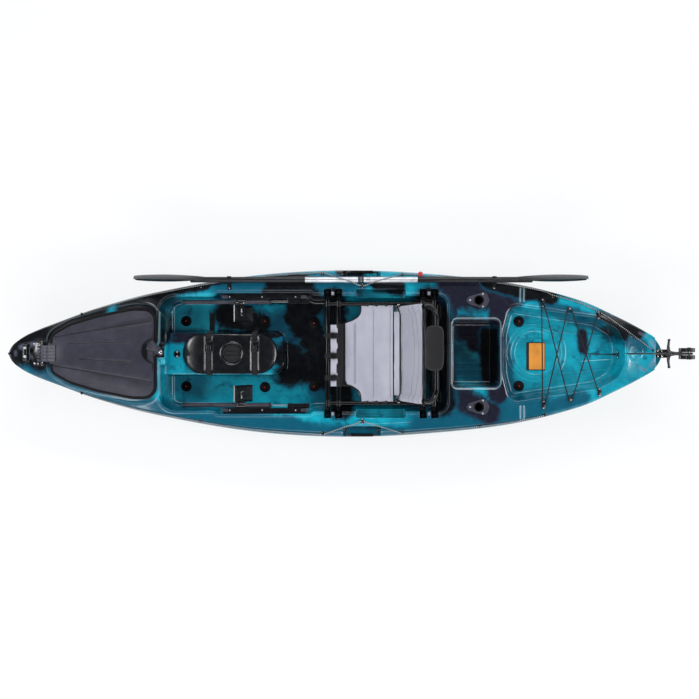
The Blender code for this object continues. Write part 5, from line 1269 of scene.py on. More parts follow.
def makeHatch():
    rise = hatch["rise"]
    piece("hatch_seal_ring", [gridPart(np.stack([np.c_[line, onDeck(line[:, 0], line[:, 1]) + z] for line, z in
                                                [(roundLine(lidLine, -0.018 + by), z) for by, z in
                                                 ((-0.009, 0.001), (-0.0085, 0.0048), (-0.003, 0.0066), (0.003, 0.0066), (0.0085, 0.0048), (0.009, 0.001))]]),
                                      aroundU=True, aroundV=True)],
          looks["rubber"], "hull", "hatch_seal")

    base = lambda z: lambda p: lidHeight(p, rise) + z
    under = rise - 0.0152
    levels = [(-0.004, under, 0), (-0.001, under + 0.0015, 0), (0.0, under + 0.004, 0), (0.0, -0.0045, 1), (-0.0012, -0.0020, 1),
              (-0.0035, -0.0006, 1), (-0.007, 0.0, 1), (-0.0105, -0.0004, 1), (-0.0125, -0.0022, 1), (-0.0132, -0.0085, 1)]
    rings = []
    for by, z, fromTop in levels:
        line = roundLine(lidLine, by)
        foot = lidHeight(line, rise) if fromTop else onDeck(line[:, 0], line[:, 1])
        rings.append(np.c_[line, foot + z])
    inner = roundLine(lidLine, -0.0132)
    x, y, radius, _ = hatch["pocket"]
    around = [arcLine(x, y, radius - inset, 100, 260, 24) for inset in (0.0, 0.007)]
    floor = flatPart(inner, lambda p: lidHeight(p, rise) - 0.0085, (0, 0, 1), 0.014, openLines=around)
    bottom = flatPart(roundLine(lidLine, -0.004), lambda p: onDeck(p[:, 0], p[:, 1]) + under, (0, 0, -1), 0.020)
    side = gridPart(np.array(rings), aroundV=True, flip=True)
    piece("hatch_rim", [side, floor, bottom], looks["rubber"], "hatch_lid", "hatch_cover")

    line = roundLine(lidLine, -0.0165)
    panelRings = []
    for by, z in ((0.0, -0.0062), (0.0, -0.0018), (-0.0008, -0.0004), (-0.0026, 0.0004)):
        ring = roundLine(lidLine, -0.0140 + by)
        panelRings.append(np.c_[ring, lidHeight(ring, rise) + z])
    edge = panelRings[-1][:, :2]
    x, y, radius, floorZ = hatch["pocket"]
    loops = [arcLine(x, y, radius - inset, 100, 260, 40) for inset in (0.0, 0.0035, 0.007)]
    grooves = []
    for x0, y0, x1, y1, half, height in hatch["grooves"]:
        way = unit(np.array((x1 - x0, y1 - y0)))
        across = np.array((-way[1], way[0]))
        for by in (-1, -0.5, 0, 0.5, 1):
            grooves.append(np.array([(x0, y0) + across * half * 0.55 * by, (x1, y1) + across * half * 1.45 * by]))
    top = flatPart(edge, lambda p: lidHeight(p, rise) + 0.0004, (0, 0, 1), 0.008, openLines=loops + grooves)
    panel = piece("hatch_panel", [gridPart(np.array(panelRings), aroundV=True, flip=True), top], looks["lid"], "hatch_lid")
    places = vertices(panel)
    # Painted shade along the grooves and round the latch pocket's edge.
    shade = np.zeros(len(places))
    for x0, y0, x1, y1, half, height in hatch["grooves"]:
        share = np.clip((places[:, 0] - x0) / (x1 - x0), 0, 1)
        gap = distanceTo(places[:, :2], np.array([(x0, y0), (x1, y1)]), False) / (half * (0.55 + 0.9 * share))
        shade = np.maximum(shade, 0.9 * (1 - smoothStep(0.1, 0.75, gap)))
    ring = np.abs(np.hypot(places[:, 0] - x, places[:, 1] - y) - radius + 0.003)
    shade = np.maximum(shade, 0.85 * (1 - smoothStep(0.001, 0.0045, ring)))
    marked(panel, "shade", shade)

    z = hatch["tongueTop"]
    tongue = [block((-0.8900, -0.019, z - 0.0052), (-0.842, 0.031, z), 0.0015, 0.006)]
    piece("latch_tongue", tongue, looks["black"], "hatch_lid")
    px, py = hatch["pivot"]
    piece("lever_post", [turned(((0.0001, 0.3390), (0.0076, 0.3392), (0.0080, 0.3425), (0.0076, 0.3460), (0.0040, 0.3464), (0.0040, z + 0.001)), (px, py, 0), sides=24)],
          looks["steel"], "hatch_latch")
    fan = [(px + r * math.cos(math.radians(a)), py + r * math.sin(math.radians(a)), 0.004)
           for a, r in ((168, 0.075), (157, 0.0755), (146, 0.0757), (135, 0.0755), (124, 0.075), (56, 0.0150), (6, 0.0150), (-54, 0.0150), (236, 0.0150))]
    lever = [plate(fan, [(-0.001, z + 0.0005), (0, z + 0.0014), (0, z + 0.0032), (-0.0012, z + 0.0042)], step=0.002)]
    for angle in hatch["leverBars"]:
        way = np.array((math.cos(math.radians(angle)), math.sin(math.radians(angle)), 0))
        reach = np.linspace(0.016, 0.0715, 10)[:, None]
        path = np.array((px, py, z + 0.0040)) + way * reach
        taper = (0.4 + 0.75 * reach / 0.0715) * 0.0042
        angleAround = np.linspace(0, 2 * math.pi, 12, endpoint=False)
        across = np.array((-way[1], way[0], 0))
        grid = path[:, None] + np.cos(angleAround)[None, :, None] * across * taper[:, None] + np.sin(angleAround)[None, :, None] * np.array((0, 0, 0.0032))
        lever.append(gridPart(grid, aroundV=True, caps=True))
    lever.append(turned(((0.0145, z + 0.003), (0.0150, z + 0.0062), (0.0135, z + 0.0076), (0.0088, z + 0.0080)), (px, py, 0), sides=36))
    fanned = piece("lever_fan", lever, looks["grip"], "hatch_latch", "hatch_lever")
    places = vertices(fanned)
    # Painted shade on the fan's plate between its bars.
    marked(fanned, "shade", np.where((places[:, 2] < z + 0.0046) & (np.hypot(places[:, 0] - px, places[:, 1] - py) > 0.017), 0.85, 0))
    rivet = turned(((0.0082, z + 0.0076), (0.0080, z + 0.0088), (0.0062, z + 0.0099), (0.0030, z + 0.0105), (0.0006, z + 0.0106)), (px, py, 0), sides=32)
    piece("lever_rivet", [rivet], looks["steel"], "hatch_latch")
    piece("latch_bracket", [block((-0.8695, 0.0330, 0.3215), (-0.8440, 0.0520, 0.3345), 0.0015, 0.003),
                            block((-0.8670, 0.0360, 0.3340), (-0.8465, 0.0400, 0.3400), 0.0008), block((-0.8670, 0.0455, 0.3340), (-0.8465, 0.0490, 0.3400), 0.0008)],
          looks["matt"], "hull")


def makeHinge():
    hx = hatch["hingeX"]
    hz = (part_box("hatch_hinge_pin")[0].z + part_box("hatch_hinge_pin")[1].z) / 2
    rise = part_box("hatch_hinge_base")[0].z - float(onDeck(-1.412, 0.05))
    corners = plateCorners(-1.472, -1.412, 0.0595, 0.010)
    base = [plate(corners, [(-0.001, 0.0004), (0, 0.0016), (0, 0.0058), (-0.0010, 0.0074), (-0.0030, 0.0082)], onDeck, step=0.003)]
    for side in (1, -1):
        profile = ((0.0040, -0.0075), (0.0070, -0.0075), (0.0076, -0.0068), (0.0076, 0.0068), (0.0070, 0.0075), (0.0040, 0.0075))
        base.append(turned(profile, (hx, side * 0.050, hz), (0, 1, 0), 32))
        y0, y1 = sorted((side * 0.0430, side * 0.0570))
        base.append(block((hx - 0.0076, y0, float(onDeck(hx, 0.05)) + 0.004), (hx + 0.0076, y1, hz), 0.0012))
        for x in (-1.466, -1.448):
            base.append(turned(((0.0062, 0), (0.0060, 0.0012), (0.0045, 0.0016)), (x, side * 0.0475, float(onDeck(x, 0.048)) + 0.0080), sides=24))
    for x in (-1.4585,):
        base.append(block((x - 0.0115, -0.0395, float(onDeck(x, 0)) + 0.0075), (x - 0.0095, 0.0395, float(onDeck(x, 0)) + 0.0100), 0.0006))
    piece("hinge_base_plate", base, looks["black"], "hull", "hatch_hinge_base")
    heads = [screw((x, side * 0.0475, float(onDeck(x, 0.048)) + 0.0094), (0, 0, 1), 0.0043, 0.0018) for side in (1, -1) for x in (-1.466, -1.448)]
    piece("hinge_screws", heads, looks["zinc"], "hull")
    pin = turned(((0.0018, -0.0600), (0.0036, -0.0592), (0.0038, -0.0575), (0.0030, -0.0570), (0.0030, 0.0570), (0.0038, 0.0575), (0.0036, 0.0592), (0.0018, 0.0600)),
                 (hx, 0, hz), (0, 1, 0), 20)
    piece("hinge_pin_rod", [pin], looks["steel"], "hull", "hatch_hinge_pin")
    fixed = []
    for k in range(5):
        y = -0.0318 + 0.0159 * k
        fixed.append(block((-1.4500, y - 0.0064, float(onDeck(-1.44, 0)) + 0.0078), (-1.4335, y + 0.0064, float(onDeck(-1.44, 0)) + 0.0150), 0.0016))
    piece("hinge_fixed_bars", fixed, looks["grip"], "hull")
    tops = [float(onDeck(x, 0)) + 0.0241 for x in (-1.390, -1.356)]
    path = curveThrough([(hx + 0.0005, 0, hz + 0.0040), (-1.405, 0, hz + 0.0062), (-1.390, 0, tops[0]), (-1.372, 0, (tops[0] + tops[1]) / 2), (-1.3565, 0, tops[1])], 0.003)
    leaf = [turned(((0.0040, -0.0410), (0.0068, -0.0415), (0.0074, -0.0405), (0.0074, 0.0405), (0.0068, 0.0415), (0.0040, 0.0410)), (hx, 0, hz), (0, 1, 0), 32)]
    leaf.append(swept(path - np.array((0, 0, 0.0009)), 0, across=(0, 1, 0), section=flatSection(0.0795, 0.0022, 0.4)))
    for k in range(5):
        y = -0.0318 + 0.0159 * k
        bar = path + np.array((0, y, 0.0010))
        leaf.append(swept(bar, 0, across=(0, 1, 0), section=flatSection(0.0125, 0.0030, 0.42)))
    piece("hinge_leaf_bars", leaf, looks["grip"], "hatch_lid", "hatch_hinge_leaf")
    pad = [plate(plateCorners(-1.3865, -1.3400, 0.0490, 0.004, 0.0), [(-0.0005, 0.0170), (0, 0.0185), (0, 0.0222), (-0.001, 0.0230)], onDeck, step=0.003)]
    piece("hinge_pad", pad, looks["matt"], "hatch_lid")


def makeBowHandle():
    x = -1.506
    z = float(onDeck(x, 0.006))
    path = bentLine([(x, -0.031, z + 0.0024), (x, -0.031, z + 0.0265), (x, 0.043, z + 0.0265), (x, 0.043, z + 0.0024)], 0.013, 0.16)
    angle = np.linspace(0, 2 * math.pi, 28, endpoint=False)
    c, s = np.cos(angle), np.sin(angle)
    section = np.c_[0.0108 * np.sign(c) * np.abs(c) ** 0.6, 0.0046 * np.sign(s) * np.abs(s) ** 0.75]
    parts = [swept(path, 0, across=(1, 0, 0), section=section)]
    corners = plateCorners(x - 0.017, x + 0.017, 0.049, 0.014, 0.006)
    parts.append(plate(corners, [(-0.0008, 0.0003), (0, 0.0014), (0, 0.0044), (-0.0012, 0.0060), (-0.0035, 0.0068)], onDeck, step=0.002))
    piece("bow_handle_strap", parts, looks["black"], "hull", "bow_handle")
    heads = [screw((x + 0.002, y, z + 0.0311), (0, 0, 1), 0.0066, 0.0018) for y in (0.0275, -0.0140)]
    piece("bow_handle_screws", heads, looks["zinc"], "hull")


makeHatch()
makeHinge()
makeBowHandle()
print("bow fittings made")


# Pod hatch on the console

pod = {
    "top": 0.227, "foot": 0.2003,
    "straps": (("fore", -0.6424, 0.204), ("aft", -0.4137, 0.133)),
    "strapWidth": 0.025, "strapThick": 0.0018,
    "cap": (-0.527, 0.0015, 0.0446),
}


def podFall(points):
    # The cover's two ends roll down towards the console.
    middle = (podLine[0][0] + podLine[1][0]) / 2
    return 0.017 * np.clip((np.hypot(points[:, 0] - middle, 0.75 * points[:, 1]) - 0.150) / 0.086, 0, 1.2) ** 1.7


def podHeight(points):
    # Domed cover with raised guides beside each strap, a ribbed strip and a ring round the cap.
    x, y = points[:, 0], points[:, 1]
    depth = np.clip(-depthIn(points, roundLine(podLine), 0.3), 0, 0.05)
    z = pod["top"] - 0.0030 * (1 - np.clip(depth / 0.024, 0, 1)) ** 2 - podFall(points)
    for _, px, _ in pod["straps"]:
        for edge in (-0.0195, 0.0200):
            gap = np.abs(x - px - edge)
            z += 0.0016 * np.cos(np.clip(gap / 0.0040, 0, 1) * math.pi / 2) ** 2 * smoothStep(0.094, 0.085, np.abs(y))
        z -= 0.0012 * smoothStep(0.0165, 0.0150, np.abs(x - px))
    ribs = (x > -0.622) & (x < -0.434) & (y > 0.066) & (y < 0.088)
    z += np.where(ribs, 0.0016 * np.abs(np.sin((x + 0.622) * math.pi / 0.0094)) * smoothStep(0.066, 0.069, y) * smoothStep(0.088, 0.085, y), 0)
    far = np.hypot(x - pod["cap"][0], y - pod["cap"][1])
    z += 0.0024 * np.cos(np.clip((far - 0.0545) / 0.0060, -1, 1) * math.pi / 2) ** 2
    return z


def makePod():
    x0, y0, radius = pod["cap"]
    seat = radius + 0.0028
    hole = arcLine(x0, y0, seat, 0, -354, 60)
    line = roundLine(podLine)
    rings = []
    for by, z in ((-0.012, pod["foot"]), (-0.004, pod["foot"] + 0.0008), (0.0, pod["foot"] + 0.005), (0.0, 0.2165), (-0.0008, 0.2200), (-0.0026, 0.2222)):
        ring = roundLine(podLine, by)
        rings.append(np.c_[ring, z - podFall(ring) * smoothStep(0.2090, 0.2165, z)])
    edge = roundLine(podLine, -0.0056)
    rings.append(np.c_[edge, podHeight(edge)])
    ribLines = [np.array([(x, 0.066), (x, 0.088)]) for x in np.arange(-0.622, -0.434, 0.0047)]
    guides = [np.array([(px + e + by, -0.09), (px + e + by, 0.09)]) for _, px, _ in pod["straps"] for e in (-0.0195, 0.02) for by in (-0.004, -0.002, 0, 0.002, 0.004)]
    capRings = [arcLine(x0, y0, r, 0, -354, 60) for r in (0.0495, 0.052, 0.0545, 0.057, 0.0595)]
    top = flatPart(edge, podHeight, (0, 0, 1), 0.0052, capRings, ribLines + guides, [hole])
    bottom = flatPart(roundLine(podLine, -0.012), lambda p: pod["foot"] + 0 * p[:, 0], (0, 0, -1), 0.02)
    seatRing = [np.c_[hole, podHeight(hole)], np.c_[hole, np.full(len(hole), 0.2155)], np.c_[hole * 0.02 + np.array((x0, y0)) * 0.98, np.full(len(hole), 0.2152)]]
    piece("pod_lid_moulding", [gridPart(np.array(rings), aroundV=True, flip=True), top, bottom, gridPart(np.array(seatRing), aroundV=True)],
          looks["black"], "pod_lid", "pod_cover", 40)
    z = 0.215 + 0.0003
    profile = [(radius - 0.001, z), (radius, z + 0.002), (radius, z + 0.0088), (radius - 0.0010, z + 0.0104), (radius - 0.0028, z + 0.0112), (radius - 0.0060, z + 0.0110),
               (radius - 0.0075, z + 0.0092), (radius - 0.0090, z + 0.0074), (0.024, z + 0.0072), (0.012, z + 0.0074), (0.001, z + 0.0075)]
    cap = [turned(profile, (x0, y0, 0), sides=72)]
    for k in range(24):
        a = 2 * math.pi * k / 24
        cap.append(turned(((0.0014, -0.0036), (0.0022, -0.0028), (0.0022, 0.0028), (0.0014, 0.0036)), (x0 + (radius - 0.0004) * math.cos(a), y0 + (radius - 0.0004) * math.sin(a), z + 0.0056), sides=8))
    bar = plate(plateCorners(-0.0325, 0.0325, 0.0052, 0.005), [(-0.0006, z + 0.0060), (0, z + 0.0070), (-0.0004, z + 0.0168), (-0.0016, z + 0.0186), (-0.0034, z + 0.0192)],
                step=0.0015, turn=lambda g: g + np.array((x0, y0, 0)))
    piece("pod_twist_cap", cap + [bar], looks["matt"], "pod_port", "pod_cap")
    over = pod["strapThick"] / 2 + 0.0006
    top = pod["top"]
    for key, x, tail in pod["straps"]:
        path = [(x, -0.1078 - over, 0.140), (x, -0.1062 - over, 0.201), (x, -0.1028 - over, top - 0.004), (x, -0.0975 - over, top + over), (x, -0.060, top + over + 0.0002)]
        path += [(x, 0.0, top + over + 0.0004), (x, 0.060, top + over + 0.0002), (x, 0.0975 + over, top + over), (x, 0.1028 + over, top - 0.004), (x, 0.1062 + over, 0.201)]
        path += [(x, 0.1120 + over, 0.120), (x, 0.1150 + over, 0.101), (x, 0.121 + over, 0.0935), (x, tail - (0.004 if tail < 0.14 else 0.03), 0.0925), (x, tail, 0.0922)]
        strap = [swept(curveThrough(path, 0.004), 0, across=(1, 0, 0), section=flatSection(pod["strapWidth"], pod["strapThick"], 0.45))]
        for edge in (-0.0100, 0.0100):
            seam = np.array([(x + edge, y, top + over * 2 + 0.0002) for y in np.arange(-0.093, -0.020, 0.0042)])
            strap += [swept(np.array([p - (0, 0.0012, 0.0001), p, p + (0, 0.0012, -0.0001)]), 0.00035, 5) for p in seam]
        piece("pod_webbing_" + key, strap, looks["webbing"], "pod_lid", "pod_strap_" + key, 50)
        low = top + 2 * over + 0.0004
        buckle = [block((x - 0.0155, 0.036, low), (x + 0.0155, 0.062, low + 0.0082), 0.0022, 0.004)]
        buckle += [block((x - 0.0155, 0.0615, low + 0.001), (x - 0.0115, 0.0712, low + 0.0068), 0.0012), block((x + 0.0115, 0.0615, low + 0.001), (x + 0.0155, 0.0712, low + 0.0068), 0.0012)]
        buckle += [block((x - 0.0155, 0.0680, low + 0.0008), (x + 0.0155, 0.0715, low + 0.0066), 0.0012)]
        buckle += [block((x - 0.0118, 0.0085, low), (x + 0.0118, 0.0180, low + 0.0066), 0.0018, 0.003), block((x - 0.0125, 0.0160, low + 0.001), (x - 0.0080, 0.0370, low + 0.0060), 0.0014),
                   block((x + 0.0080, 0.0160, low + 0.001), (x + 0.0125, 0.0370, low + 0.0060), 0.0014), block((x - 0.0030, 0.0160, low + 0.0012), (x + 0.0030, 0.0370, low + 0.0054), 0.0012)]
        buckle += [block((x - 0.0090, 0.0400 + 0.006 * k, low + 0.0080), (x + 0.0090, 0.0425 + 0.006 * k, low + 0.0092), 0.0005) for k in range(3)]
        piece("pod_side_release_" + key, buckle, looks["black"], "pod_lid", "pod_buckle_" + key)


def makePlugs():
    for name, x, y, floor in scuppers:
        profile = [(0.0145, -0.042), (0.0158, -0.020), (0.0164, 0.0002), (0.0255, 0.0004), (0.0265, 0.0012), (0.0265, 0.0032), (0.0250, 0.0046), (0.0215, 0.0062), (0.0195, 0.0058),
                   (0.0180, 0.0064), (0.0150, 0.0084), (0.0120, 0.0090), (0.0085, 0.0092), (0.0070, 0.0105), (0.0068, 0.0140), (0.0060, 0.0158), (0.0040, 0.0165), (0.0005, 0.0166)]
        parts = [turned(profile, (x, y, floor), sides=48)]
        parts += [turned(((0.0168, -0.030 + dz - 0.002), (0.0176, -0.030 + dz), (0.0168, -0.030 + dz + 0.002)), (x, y, floor), sides=32) for dz in (0.0, 0.012)]
        for k in range(12):
            a = 2 * math.pi * k / 12
            way = np.array((math.cos(a), math.sin(a), 0))
            path = np.array((x, y, floor)) + np.array([0.0205, 0.0228, 0.0250])[:, None] * way + np.array([(0, 0, 0.0060), (0, 0, 0.0056), (0, 0, 0.0040)])
            parts.append(swept(path, 0.0011, 6))
        piece("plug_" + name, parts, looks["rubber"], "plug_" + name, "scupper_plug_" + name)
        dot = turned(((0.0034, 0.0162), (0.0034, 0.0170), (0.0026, 0.0174), (0.0004, 0.0175)), (x, y, floor), sides=20)
        piece("plug_dot_" + name, [dot], looks["red"], "plug_" + name)


makePod()
makePlugs()
print("pod and plugs made")


# Foot braces

brace = {"railY": 0.2705, "tubeY": 0.2544, "z": 0.267, "tube": 0.0108, "screws": (-0.532, -0.372, -0.207)}


def bayWall(z):
    return 0.297 - 0.020 + 0.020 * (z - 0.106) / 0.194


def makeBrace(side, sign):
    y, z, r = brace["railY"], brace["z"], 0.0008
    profile = [(y, z - 0.015 + r), (y, z - 0.0045), (y + 0.0037, z - 0.004), (y + 0.0037, z - 0.009), (y + 0.0101, z - 0.009), (y + 0.0101, z + 0.009),
               (y + 0.0037, z + 0.009), (y + 0.0037, z + 0.004), (y, z + 0.0045), (y, z + 0.015 - r), (y + r, z + 0.015), (bayWall(z + 0.015) - 0.0006, z + 0.015),
               (bayWall(z - 0.015) - 0.0006, z - 0.015), (y + r, z - 0.015)]
    section = np.array([(sign * py, pz) for py, pz in profile])
    path = np.array([(x, 0.0, 0.0) for x in (-0.5655, -0.5650, -0.1595, -0.159)])
    shrink = np.array([0.96, 1.0, 1.0, 0.96])[:, None, None]
    middle = section.mean(0)
    grid = np.stack([np.c_[np.full(len(section), p[0]), middle + (section - middle) * s[0]] for p, s in zip(path, shrink)])
    rail = [gridPart(grid, aroundV=True, caps=True)]
    for k in range(2):
        x0 = -0.558 + 0.0 * k
        rail.append(block((x0, *sorted((sign * (y - 0.0006), sign * (y + 0.001)))[:1], z + 0.0052 - 0.0135 * k), (-0.166, sorted((sign * (y - 0.0006), sign * (y + 0.001)))[1], z + 0.0085 - 0.0135 * k), 0.0005))
    y0, y1 = sorted((sign * 0.2465, sign * 0.2712))
    rail.append(block((-0.248, y0, z - 0.0075), (-0.138, y1, z + 0.0075), 0.002))
    piece("brace_rail_" + side, rail, looks["black"], "hull", "foot_rail_" + side)
    ends = [block((x, *sorted((sign * 0.2716, sign * 0.2885))[:1], z + 0.0142), (x + 0.028, sorted((sign * 0.2716, sign * 0.2885))[1], z + 0.0172), 0.001, 0.003) for x in (-0.5680, -0.1800)]
    piece("rail_brackets_" + side, ends, looks["grip"], "hull")
    heads = [screw((x, sign * 0.2795, z + (0.0150 if abs(x + 0.372) < 0.01 else 0.0172)), (0, 0, 1), 0.0036, 0.0016) for x in brace["screws"]]
    piece("rail_screws_" + side, heads, looks["zinc"], "hull")

    ty, tr = sign * brace["tubeY"], brace["tube"]
    profile = [(tr - 0.0020, -0.7640), (tr, -0.7630), (tr, -0.3285), (tr - 0.0010, -0.3262), (0.004, -0.3256)]
    tube = [turned([(rad, x) for rad, x in profile], (0, ty, z), (1, 0, 0), 40)]
    for a in (35, 90, 145):
        way = np.array((0, math.cos(math.radians(a)), math.sin(math.radians(a))))
        path = np.array([(-0.745, ty, z), (-0.740, ty, z), (-0.55, ty, z), (-0.348, ty, z), (-0.343, ty, z)]) + way * np.array((0.0, 0.0104, 0.0104, 0.0104, 0.0))[:, None] * 1.0
        tube.append(swept(path[1:4], 0.0009, 6))
    y0, y1 = sorted((ty, sign * 0.2765))
    tube.append(block((-0.515, y0, z - 0.0036), (-0.335, y1, z + 0.0036), 0.0006))
    y0, y1 = sorted((sign * (brace["railY"] + 0.0043), sign * (brace["railY"] + 0.0095)))
    tube.append(block((-0.5148, y0, z - 0.0084), (-0.3352, y1, z + 0.0084), 0.0008))
    piece("brace_tube_" + side, tube, looks["greyTube"], "brace_" + side, "foot_slider_" + side)
    cap = [turned([(tr + 0.0012, -0.7660), (tr + 0.0016, -0.7645), (tr + 0.0016, -0.7540), (tr + 0.0004, -0.7525), (tr - 0.002, -0.7524)], (0, ty, z), (1, 0, 0), 36),
           turned([(tr + 0.0010, -0.3400), (tr + 0.0014, -0.3390), (tr + 0.0014, -0.3300), (tr + 0.0002, -0.3290), (tr - 0.003, -0.3289)], (0, ty, z), (1, 0, 0), 36)]
    piece("brace_caps_" + side, cap, looks["matt"], "brace_" + side)
    wire = curveThrough([(-0.332, ty, z), (-0.30, ty, z + 0.0004), (-0.26, ty, z), (-0.190, ty, z)], 0.006)
    piece("steering_wire_" + side, [swept(wire, 0.0022, 12)], looks["dullSteel"], "brace_" + side)

    # Clamp round the tube, an arm and a ribbed sole that leans forward
    clamp = []
    profile = ((0.0142, -0.5000), (0.0158, -0.4988), (0.0158, -0.4562), (0.0142, -0.4550))
    angle = np.radians(np.linspace(32, 328, 44)) if sign > 0 else np.radians(np.linspace(212, 508, 44))
    inner = tr + 0.0010
    ring = np.vstack([np.c_[0.0158 * np.cos(angle), 0.0158 * np.sin(angle)], np.c_[inner * np.cos(angle[::-1]), inner * np.sin(angle[::-1])]])
    limit = 0.2690 - brace["tubeY"]
    ring[:, 0] = np.where(sign * ring[:, 0] > limit, sign * limit, ring[:, 0])
    stack = []
    for x, s in ((-0.5000, 0.985), (-0.4990, 1.0), (-0.4560, 1.0), (-0.4550, 0.985)):
        stack.append(np.c_[np.full(len(ring), x), ty + ring[:, 0] * s, z + ring[:, 1] * s])
    clamp.append(gridPart(np.array(stack), aroundV=True, caps=True))
    for x in (-0.4935, -0.4615):
        clamp.append(turned(((0.0042, 0.0), (0.0042, 0.0035), (0.0034, 0.0045), (0.0005, 0.0047)), (x, ty - sign * 0.004, z + 0.0150), sides=20))
    y0, y1 = sorted((sign * 0.224, sign * 0.246))
    clamp.append(block((-0.492, y0, z - 0.010), (-0.464, y1, z + 0.008), 0.003))
    sole = curveThrough([(-0.428, sign * 0.198, 0.203), (-0.4355, sign * 0.198, 0.2105), (-0.446, sign * 0.198, 0.2225), (-0.474, sign * 0.198, 0.266), (-0.498, sign * 0.198, 0.308), (-0.505, sign * 0.198, 0.3255)], 0.006)
    clamp.append(swept(sole, 0, across=(0, 1, 0), section=flatSection(0.080, 0.0055, 0.45)))
    _, _, up = frames(sole, (0, 1, 0))
    lift = -up * np.sign(up[:, 0].mean()) * 0.0030
    lift *= 1 if lift[:, 0].mean() > 0 else -1
    for k in range(1, len(sole) - 1, 2):
        rib = np.array([sole[k] + lift[k] + (0, dy, 0) for dy in (-0.034, -0.017, 0.0, 0.017, 0.034)])
        clamp.append(swept(rib, 0.0017, 8))
    for dy in (-0.0385, 0.0385):
        clamp.append(swept(sole + (0, dy, 0), 0.0032, 10))
    piece("brace_pedal_" + side, clamp, looks["black"], "pedal_" + side, "foot_pedal_" + side)
    spring = []
    for y2 in (0.206, 0.188):
        bar = curveThrough([(-0.492, sign * 0.2235, z + 0.004), (-0.488, sign * 0.214, z + 0.010), (-0.472, sign * y2, z + 0.007), (-0.4640, sign * y2, z - 0.008)], 0.003)
        spring.append(swept(bar, 0.0019, 10))
    spring.append(turned(((0.0034, -0.006), (0.0046, -0.005), (0.0046, 0.005), (0.0034, 0.006)), (-0.4760, sign * 0.216, z + 0.0065), (0, 1, 0), 24))
    spring += [screw((x, ty - sign * 0.004, z + 0.0194), (0, 0, 1), 0.0030, 0.0013) for x in (-0.4935, -0.4615)]
    piece("pedal_spring_" + side, spring, looks["steel"], "pedal_" + side)


for side, sign in (("starboard", 1), ("port", -1)):
    makeBrace(side, sign)
print("foot braces made")


# Seat

seat = {
    "z": 0.262, "rungs": (-0.049, 0.005, 0.421, 0.478), "rungRadius": 0.0125, "railY": 0.246, "railRadius": 0.0115,
    "pivot": (0.300, 0.312), "leans": (math.radians(14.0), math.radians(38.0)), "bend": 0.315, "backHalf": 0.2175, "backTop": 0.440,
    "backRadius": 0.011, "slingEdge": 0.2395, "slingFront": 0.026, "slingFork": 0.089, "slingRear": 0.2775, "cloth": 0.0016, "headMiddle": 0.425,
}


def onBack(reach, y, behind=0.0):
    # A place on the leaning back: reach up from the pivot and past the bend near its top, behind towards the stern.
    reach, y, behind = np.broadcast_arrays(np.asarray(reach, float), np.asarray(y, float), np.asarray(behind, float))
    first, second = seat["leans"]
    steps = np.linspace(-0.03, 0.53, 561)
    leans = first + (second - first) * smoothStep(seat["bend"] - 0.019, seat["bend"] + 0.019, steps)
    lean = np.interp(reach, steps, leans)
    along = [np.concatenate([[0], np.cumsum(way(leans[:-1]) * np.diff(steps))]) for way in (np.sin, np.cos)]
    x, z = (seat["pivot"][k] + np.interp(reach, steps, run) - np.interp(0.0, steps, run) for k, run in enumerate(along))
    return np.stack([x + np.cos(lean) * behind, y, z - np.sin(lean) * behind], -1)


def roundTube(x, y0, y1, z, r, sides=40):
    profile = ((r * 0.78, y0 + 0.0002), (r * 0.95, y0), (r, y0 + 0.0015), (r, y1 - 0.0015), (r * 0.95, y1), (r * 0.78, y1 - 0.0002))
    return turned(profile, (x, 0, z), (0, 1, 0), sides)


def makeSeatFrame():
    z, r = seat["z"], seat["rungRadius"]
    parts = [roundTube(x, -0.3130, 0.3130, z, r) for x in seat["rungs"]]
    for sign in (1, -1):
        y = sign * seat["railY"]
        parts.append(turned(((0.0085, -0.0495), (0.0115, -0.0480), (0.0115, 0.4770), (0.0085, 0.4785)), (0, y, z + 0.0003), (1, 0, 0), 40))
        for x in seat["rungs"]:
            parts.append(turned(((0.0126, -0.0165), (0.0142, -0.0150), (0.0142, 0.0150), (0.0126, 0.0165)), (x, y, z), (0, 1, 0), 32))
        y0, y1 = sorted((sign * 0.2297, sign * 0.2365))
        lug = np.array([(-0.019, -0.056), (-0.019, 0.006), (-0.0165, 0.0135), (-0.0095, 0.0180), (0.0, 0.0190), (0.0095, 0.0180), (0.0165, 0.0135), (0.019, 0.006), (0.019, -0.056)])
        stack = [np.c_[0.300 + lug[:, 0] * s, np.full(len(lug), yy), 0.312 + lug[:, 1] * s] for yy, s in ((y0, 0.96), (y0 + 0.0006, 1.0), (y1 - 0.0006, 1.0), (y1, 0.96))]
        parts.append(gridPart(np.array(stack), aroundV=True, caps=True))
    piece("seat_tubes", parts, looks["tube"], "seat_base", "seat_frame")
    ends = []
    for x in seat["rungs"]:
        for sign in (1, -1):
            ends.append(turned(((0.0120, 0.2990), (0.0133, 0.2995), (0.0135, 0.3010), (0.0135, 0.3120), (0.0125, 0.3135), (0.008, 0.3138)), (x, 0, z), (0, sign, 0), 32))
    piece("seat_tube_ends", ends, looks["matt"], "seat_base")
    for side, sign in (("starboard", 1), ("port", -1)):
        pivotX, pivotZ = seat["pivot"]
        bolt = turned(((0.0040, 0.2042), (0.0040, 0.2420)), (pivotX, 0, pivotZ), (0, sign, 0), 20)
        head = turned(((0.0066, 0.2368), (0.0075, 0.2375), (0.0075, 0.2400), (0.0058, 0.2422), (0.0010, 0.2426)), (pivotX, 0, pivotZ), (0, sign, 0), 28)
        nut = turned(((0.0068, 0.2030), (0.0072, 0.2036), (0.0072, 0.2056), (0.0066, 0.2062)), (pivotX, 0, pivotZ), (0, sign, 0), 6)
        piece("seat_pivot_bolt_" + side, [bolt, head, nut], looks["steel"], "seat_base", "seat_bolt_" + side)


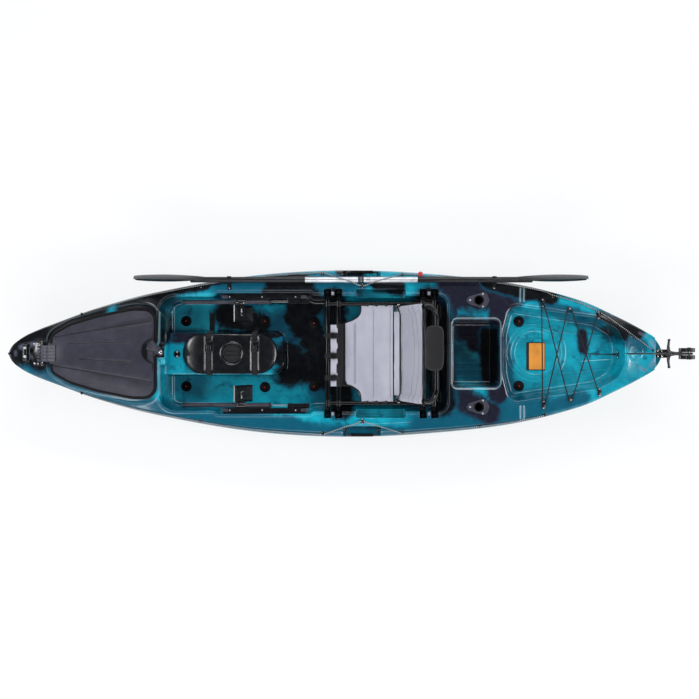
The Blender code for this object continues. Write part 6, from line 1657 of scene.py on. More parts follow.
def slingFront(y):
    corner = np.maximum(0, np.abs(y) - 0.150) / (seat["slingEdge"] - 0.150)
    return seat["slingFront"] + seat["slingFork"] * (1 - (1 - corner) ** 4)


def slingPlace(u, y):
    # The seat's sling: a shallow trough, drawn in at its front corners, with wavy side edges and soft creases.
    edge = seat["slingEdge"]
    x = slingFront(y) + (seat["slingRear"] - slingFront(y)) * u
    tight = (np.abs(y) / edge) ** 2
    z = 0.276 - 0.032 * (1 - tight) - 0.006 * np.sin(math.pi * u) - 0.010 * (1 - u) ** 4
    z = z - 0.0022 * np.cos(x * 2 * math.pi / 0.047) * tight**2 + 0.0010 * np.sin(x * 95 + y * 21) * (1 - u * 0.4) + 0.0008 * np.sin(y * 70 + x * 33)
    wave = 0.0035 * np.cos(x * 2 * math.pi / 0.0480) * smoothStep(0.75, 1.0, np.abs(y) / edge)
    return np.stack([x, np.sign(y) * (np.abs(y) - np.maximum(0, wave)), z], -1)


def thickened(grid, lift):
    # A closed thin sheet from a grid and an offset.
    top, under = np.asarray(grid) + np.asarray(lift) / 2, np.asarray(grid) - np.asarray(lift) / 2
    return gridPart(np.concatenate([top, under[:, ::-1]], 1), aroundV=True, caps=True)


def bandLift(band):
    # Outward thickness of the band, square to its rows.
    along = unit(np.gradient(band, axis=0))
    return np.cross(along, (0.0, 1.0, 0.0)) * 0.0014


def makeSlings():
    edge = seat["slingEdge"]
    y = edge * np.sin(np.linspace(-1, 1, 74) * math.pi / 2 * 0.995) / math.sin(math.pi / 2 * 0.995)
    u = np.linspace(0, 1, 54)
    grid = slingPlace(u[:, None], y[None, :])
    cloth = piece("seat_sling_cloth", [thickened(grid, (0, 0, seat["cloth"]))], looks["sling"], "seat_base", "seat_sling", 60)
    rims = []
    rise = np.array((0, 0, 0.0010))
    for line in (grid[0] + rise, grid[-1] + rise):
        rims.append(swept(line, 0, across=None, section=flatSection(0.0070, 0.0034, 0.45)))
    for sign, column in ((1, -1), (-1, 0)):
        line = grid[:, column]
        rims.append(swept(line, 0, section=flatSection(0.0040, 0.0050, 0.45)))
    binding = piece("seat_sling_binding", rims, looks["binding"], "seat_base")
    seams = []
    for share in (0.22, 0.245, 0.60, 0.93):
        x = seat["slingFront"] + (seat["slingRear"] - seat["slingFront"]) * share
        row = np.array([slingPlace((x - slingFront(v)) / (seat["slingRear"] - slingFront(v)), v) for v in np.linspace(-0.150 if share < 0.3 else -0.215, 0.150 if share < 0.3 else 0.215, 80)])
        seams.append(swept(row + (0, 0, 0.0010), 0.0010, 6))
        for k in range(0, 78, 2):
            seams.append(swept(row[k:k + 2] + (0.0026, 0, 0.0012), 0.00045, 5))
    thread = piece("seat_sling_seams", seams, looks["thread"], "seat_base")

    loops = []
    for sign in (1, -1):
        for x in np.arange(0.126, 0.275, 0.0225):
            a = slingPlace((x - slingFront(edge)) / (seat["slingRear"] - slingFront(edge)), sign * edge)
            rail = np.array((x + 0.004, sign * seat["railY"], seat["z"]))
            path = bentLine([a + (0, sign * -0.004, 0.002), rail + (0, sign * -0.006, 0.0140), rail + (0, sign * 0.0125, 0.0075), rail + (0, sign * 0.010, -0.011), rail + (0, -sign * 0.008, -0.0125), a + (0, sign * -0.002, -0.0028)], 0.006, 0.3)
            loops.append(swept(path, 0.0016, 8))
    piece("seat_sling_elastics", loops, looks["shockCord"], "seat_base")

    # In front: a cloth apron between the two rungs, a webbing band over the second, three buckled straps
    rung, front = seat["rungs"][1], seat["rungs"][0]
    top = seat["z"] + seat["rungRadius"] + 0.0018
    y = np.linspace(-0.162, 0.142, 40)
    profile = curveThrough([(front + 0.0145, 0, top - 0.0085), (front + 0.020, 0, top - 0.0060), (-0.020, 0, top - 0.0052), (-0.008, 0, top - 0.0042), (rung - 0.0050, 0, top - 0.0012)], 0.004)
    rows = profile[:, None, :] * (1, 0, 1) + np.array((0, 1, 0)) * y[None, :, None]
    rows[:, :, 2] -= 0.0012 * np.cos(y * 42)[None, :] ** 2
    apron = piece("seat_front_apron", [thickened(rows, (0, 0, seat["cloth"]))], looks["sling"], "seat_base", sharp=60)
    bandY = np.linspace(-0.163, 0.148, 60)
    line = [(rung + 0.003, 0.0, seat["z"] - 0.0136), (rung - 0.0085, 0.0, seat["z"] - 0.0108), (rung - 0.0138, 0.0, seat["z"]), (rung - 0.0096, 0.0, seat["z"] + 0.0100), (rung, 0.0, top + 0.0004),
            (rung + 0.0090, 0.0, seat["z"] + 0.0112), (rung + 0.0150, 0.0, seat["z"] + 0.0030)]
    rows = []
    for v in bandY:
        rear = [slingPlace((x - seat["slingFront"]) / (seat["slingRear"] - seat["slingFront"]), v) + (0, 0, 0.0024) for x in (0.0275, 0.0385)]
        rows.append(np.vstack([np.array(line) + (0, v, 0), rear]))
    band = np.array(rows).transpose(1, 0, 2)
    straps = [gridPart(np.concatenate([band, (band + bandLift(band))[:, ::-1]], 1), aroundV=True, caps=True)]
    buckles = []
    for yy in (0.0886, -0.011, -0.1195):
        over = [(rung + 0.004, yy, top + 0.0022), (-0.008, yy, top + 0.0016), (-0.028, yy, top + 0.0012), (front + 0.010, yy, seat["z"] + 0.0120), (front, yy, seat["z"] + 0.0142),
                (front - 0.0100, yy, seat["z"] + 0.0100), (front - 0.0142, yy, seat["z"]), (front - 0.0100, yy, seat["z"] - 0.0100), (front, yy, seat["z"] - 0.0142), (front + 0.012, yy, seat["z"] - 0.0118),
                (-0.022, yy, seat["z"] - 0.0060), (-0.006, yy, seat["z"] - 0.0060)]
        straps.append(swept(curveThrough(over, 0.004), 0, across=(0, 1, 0), section=flatSection(0.0250, 0.0016, 0.45)))
        lift = top + 0.0022
        for x0, x1, high in ((-0.0330, -0.0295, 0.0034), (-0.0235, -0.0205, 0.0030), (-0.0145, -0.0110, 0.0034)):
            buckles.append(block((x0, yy - 0.0160, lift - 0.0006), (x1, yy + 0.0160, lift + high), 0.001))
        for side in (-1, 1):
            y0, y1 = sorted((yy + side * 0.0135, yy + side * 0.0165))
            buckles.append(block((-0.0330, y0, lift - 0.0006), (-0.0110, y1, lift + 0.0028), 0.001))
    piece("seat_front_webbing", straps, looks["webbing"], "seat_base", sharp=50)
    piece("seat_front_buckles", buckles, looks["black"], "seat_base")

    # Behind: the sling's tail runs on under the back to the next rung
    u, v = np.meshgrid(np.linspace(0, 1, 40), np.linspace(-0.206, 0.206, 60), indexing="ij")
    x = 0.2795 + 0.132 * u
    z = 0.2440 + 0.0290 * u**1.5 + 0.0300 * (v / 0.206) ** 2 * (1 - u) + 0.0010 * np.sin(x * 120 + v * 25)
    tail = piece("seat_rear_tail", [thickened(np.stack([x, v, z], -1), (0, 0, seat["cloth"]))], looks["sling"], "seat_base", sharp=60)

    # The back's cloth, a sleeve round each side tube
    reach = np.linspace(0.050, 0.355, 62)
    inner = np.linspace(-0.2035, 0.2035, 64)
    wrap = np.radians(np.linspace(128, -62, 12))
    half, round_ = seat["backHalf"], seat["backRadius"] + 0.0016
    sleeve = np.c_[half + round_ * np.cos(wrap), -round_ * np.sin(wrap)]
    across = np.vstack([sleeve[::-1] * (-1, 1), np.c_[inner, 0 * inner], sleeve])
    uu, vv = np.meshgrid(reach, across[:, 0], indexing="ij")
    free = smoothStep(0.2055, 0.190, np.abs(vv)) * (np.abs(vv) < 0.2055)
    hollow = 0.022 * (1 - (vv / 0.2055) ** 2) * (1 - ((uu - 0.24) / 0.19) ** 2)
    ripple = 0.0014 * np.sin(uu * 62 + vv * 9) + 0.0010 * np.sin(vv * 48 + uu * 25)
    edgeBehind = sleeve[0, 1]
    flatPart_ = np.where(np.abs(vv) < 0.2055, edgeBehind * (1 - free) - 0.002 * free + (hollow + ripple) * free, across[:, 1][None, :])
    back = onBack(uu, vv, flatPart_)
    behind = onBack(0, 0, 1) - onBack(0, 0, 0)
    backCloth = piece("seat_back_cloth", [thickened(back, behind * seat["cloth"])], looks["sling"], "seat_back", "seat_back_sling", 60)
    rims = [swept(back[k] - behind * 0.0004, 0, section=flatSection(0.0100, 0.0036, 0.45)) for k in (0, -1)]
    rims += [swept(back[:, k], 0, section=flatSection(0.0046, 0.0052, 0.45)) for k in (0, -1)]
    binding = piece("seat_back_binding", rims, looks["binding"], "seat_back")
    seams = [swept(back[k] - behind * 0.0011, 0.0010, 6) for k in (3, 30, 44, 56)]
    thread = piece("seat_back_seams", seams, looks["thread"], "seat_back")


def makeSeatBack():
    half, top = seat["backHalf"], seat["backTop"]
    stations = (-0.014, seat["bend"], top)
    leans = seat["leans"]
    knee = onBack(0.10, 0) + unit(onBack(0.10, 0) - onBack(0.0, 0)) * (seat["bend"] - 0.10)
    crown = knee + np.array((math.sin(leans[1]), 0, math.cos(leans[1]))) * (top - seat["bend"])
    side = [onBack(-0.014, 0), knee, crown]
    path = bentLine([p + (0, half, 0) for p in side] + [p - (0, half, 0) for p in side[::-1]], 0.085, 0.08)
    parts = [swept(path, seat["backRadius"], 36)]
    for sign in (1, -1):
        centre = onBack(0.03, sign * half)
        parts.append(turned(((0.0112, -0.012), (0.0126, -0.010), (0.0126, 0.010), (0.0112, 0.012)), centre, onBack(0.1, 0) - onBack(0, 0), 32))
    piece("seat_back_tube", parts, looks["tube"], "seat_back", "seat_back_frame")


def makeHeadCushion():
    # Foam sleeve round the top tube: a rounded pillow, blown out by cloth pressure, with seam lines pressed in.
    middle, high, deep, left, right = seat["headMiddle"], 0.0555, 0.0250, -0.0765, 0.1290
    y = left + (right - left) * (1 - np.cos(np.linspace(0, math.pi, 34))) / 2
    share = np.maximum(1e-3, 1 - np.abs((y - 0.0262) / 0.1028) ** 7) ** (1 / 3)
    angle = np.linspace(0, 2 * math.pi, 56, endpoint=False)
    c, s = np.cos(angle), np.sin(angle)
    up, out = np.sign(c) * np.abs(c) ** 0.8 * high, np.sign(s) * np.abs(s) ** 0.8 * deep
    grid = onBack(middle + share[:, None] * up[None, :], np.repeat(y[:, None], len(angle), 1), share[:, None] * out[None, :])
    pad = piece("seat_head_pad", [gridPart(grid, aroundV=True, caps=True)], looks["pad"], "seat_back", "seat_head_cushion", 0)
    remesh = pad.modifiers.new("even", "REMESH")
    remesh.mode, remesh.voxel_size = "VOXEL", 0.0045
    apply(pad, remesh)
    swell(pad, 0.006, 3.2)
    soften = pad.modifiers.new("soften", "SMOOTH")
    soften.factor, soften.iterations = 0.5, 6
    apply(pad, soften)
    low, high2 = creasePad(pad)
    finer = pad.modifiers.new("finer", "SUBSURF")
    finer.levels = finer.render_levels = 1
    pad.data.shade_smooth()


def apply(made, modifier):
    bpy.context.view_layer.objects.active = made
    with bpy.context.temp_override(object=made, active_object=made, selected_objects=[made]):
        bpy.ops.object.modifier_apply(modifier=modifier.name)


def swell(made, farthest, pressure):
    # Blows the piece up as cloth for twenty frames, and caps how far any point may go.
    scene = bpy.context.scene
    count = len(made.data.vertices)
    before = np.empty(count * 3)
    made.data.vertices.foreach_get("co", before)
    cloth = made.modifiers.new("swell", "CLOTH")
    cloth.settings.quality = 6
    cloth.settings.use_pressure = True
    cloth.settings.uniform_pressure_force = pressure
    cloth.settings.effector_weights.gravity = 0
    for number in range(1, 21):
        scene.frame_set(number)
    apply(made, cloth)
    after = np.empty(count * 3)
    made.data.vertices.foreach_get("co", after)
    move = (after - before).reshape(-1, 3)
    length = np.linalg.norm(move, axis=1, keepdims=True)
    move *= np.minimum(1.0, farthest / np.maximum(length, 1e-9))
    made.data.vertices.foreach_set("co", (before.reshape(-1, 3) + move).ravel())
    scene.frame_set(1)


def creasePad(made):
    # Presses seam lines into the pad near its two ends and along the back.
    count = len(made.data.vertices)
    co = np.empty(count * 3)
    made.data.vertices.foreach_get("co", co)
    co = co.reshape(-1, 3)
    centre = onBack(seat["headMiddle"], 0.0)
    inward = np.stack([centre[0] - co[:, 0], np.zeros(count), centre[2] - co[:, 2]], 1)
    inward /= np.maximum(np.linalg.norm(inward, axis=1, keepdims=True), 1e-9)
    press = np.zeros(count)
    for y in (-0.056, 0.108):
        press += 0.0026 * np.exp(-((co[:, 1] - y) / 0.0035) ** 2)
    press += 0.0012 * np.sin(co[:, 1] * 60 + co[:, 2] * 40) * np.exp(-((co[:, 1] - 0.029) / 0.08) ** 4)
    co += inward * press[:, None]
    made.data.vertices.foreach_set("co", co.ravel())
    return co.min(0), co.max(0)


makeSeatFrame()
makeSlings()
makeSeatBack()
makeHeadCushion()
print("seat made")


# Fittings on the deck: rod holders, handles, eyes and lines

def makeRodHolder(side, sign):
    x, y, lean = rodHolder["x"], sign * rodHolder["y"], rodHolder["lean"]
    z = float(onDeck(x, y))
    down = (-math.sin(lean), 0, -math.cos(lean))
    outer, bore, deep = rodHolder["tube"], rodHolder["bore"], rodHolder["depth"]
    profile = [(0.001, deep - 0.005), (bore - 0.002, deep - 0.005), (bore, deep - 0.008), (bore, -0.0040), (bore + 0.0008, -0.0058), (bore + 0.0018, -0.0062),
               (outer + 0.0004, -0.0052), (outer, -0.003), (outer, deep - 0.004), (outer - 0.003, deep), (0.001, deep)]
    tube = [turned(profile, (x, y, z), down, 56, caps=False)]
    border = roundLine([(x - 0.060, y + 0.016, 0.026), (x + 0.036, y + 0.043, 0.022), (x + 0.056, y, 0.030), (x + 0.030, y - 0.043, 0.022), (x - 0.060, y - 0.016, 0.026)]
                       if sign > 0 else [(x - 0.060, y + 0.016, 0.026), (x + 0.030, y + 0.043, 0.022), (x + 0.056, y, 0.030), (x + 0.036, y - 0.043, 0.022), (x - 0.060, y - 0.016, 0.026)])
    middle = border.mean(0)
    rings = []
    for shrink, h in ((0.0, 0.0003), (0.0, 0.0030), (0.0012, 0.0046), (0.0032, 0.0054)):
        line = middle + (border - middle) * (1 - shrink / 0.05)
        rings.append(np.c_[line, onDeck(line[:, 0], line[:, 1]) + h])
    hole = arcLine(x + 0.001, y, 0.0252, 0, -353, 52)
    top = flatPart(line, lambda p: onDeck(p[:, 0], p[:, 1]) + 0.0054 + 0.0016 * smoothStep(0.036, 0.026, np.hypot(p[:, 0] - x, p[:, 1] - y)), (0, 0, 1), 0.006, [], [], [hole])
    lip = np.array([np.c_[hole, onDeck(hole[:, 0], hole[:, 1]) + 0.0070], np.c_[hole, onDeck(hole[:, 0], hole[:, 1]) - 0.001]])
    piece("rod_holder_tube_" + side, tube, looks["matt"], "hull", "rod_holder_" + side)
    piece("rod_holder_flange_" + side, [gridPart(np.array(rings), aroundV=True, flip=True), top, gridPart(lip, aroundV=True)], looks["grip"], "hull")
    heads = []
    for angle, far in ((180, 0.0425), (58, 0.0375), (-58, 0.0375)):
        px, py = x + far * math.cos(math.radians(angle)), y + far * math.sin(math.radians(angle))
        heads.append(screw((px, py, float(onDeck(px, py)) + 0.0056), (0, 0, 1), 0.0046, 0.0018))
    piece("rod_holder_screws_" + side, heads, looks["zinc"], "hull")


def makeSideHandle(side, sign):
    y, out, z = sign * 0.372, sign * 0.402, 0.275
    path = bentLine([(0.0276, y, z), (0.043, y, z), (0.043, out, z), (0.197, out, z), (0.197, y, z), (0.2124, y, z)], 0.007, 0.2)
    parts = [swept(path, 0.0050, 20)]
    for x in (0.0335, 0.2065):
        parts.append(turned(((0.0050, -0.0045), (0.0066, -0.0040), (0.0066, 0.0040), (0.0050, 0.0045)), (x, y, z), (1, 0, 0), 24))
    piece("side_handle_bar_" + side, parts, looks["black"], "handle_" + side, "side_handle_" + side)
    profile = [(0.0052, 0.0652), (0.0074, 0.0652), (0.0083, 0.0662)]
    for x in np.arange(0.070, 0.171, 0.005):
        profile += [(0.0085, x - 0.0012), (0.0085, x + 0.0008), (0.0078, x + 0.0016), (0.0078, x + 0.0026)]
    profile += [(0.0085, 0.1738), (0.0074, 0.1748), (0.0052, 0.1748)]
    piece("side_handle_grip_" + side, [turned(profile, (0, out, z), (1, 0, 0), 40, caps=False)], looks["rubber"], "handle_" + side)


eye = {"leg": 0.0065, "radius": 0.0022, "rise": 0.0075}


def eyeLevel(x, y, half):
    return max(float(onDeck(x, y + s)) for s in (-half, 0, half)) + 0.0006


def makeEye(name, x, y, half, z=None, up=(0, 0, 1), node=None):
    z = eyeLevel(x, y, half) if z is None else z
    moved = turnedTo((x, y, z), (0, 1, 0), up)
    corners = plateCorners(-half, half, 0.0075, 0.006)
    parts = [plate(corners, [(-0.0004, -0.0024 if up == (0, 0, 1) else 0.0), (0, 0.0006), (0, 0.0024), (-0.0006, 0.0032), (-0.0020, 0.0036)], step=0.0012, turn=moved)]
    leg, rise = eye["leg"], eye["rise"]
    path = [(-leg, 0, 0.001), (-leg, 0, rise)] + [(-leg * math.cos(a), 0, rise + leg * math.sin(a)) for a in np.linspace(0.3, math.pi - 0.3, 9)] + [(leg, 0, rise), (leg, 0, 0.001)]
    parts.append(swept(moved(np.array(path)), eye["radius"], 14))
    for s in (-1, 1):
        foot = moved(np.array([(s * leg, 0, 0.0030), (s * leg, 0, 0.0052)]))
        parts.append(swept(foot, np.array([0.0042, 0.0026]), 16))
    piece(name, parts, looks["black"], "hull", node)
    reach = half - 0.0052
    heads = []
    for s in (-reach, reach):
        centre = moved(np.array([(s, 0, 0.0036)]))[0]
        heads.append(screw(centre, up, 0.0036, 0.0015))
    piece(name + "_screws", heads, looks["zinc"], "hull")
    return z + 0.0078


tankEyes = {"starboard_fore": (1.0061, 0.2477), "port_fore": (1.0110, -0.2517), "starboard_aft": (1.2754, 0.188), "port_aft": (1.2803, -0.190)}
tankKnobs = {"starboard": (1.1368, 0.2205), "port": (1.1408, -0.2267)}
level = {}


def makeKnob(name, x, y):
    z = max(float(onDeck(x + dx, y + dy)) for dx in (-0.01, 0, 0.01) for dy in (-0.01, 0, 0.01)) + 0.0010
    profile = ((0.0098, -0.0020), (0.0102, 0.0004), (0.0100, 0.0016), (0.0090, 0.0024), (0.0052, 0.0030), (0.0044, 0.0040), (0.0042, 0.0070), (0.0044, 0.0108), (0.0060, 0.0116),
               (0.0092, 0.0124), (0.0098, 0.0136), (0.0094, 0.0156), (0.0078, 0.0170), (0.0050, 0.0174), (0.0010, 0.0174))
    piece("lacing_knob_" + name, [turned(profile, (x, y, z), sides=44)], looks["black"], "hull", "tank_knob_" + name)
    piece("lacing_knob_screw_" + name, [screw((x, y, z + 0.0172), (0, 0, 1), 0.0038, 0.0016)], looks["zinc"], "hull")
    return z + 0.0072


def roundEye(name, radius, start, end):
    # Points round the inboard leg of an eye, or round a knob, from one angle to another.
    x, y = tankEyes.get(name) or tankKnobs[name]
    if name in tankEyes:
        y -= math.copysign(eye["leg"], y)
    return [(x + radius * math.cos(a), y + radius * math.sin(a), level[name]) for a in np.radians(np.linspace(start, end, 5))]


def cordStops(name, path, r):
    # A knot at each end of a cord.
    parts = []
    for end, ahead in ((path[0], path[4]), (path[-1], path[-5])):
        parts.append(turned(((r, -0.004), (1.8 * r, -0.003), (2 * r, 0.0), (1.75 * r, 0.0035), (0.7 * r, 0.0048)), end, unit(end - ahead), 20))
    return piece(name, parts, looks["shockCord"], "hull")


def makeLacing():
    for name, (x, y) in tankEyes.items():
        level[name] = makeEye("pad_eye_" + name, x, y, 0.021, node="tank_eye_" + name)
    for name, (x, y) in tankKnobs.items():
        level[name] = makeKnob(name, x, y)
    rearZ = 0.262
    rearX = 1.402 - 0.022 * (0.31 - rearZ) / 0.096 - 0.0022
    makeEye("pad_eye_rear", rearX, -0.005, 0.018, rearZ, (-1, 0, 0.2292), "tank_eye_rear")
    leg = eye["leg"]
    route = roundEye("port_aft", leg, -20, -170) + roundEye("starboard", 0.0076, 20, 160) + roundEye("port_fore", leg, -20, -160)
    route += roundEye("starboard_fore", leg, 160, 20) + roundEye("port", 0.0076, -160, -20) + roundEye("starboard_aft", leg, 170, 20)
    raised = []
    for a, b in zip(route, route[1:]):
        raised.append(a)
        if math.dist(a, b) > 0.2:
            lift = 0.0045 if a[1] < 0 else -0.0045
            for share in (0.012, 0.040, 0.12, 0.30, 0.5, 0.70, 0.88, 0.960, 0.988):
                p = np.array(a) + (np.array(b) - a) * share
                raised.append(tuple(p + (0, 0, lift * max(0, 1 - abs(share - 0.5) * 2.2))))
    path = curveThrough(raised + [route[-1]], 0.004)
    lacing = piece("shock_cord_lacing", [swept(path, 0.0030, 14)], looks["shockCord"], "hull", "tank_lacing")
    stops = cordStops("shock_cord_knots", path, 0.0030)
    crossing = (1.2098, -0.0018, 0.3175)
    tail = curveThrough([crossing, (1.25, -0.002, 0.3070), (1.32, -0.0035, 0.2890), (rearX - 0.012, -0.005, 0.2668)], 0.006)
    hook = bentLine([tail[-1], tail[-1] + (0.006, 0, -0.0005), tail[-1] + (0.006, 0, -0.0060), tail[-1] + (0.0005, 0, -0.0060)], 0.002, 0.3)
    cord = piece("shock_cord_tail", [swept(tail, 0.0028, 12)], looks["shockCord"], "hull")
    clip = [turned(((0.0040, -0.010), (0.0058, -0.008), (0.0058, 0.004), (0.0040, 0.006)), tail[-3], unit(tail[-1] - tail[-4]), 20)]
    clip.append(turned(((0.0040, -0.006), (0.0056, -0.004), (0.0056, 0.005), (0.0040, 0.007)), tail[1], unit(tail[3] - tail[0]), 20))
    clips = piece("shock_cord_ends", clip, looks["black"], "hull")


paddle = {"y": 0.362, "z": 0.3165, "radius": 0.014, "joint": 0.115, "button": 0.150}
line = {"radius": 0.0025, "share": 0.965, "eye": (0.1215, 0.332)}


def makeDeckLine(side, sign):
    # A line round the gunwale that runs in to a side eye amidships, over the stowed paddle on starboard.
    r = line["radius"]
    eyeX, eyeY = line["eye"]
    hold = makeEye("pad_eye_side_" + side, eyeX, sign * eyeY, 0.0135, node="side_eye_" + side)

    def laid(places):
        flat = np.array(places, float)
        rise = np.maximum(onDeck(flat[:, 0], flat[:, 1]), topSurface(flat)) + r + 0.0004
        return np.c_[flat, rise]

    def beside(x):
        return (x, sign * line["share"] * float(halfBeam(np.array([x]))[0]))

    points = laid([beside(-1.25 + 0.0906 * k) for k in range(14)]).tolist()
    start, end = np.array(points[-1]), laid([beside(0.318)])[0]
    clear = paddle["radius"] + r + 0.0010
    inward = [(paddle["y"] + offset * clear, paddle["z"] + clear * math.sqrt(max(0.0, 1 - offset**2))) for offset in (1, 0.9, 0.5, 0.0, -0.5, -0.9, -1)]
    for a, back in ((start, False), (end, True)):
        some = []
        for y, z in inward:
            share = (abs(a[1]) - y) / (abs(a[1]) - eyeY)
            height = z if sign > 0 else a[2] + (hold - a[2]) * share + 0.010 * math.sin(math.pi * share)
            some.append((a[0] + (eyeX - a[0]) * share, sign * y, height))
        if sign < 0:
            some = some[::3]
        points += [(eyeX, sign * eyeY, hold)] + some[::-1] if back else some
    rest = [beside(0.318 + 0.0997 * k) for k in range(8)]
    if sign > 0:
        rest += [(1.060, 0.2865), (1.128, 0.268), (1.196, 0.2453), (1.24, 0.225), (1.285, 0.2025), (1.335, 0.170), (1.390, 0.1305), (1.4418, 0.091), (1.495, 0.050), (1.538, 0.016)]
    points += laid(rest).tolist()
    path = curveThrough(points, 0.005)
    made = piece("deck_line_" + side, [swept(path, r, 12)], looks["deckLine"], "hull", "gunwale_line_" + side)
    stops = cordStops("deck_line_knots_" + side, path, r)
    stations = [-1.25, -0.672, -0.0722, 0.318, 0.70, 1.0159 if sign < 0 else 1.060] + ([1.285, 1.4418] if sign > 0 else [])
    parts, heads = [], []
    for x in stations:
        k = int(np.argmin(np.abs(path[:, 0] - x) + np.where(np.abs(path[:, 1]) < 0.34, 0.05 * (abs(x) < 0.4), 0)))
        place, way = path[k], unit(path[min(k + 2, len(path) - 1)] - path[max(k - 2, 0)])
        inward2 = unit(np.array((-way[1], way[0], 0.0)))
        inward2 *= -1 if inward2[1] * sign > 0 else 1
        base = place - (0, 0, r + 0.0004)
        moved = turnedTo(base, inward2, (0, 0, 1))
        parts.append(plate(plateCorners(-0.0060, 0.0150, 0.0062, 0.0055), [(-0.0004, -0.0022), (0, 0.0002), (0, 0.0010), (-0.0008, 0.0016)], step=0.001, turn=moved))
        arch = [(-0.0040 * math.cos(a) + 0.0, 0, 0.0010 + 0.0064 * math.sin(a)) for a in np.linspace(0, math.pi, 9)]
        parts.append(swept(moved(np.array(arch)), 0.0015, 10))
        heads.append(screw(moved(np.array([(0.0100, 0, 0.0016)]))[0], (0, 0, 1), 0.0030, 0.0012))
    piece("line_eyelets_" + side, parts, looks["black"], "hull")
    piece("line_eyelet_screws_" + side, heads, looks["dullSteel"], "hull")


# Paddle

def makeBlade(root, tip):
    # A spooned blade on edge, hollow side inboard, with a rib that fades out along its middle.
    shares = (0.0, 0.12, 0.26, 0.42, 0.62, 0.80, 0.92, 0.98, 1.0)
    halves = (0.013, 0.022, 0.045, 0.073, 0.089, 0.086, 0.068, 0.045, 0.024)
    thicks = (0.0105, 0.0095, 0.0075, 0.0055, 0.0045, 0.0040, 0.0035, 0.0030, 0.0025)
    share = np.r_[np.linspace(0, 0.9, 54), 0.9 + 0.1 * np.sin(np.linspace(0.08, math.pi / 2, 20))]
    table = curveThrough(np.c_[np.array(shares), np.array(halves), np.array(thicks)], 0.004)
    order = np.argsort(table[:, 0])
    half, thick = np.interp(share, table[order, 0], table[order, 1]), np.interp(share, table[order, 0], table[order, 2])
    angle = np.linspace(0, 2 * math.pi, 64, endpoint=False)
    s, side = np.cos(angle), np.sin(angle)
    bow = 0.024 * np.sin(math.pi * np.minimum(1, share * 0.75))
    body = thick[:, None] * np.sign(side) * np.abs(side) ** 0.8 * (1 - 0.55 * s**2)
    ribbed = 0.0030 * np.exp(-((s[None, :] * half[:, None]) / 0.008) ** 2) * (1 - smoothStep(0.35, 0.85, share))[:, None] * np.sign(side)
    y = paddle["y"] + bow[:, None] * (1 - s**2) - 0.004 * np.sin(math.pi * share)[:, None] + body + ribbed * (np.abs(side) > 0.3)
    x = np.repeat((root + (tip - root) * share)[:, None], len(angle), 1)
    return gridPart(np.stack([x, y, paddle["z"] + s * half[:, None]], -1), aroundV=True, caps=True)


def shaft(profile):
    return turned([(r, x) for r, x in profile], (0, paddle["y"], paddle["z"]), (1, 0, 0), 48, caps=False)


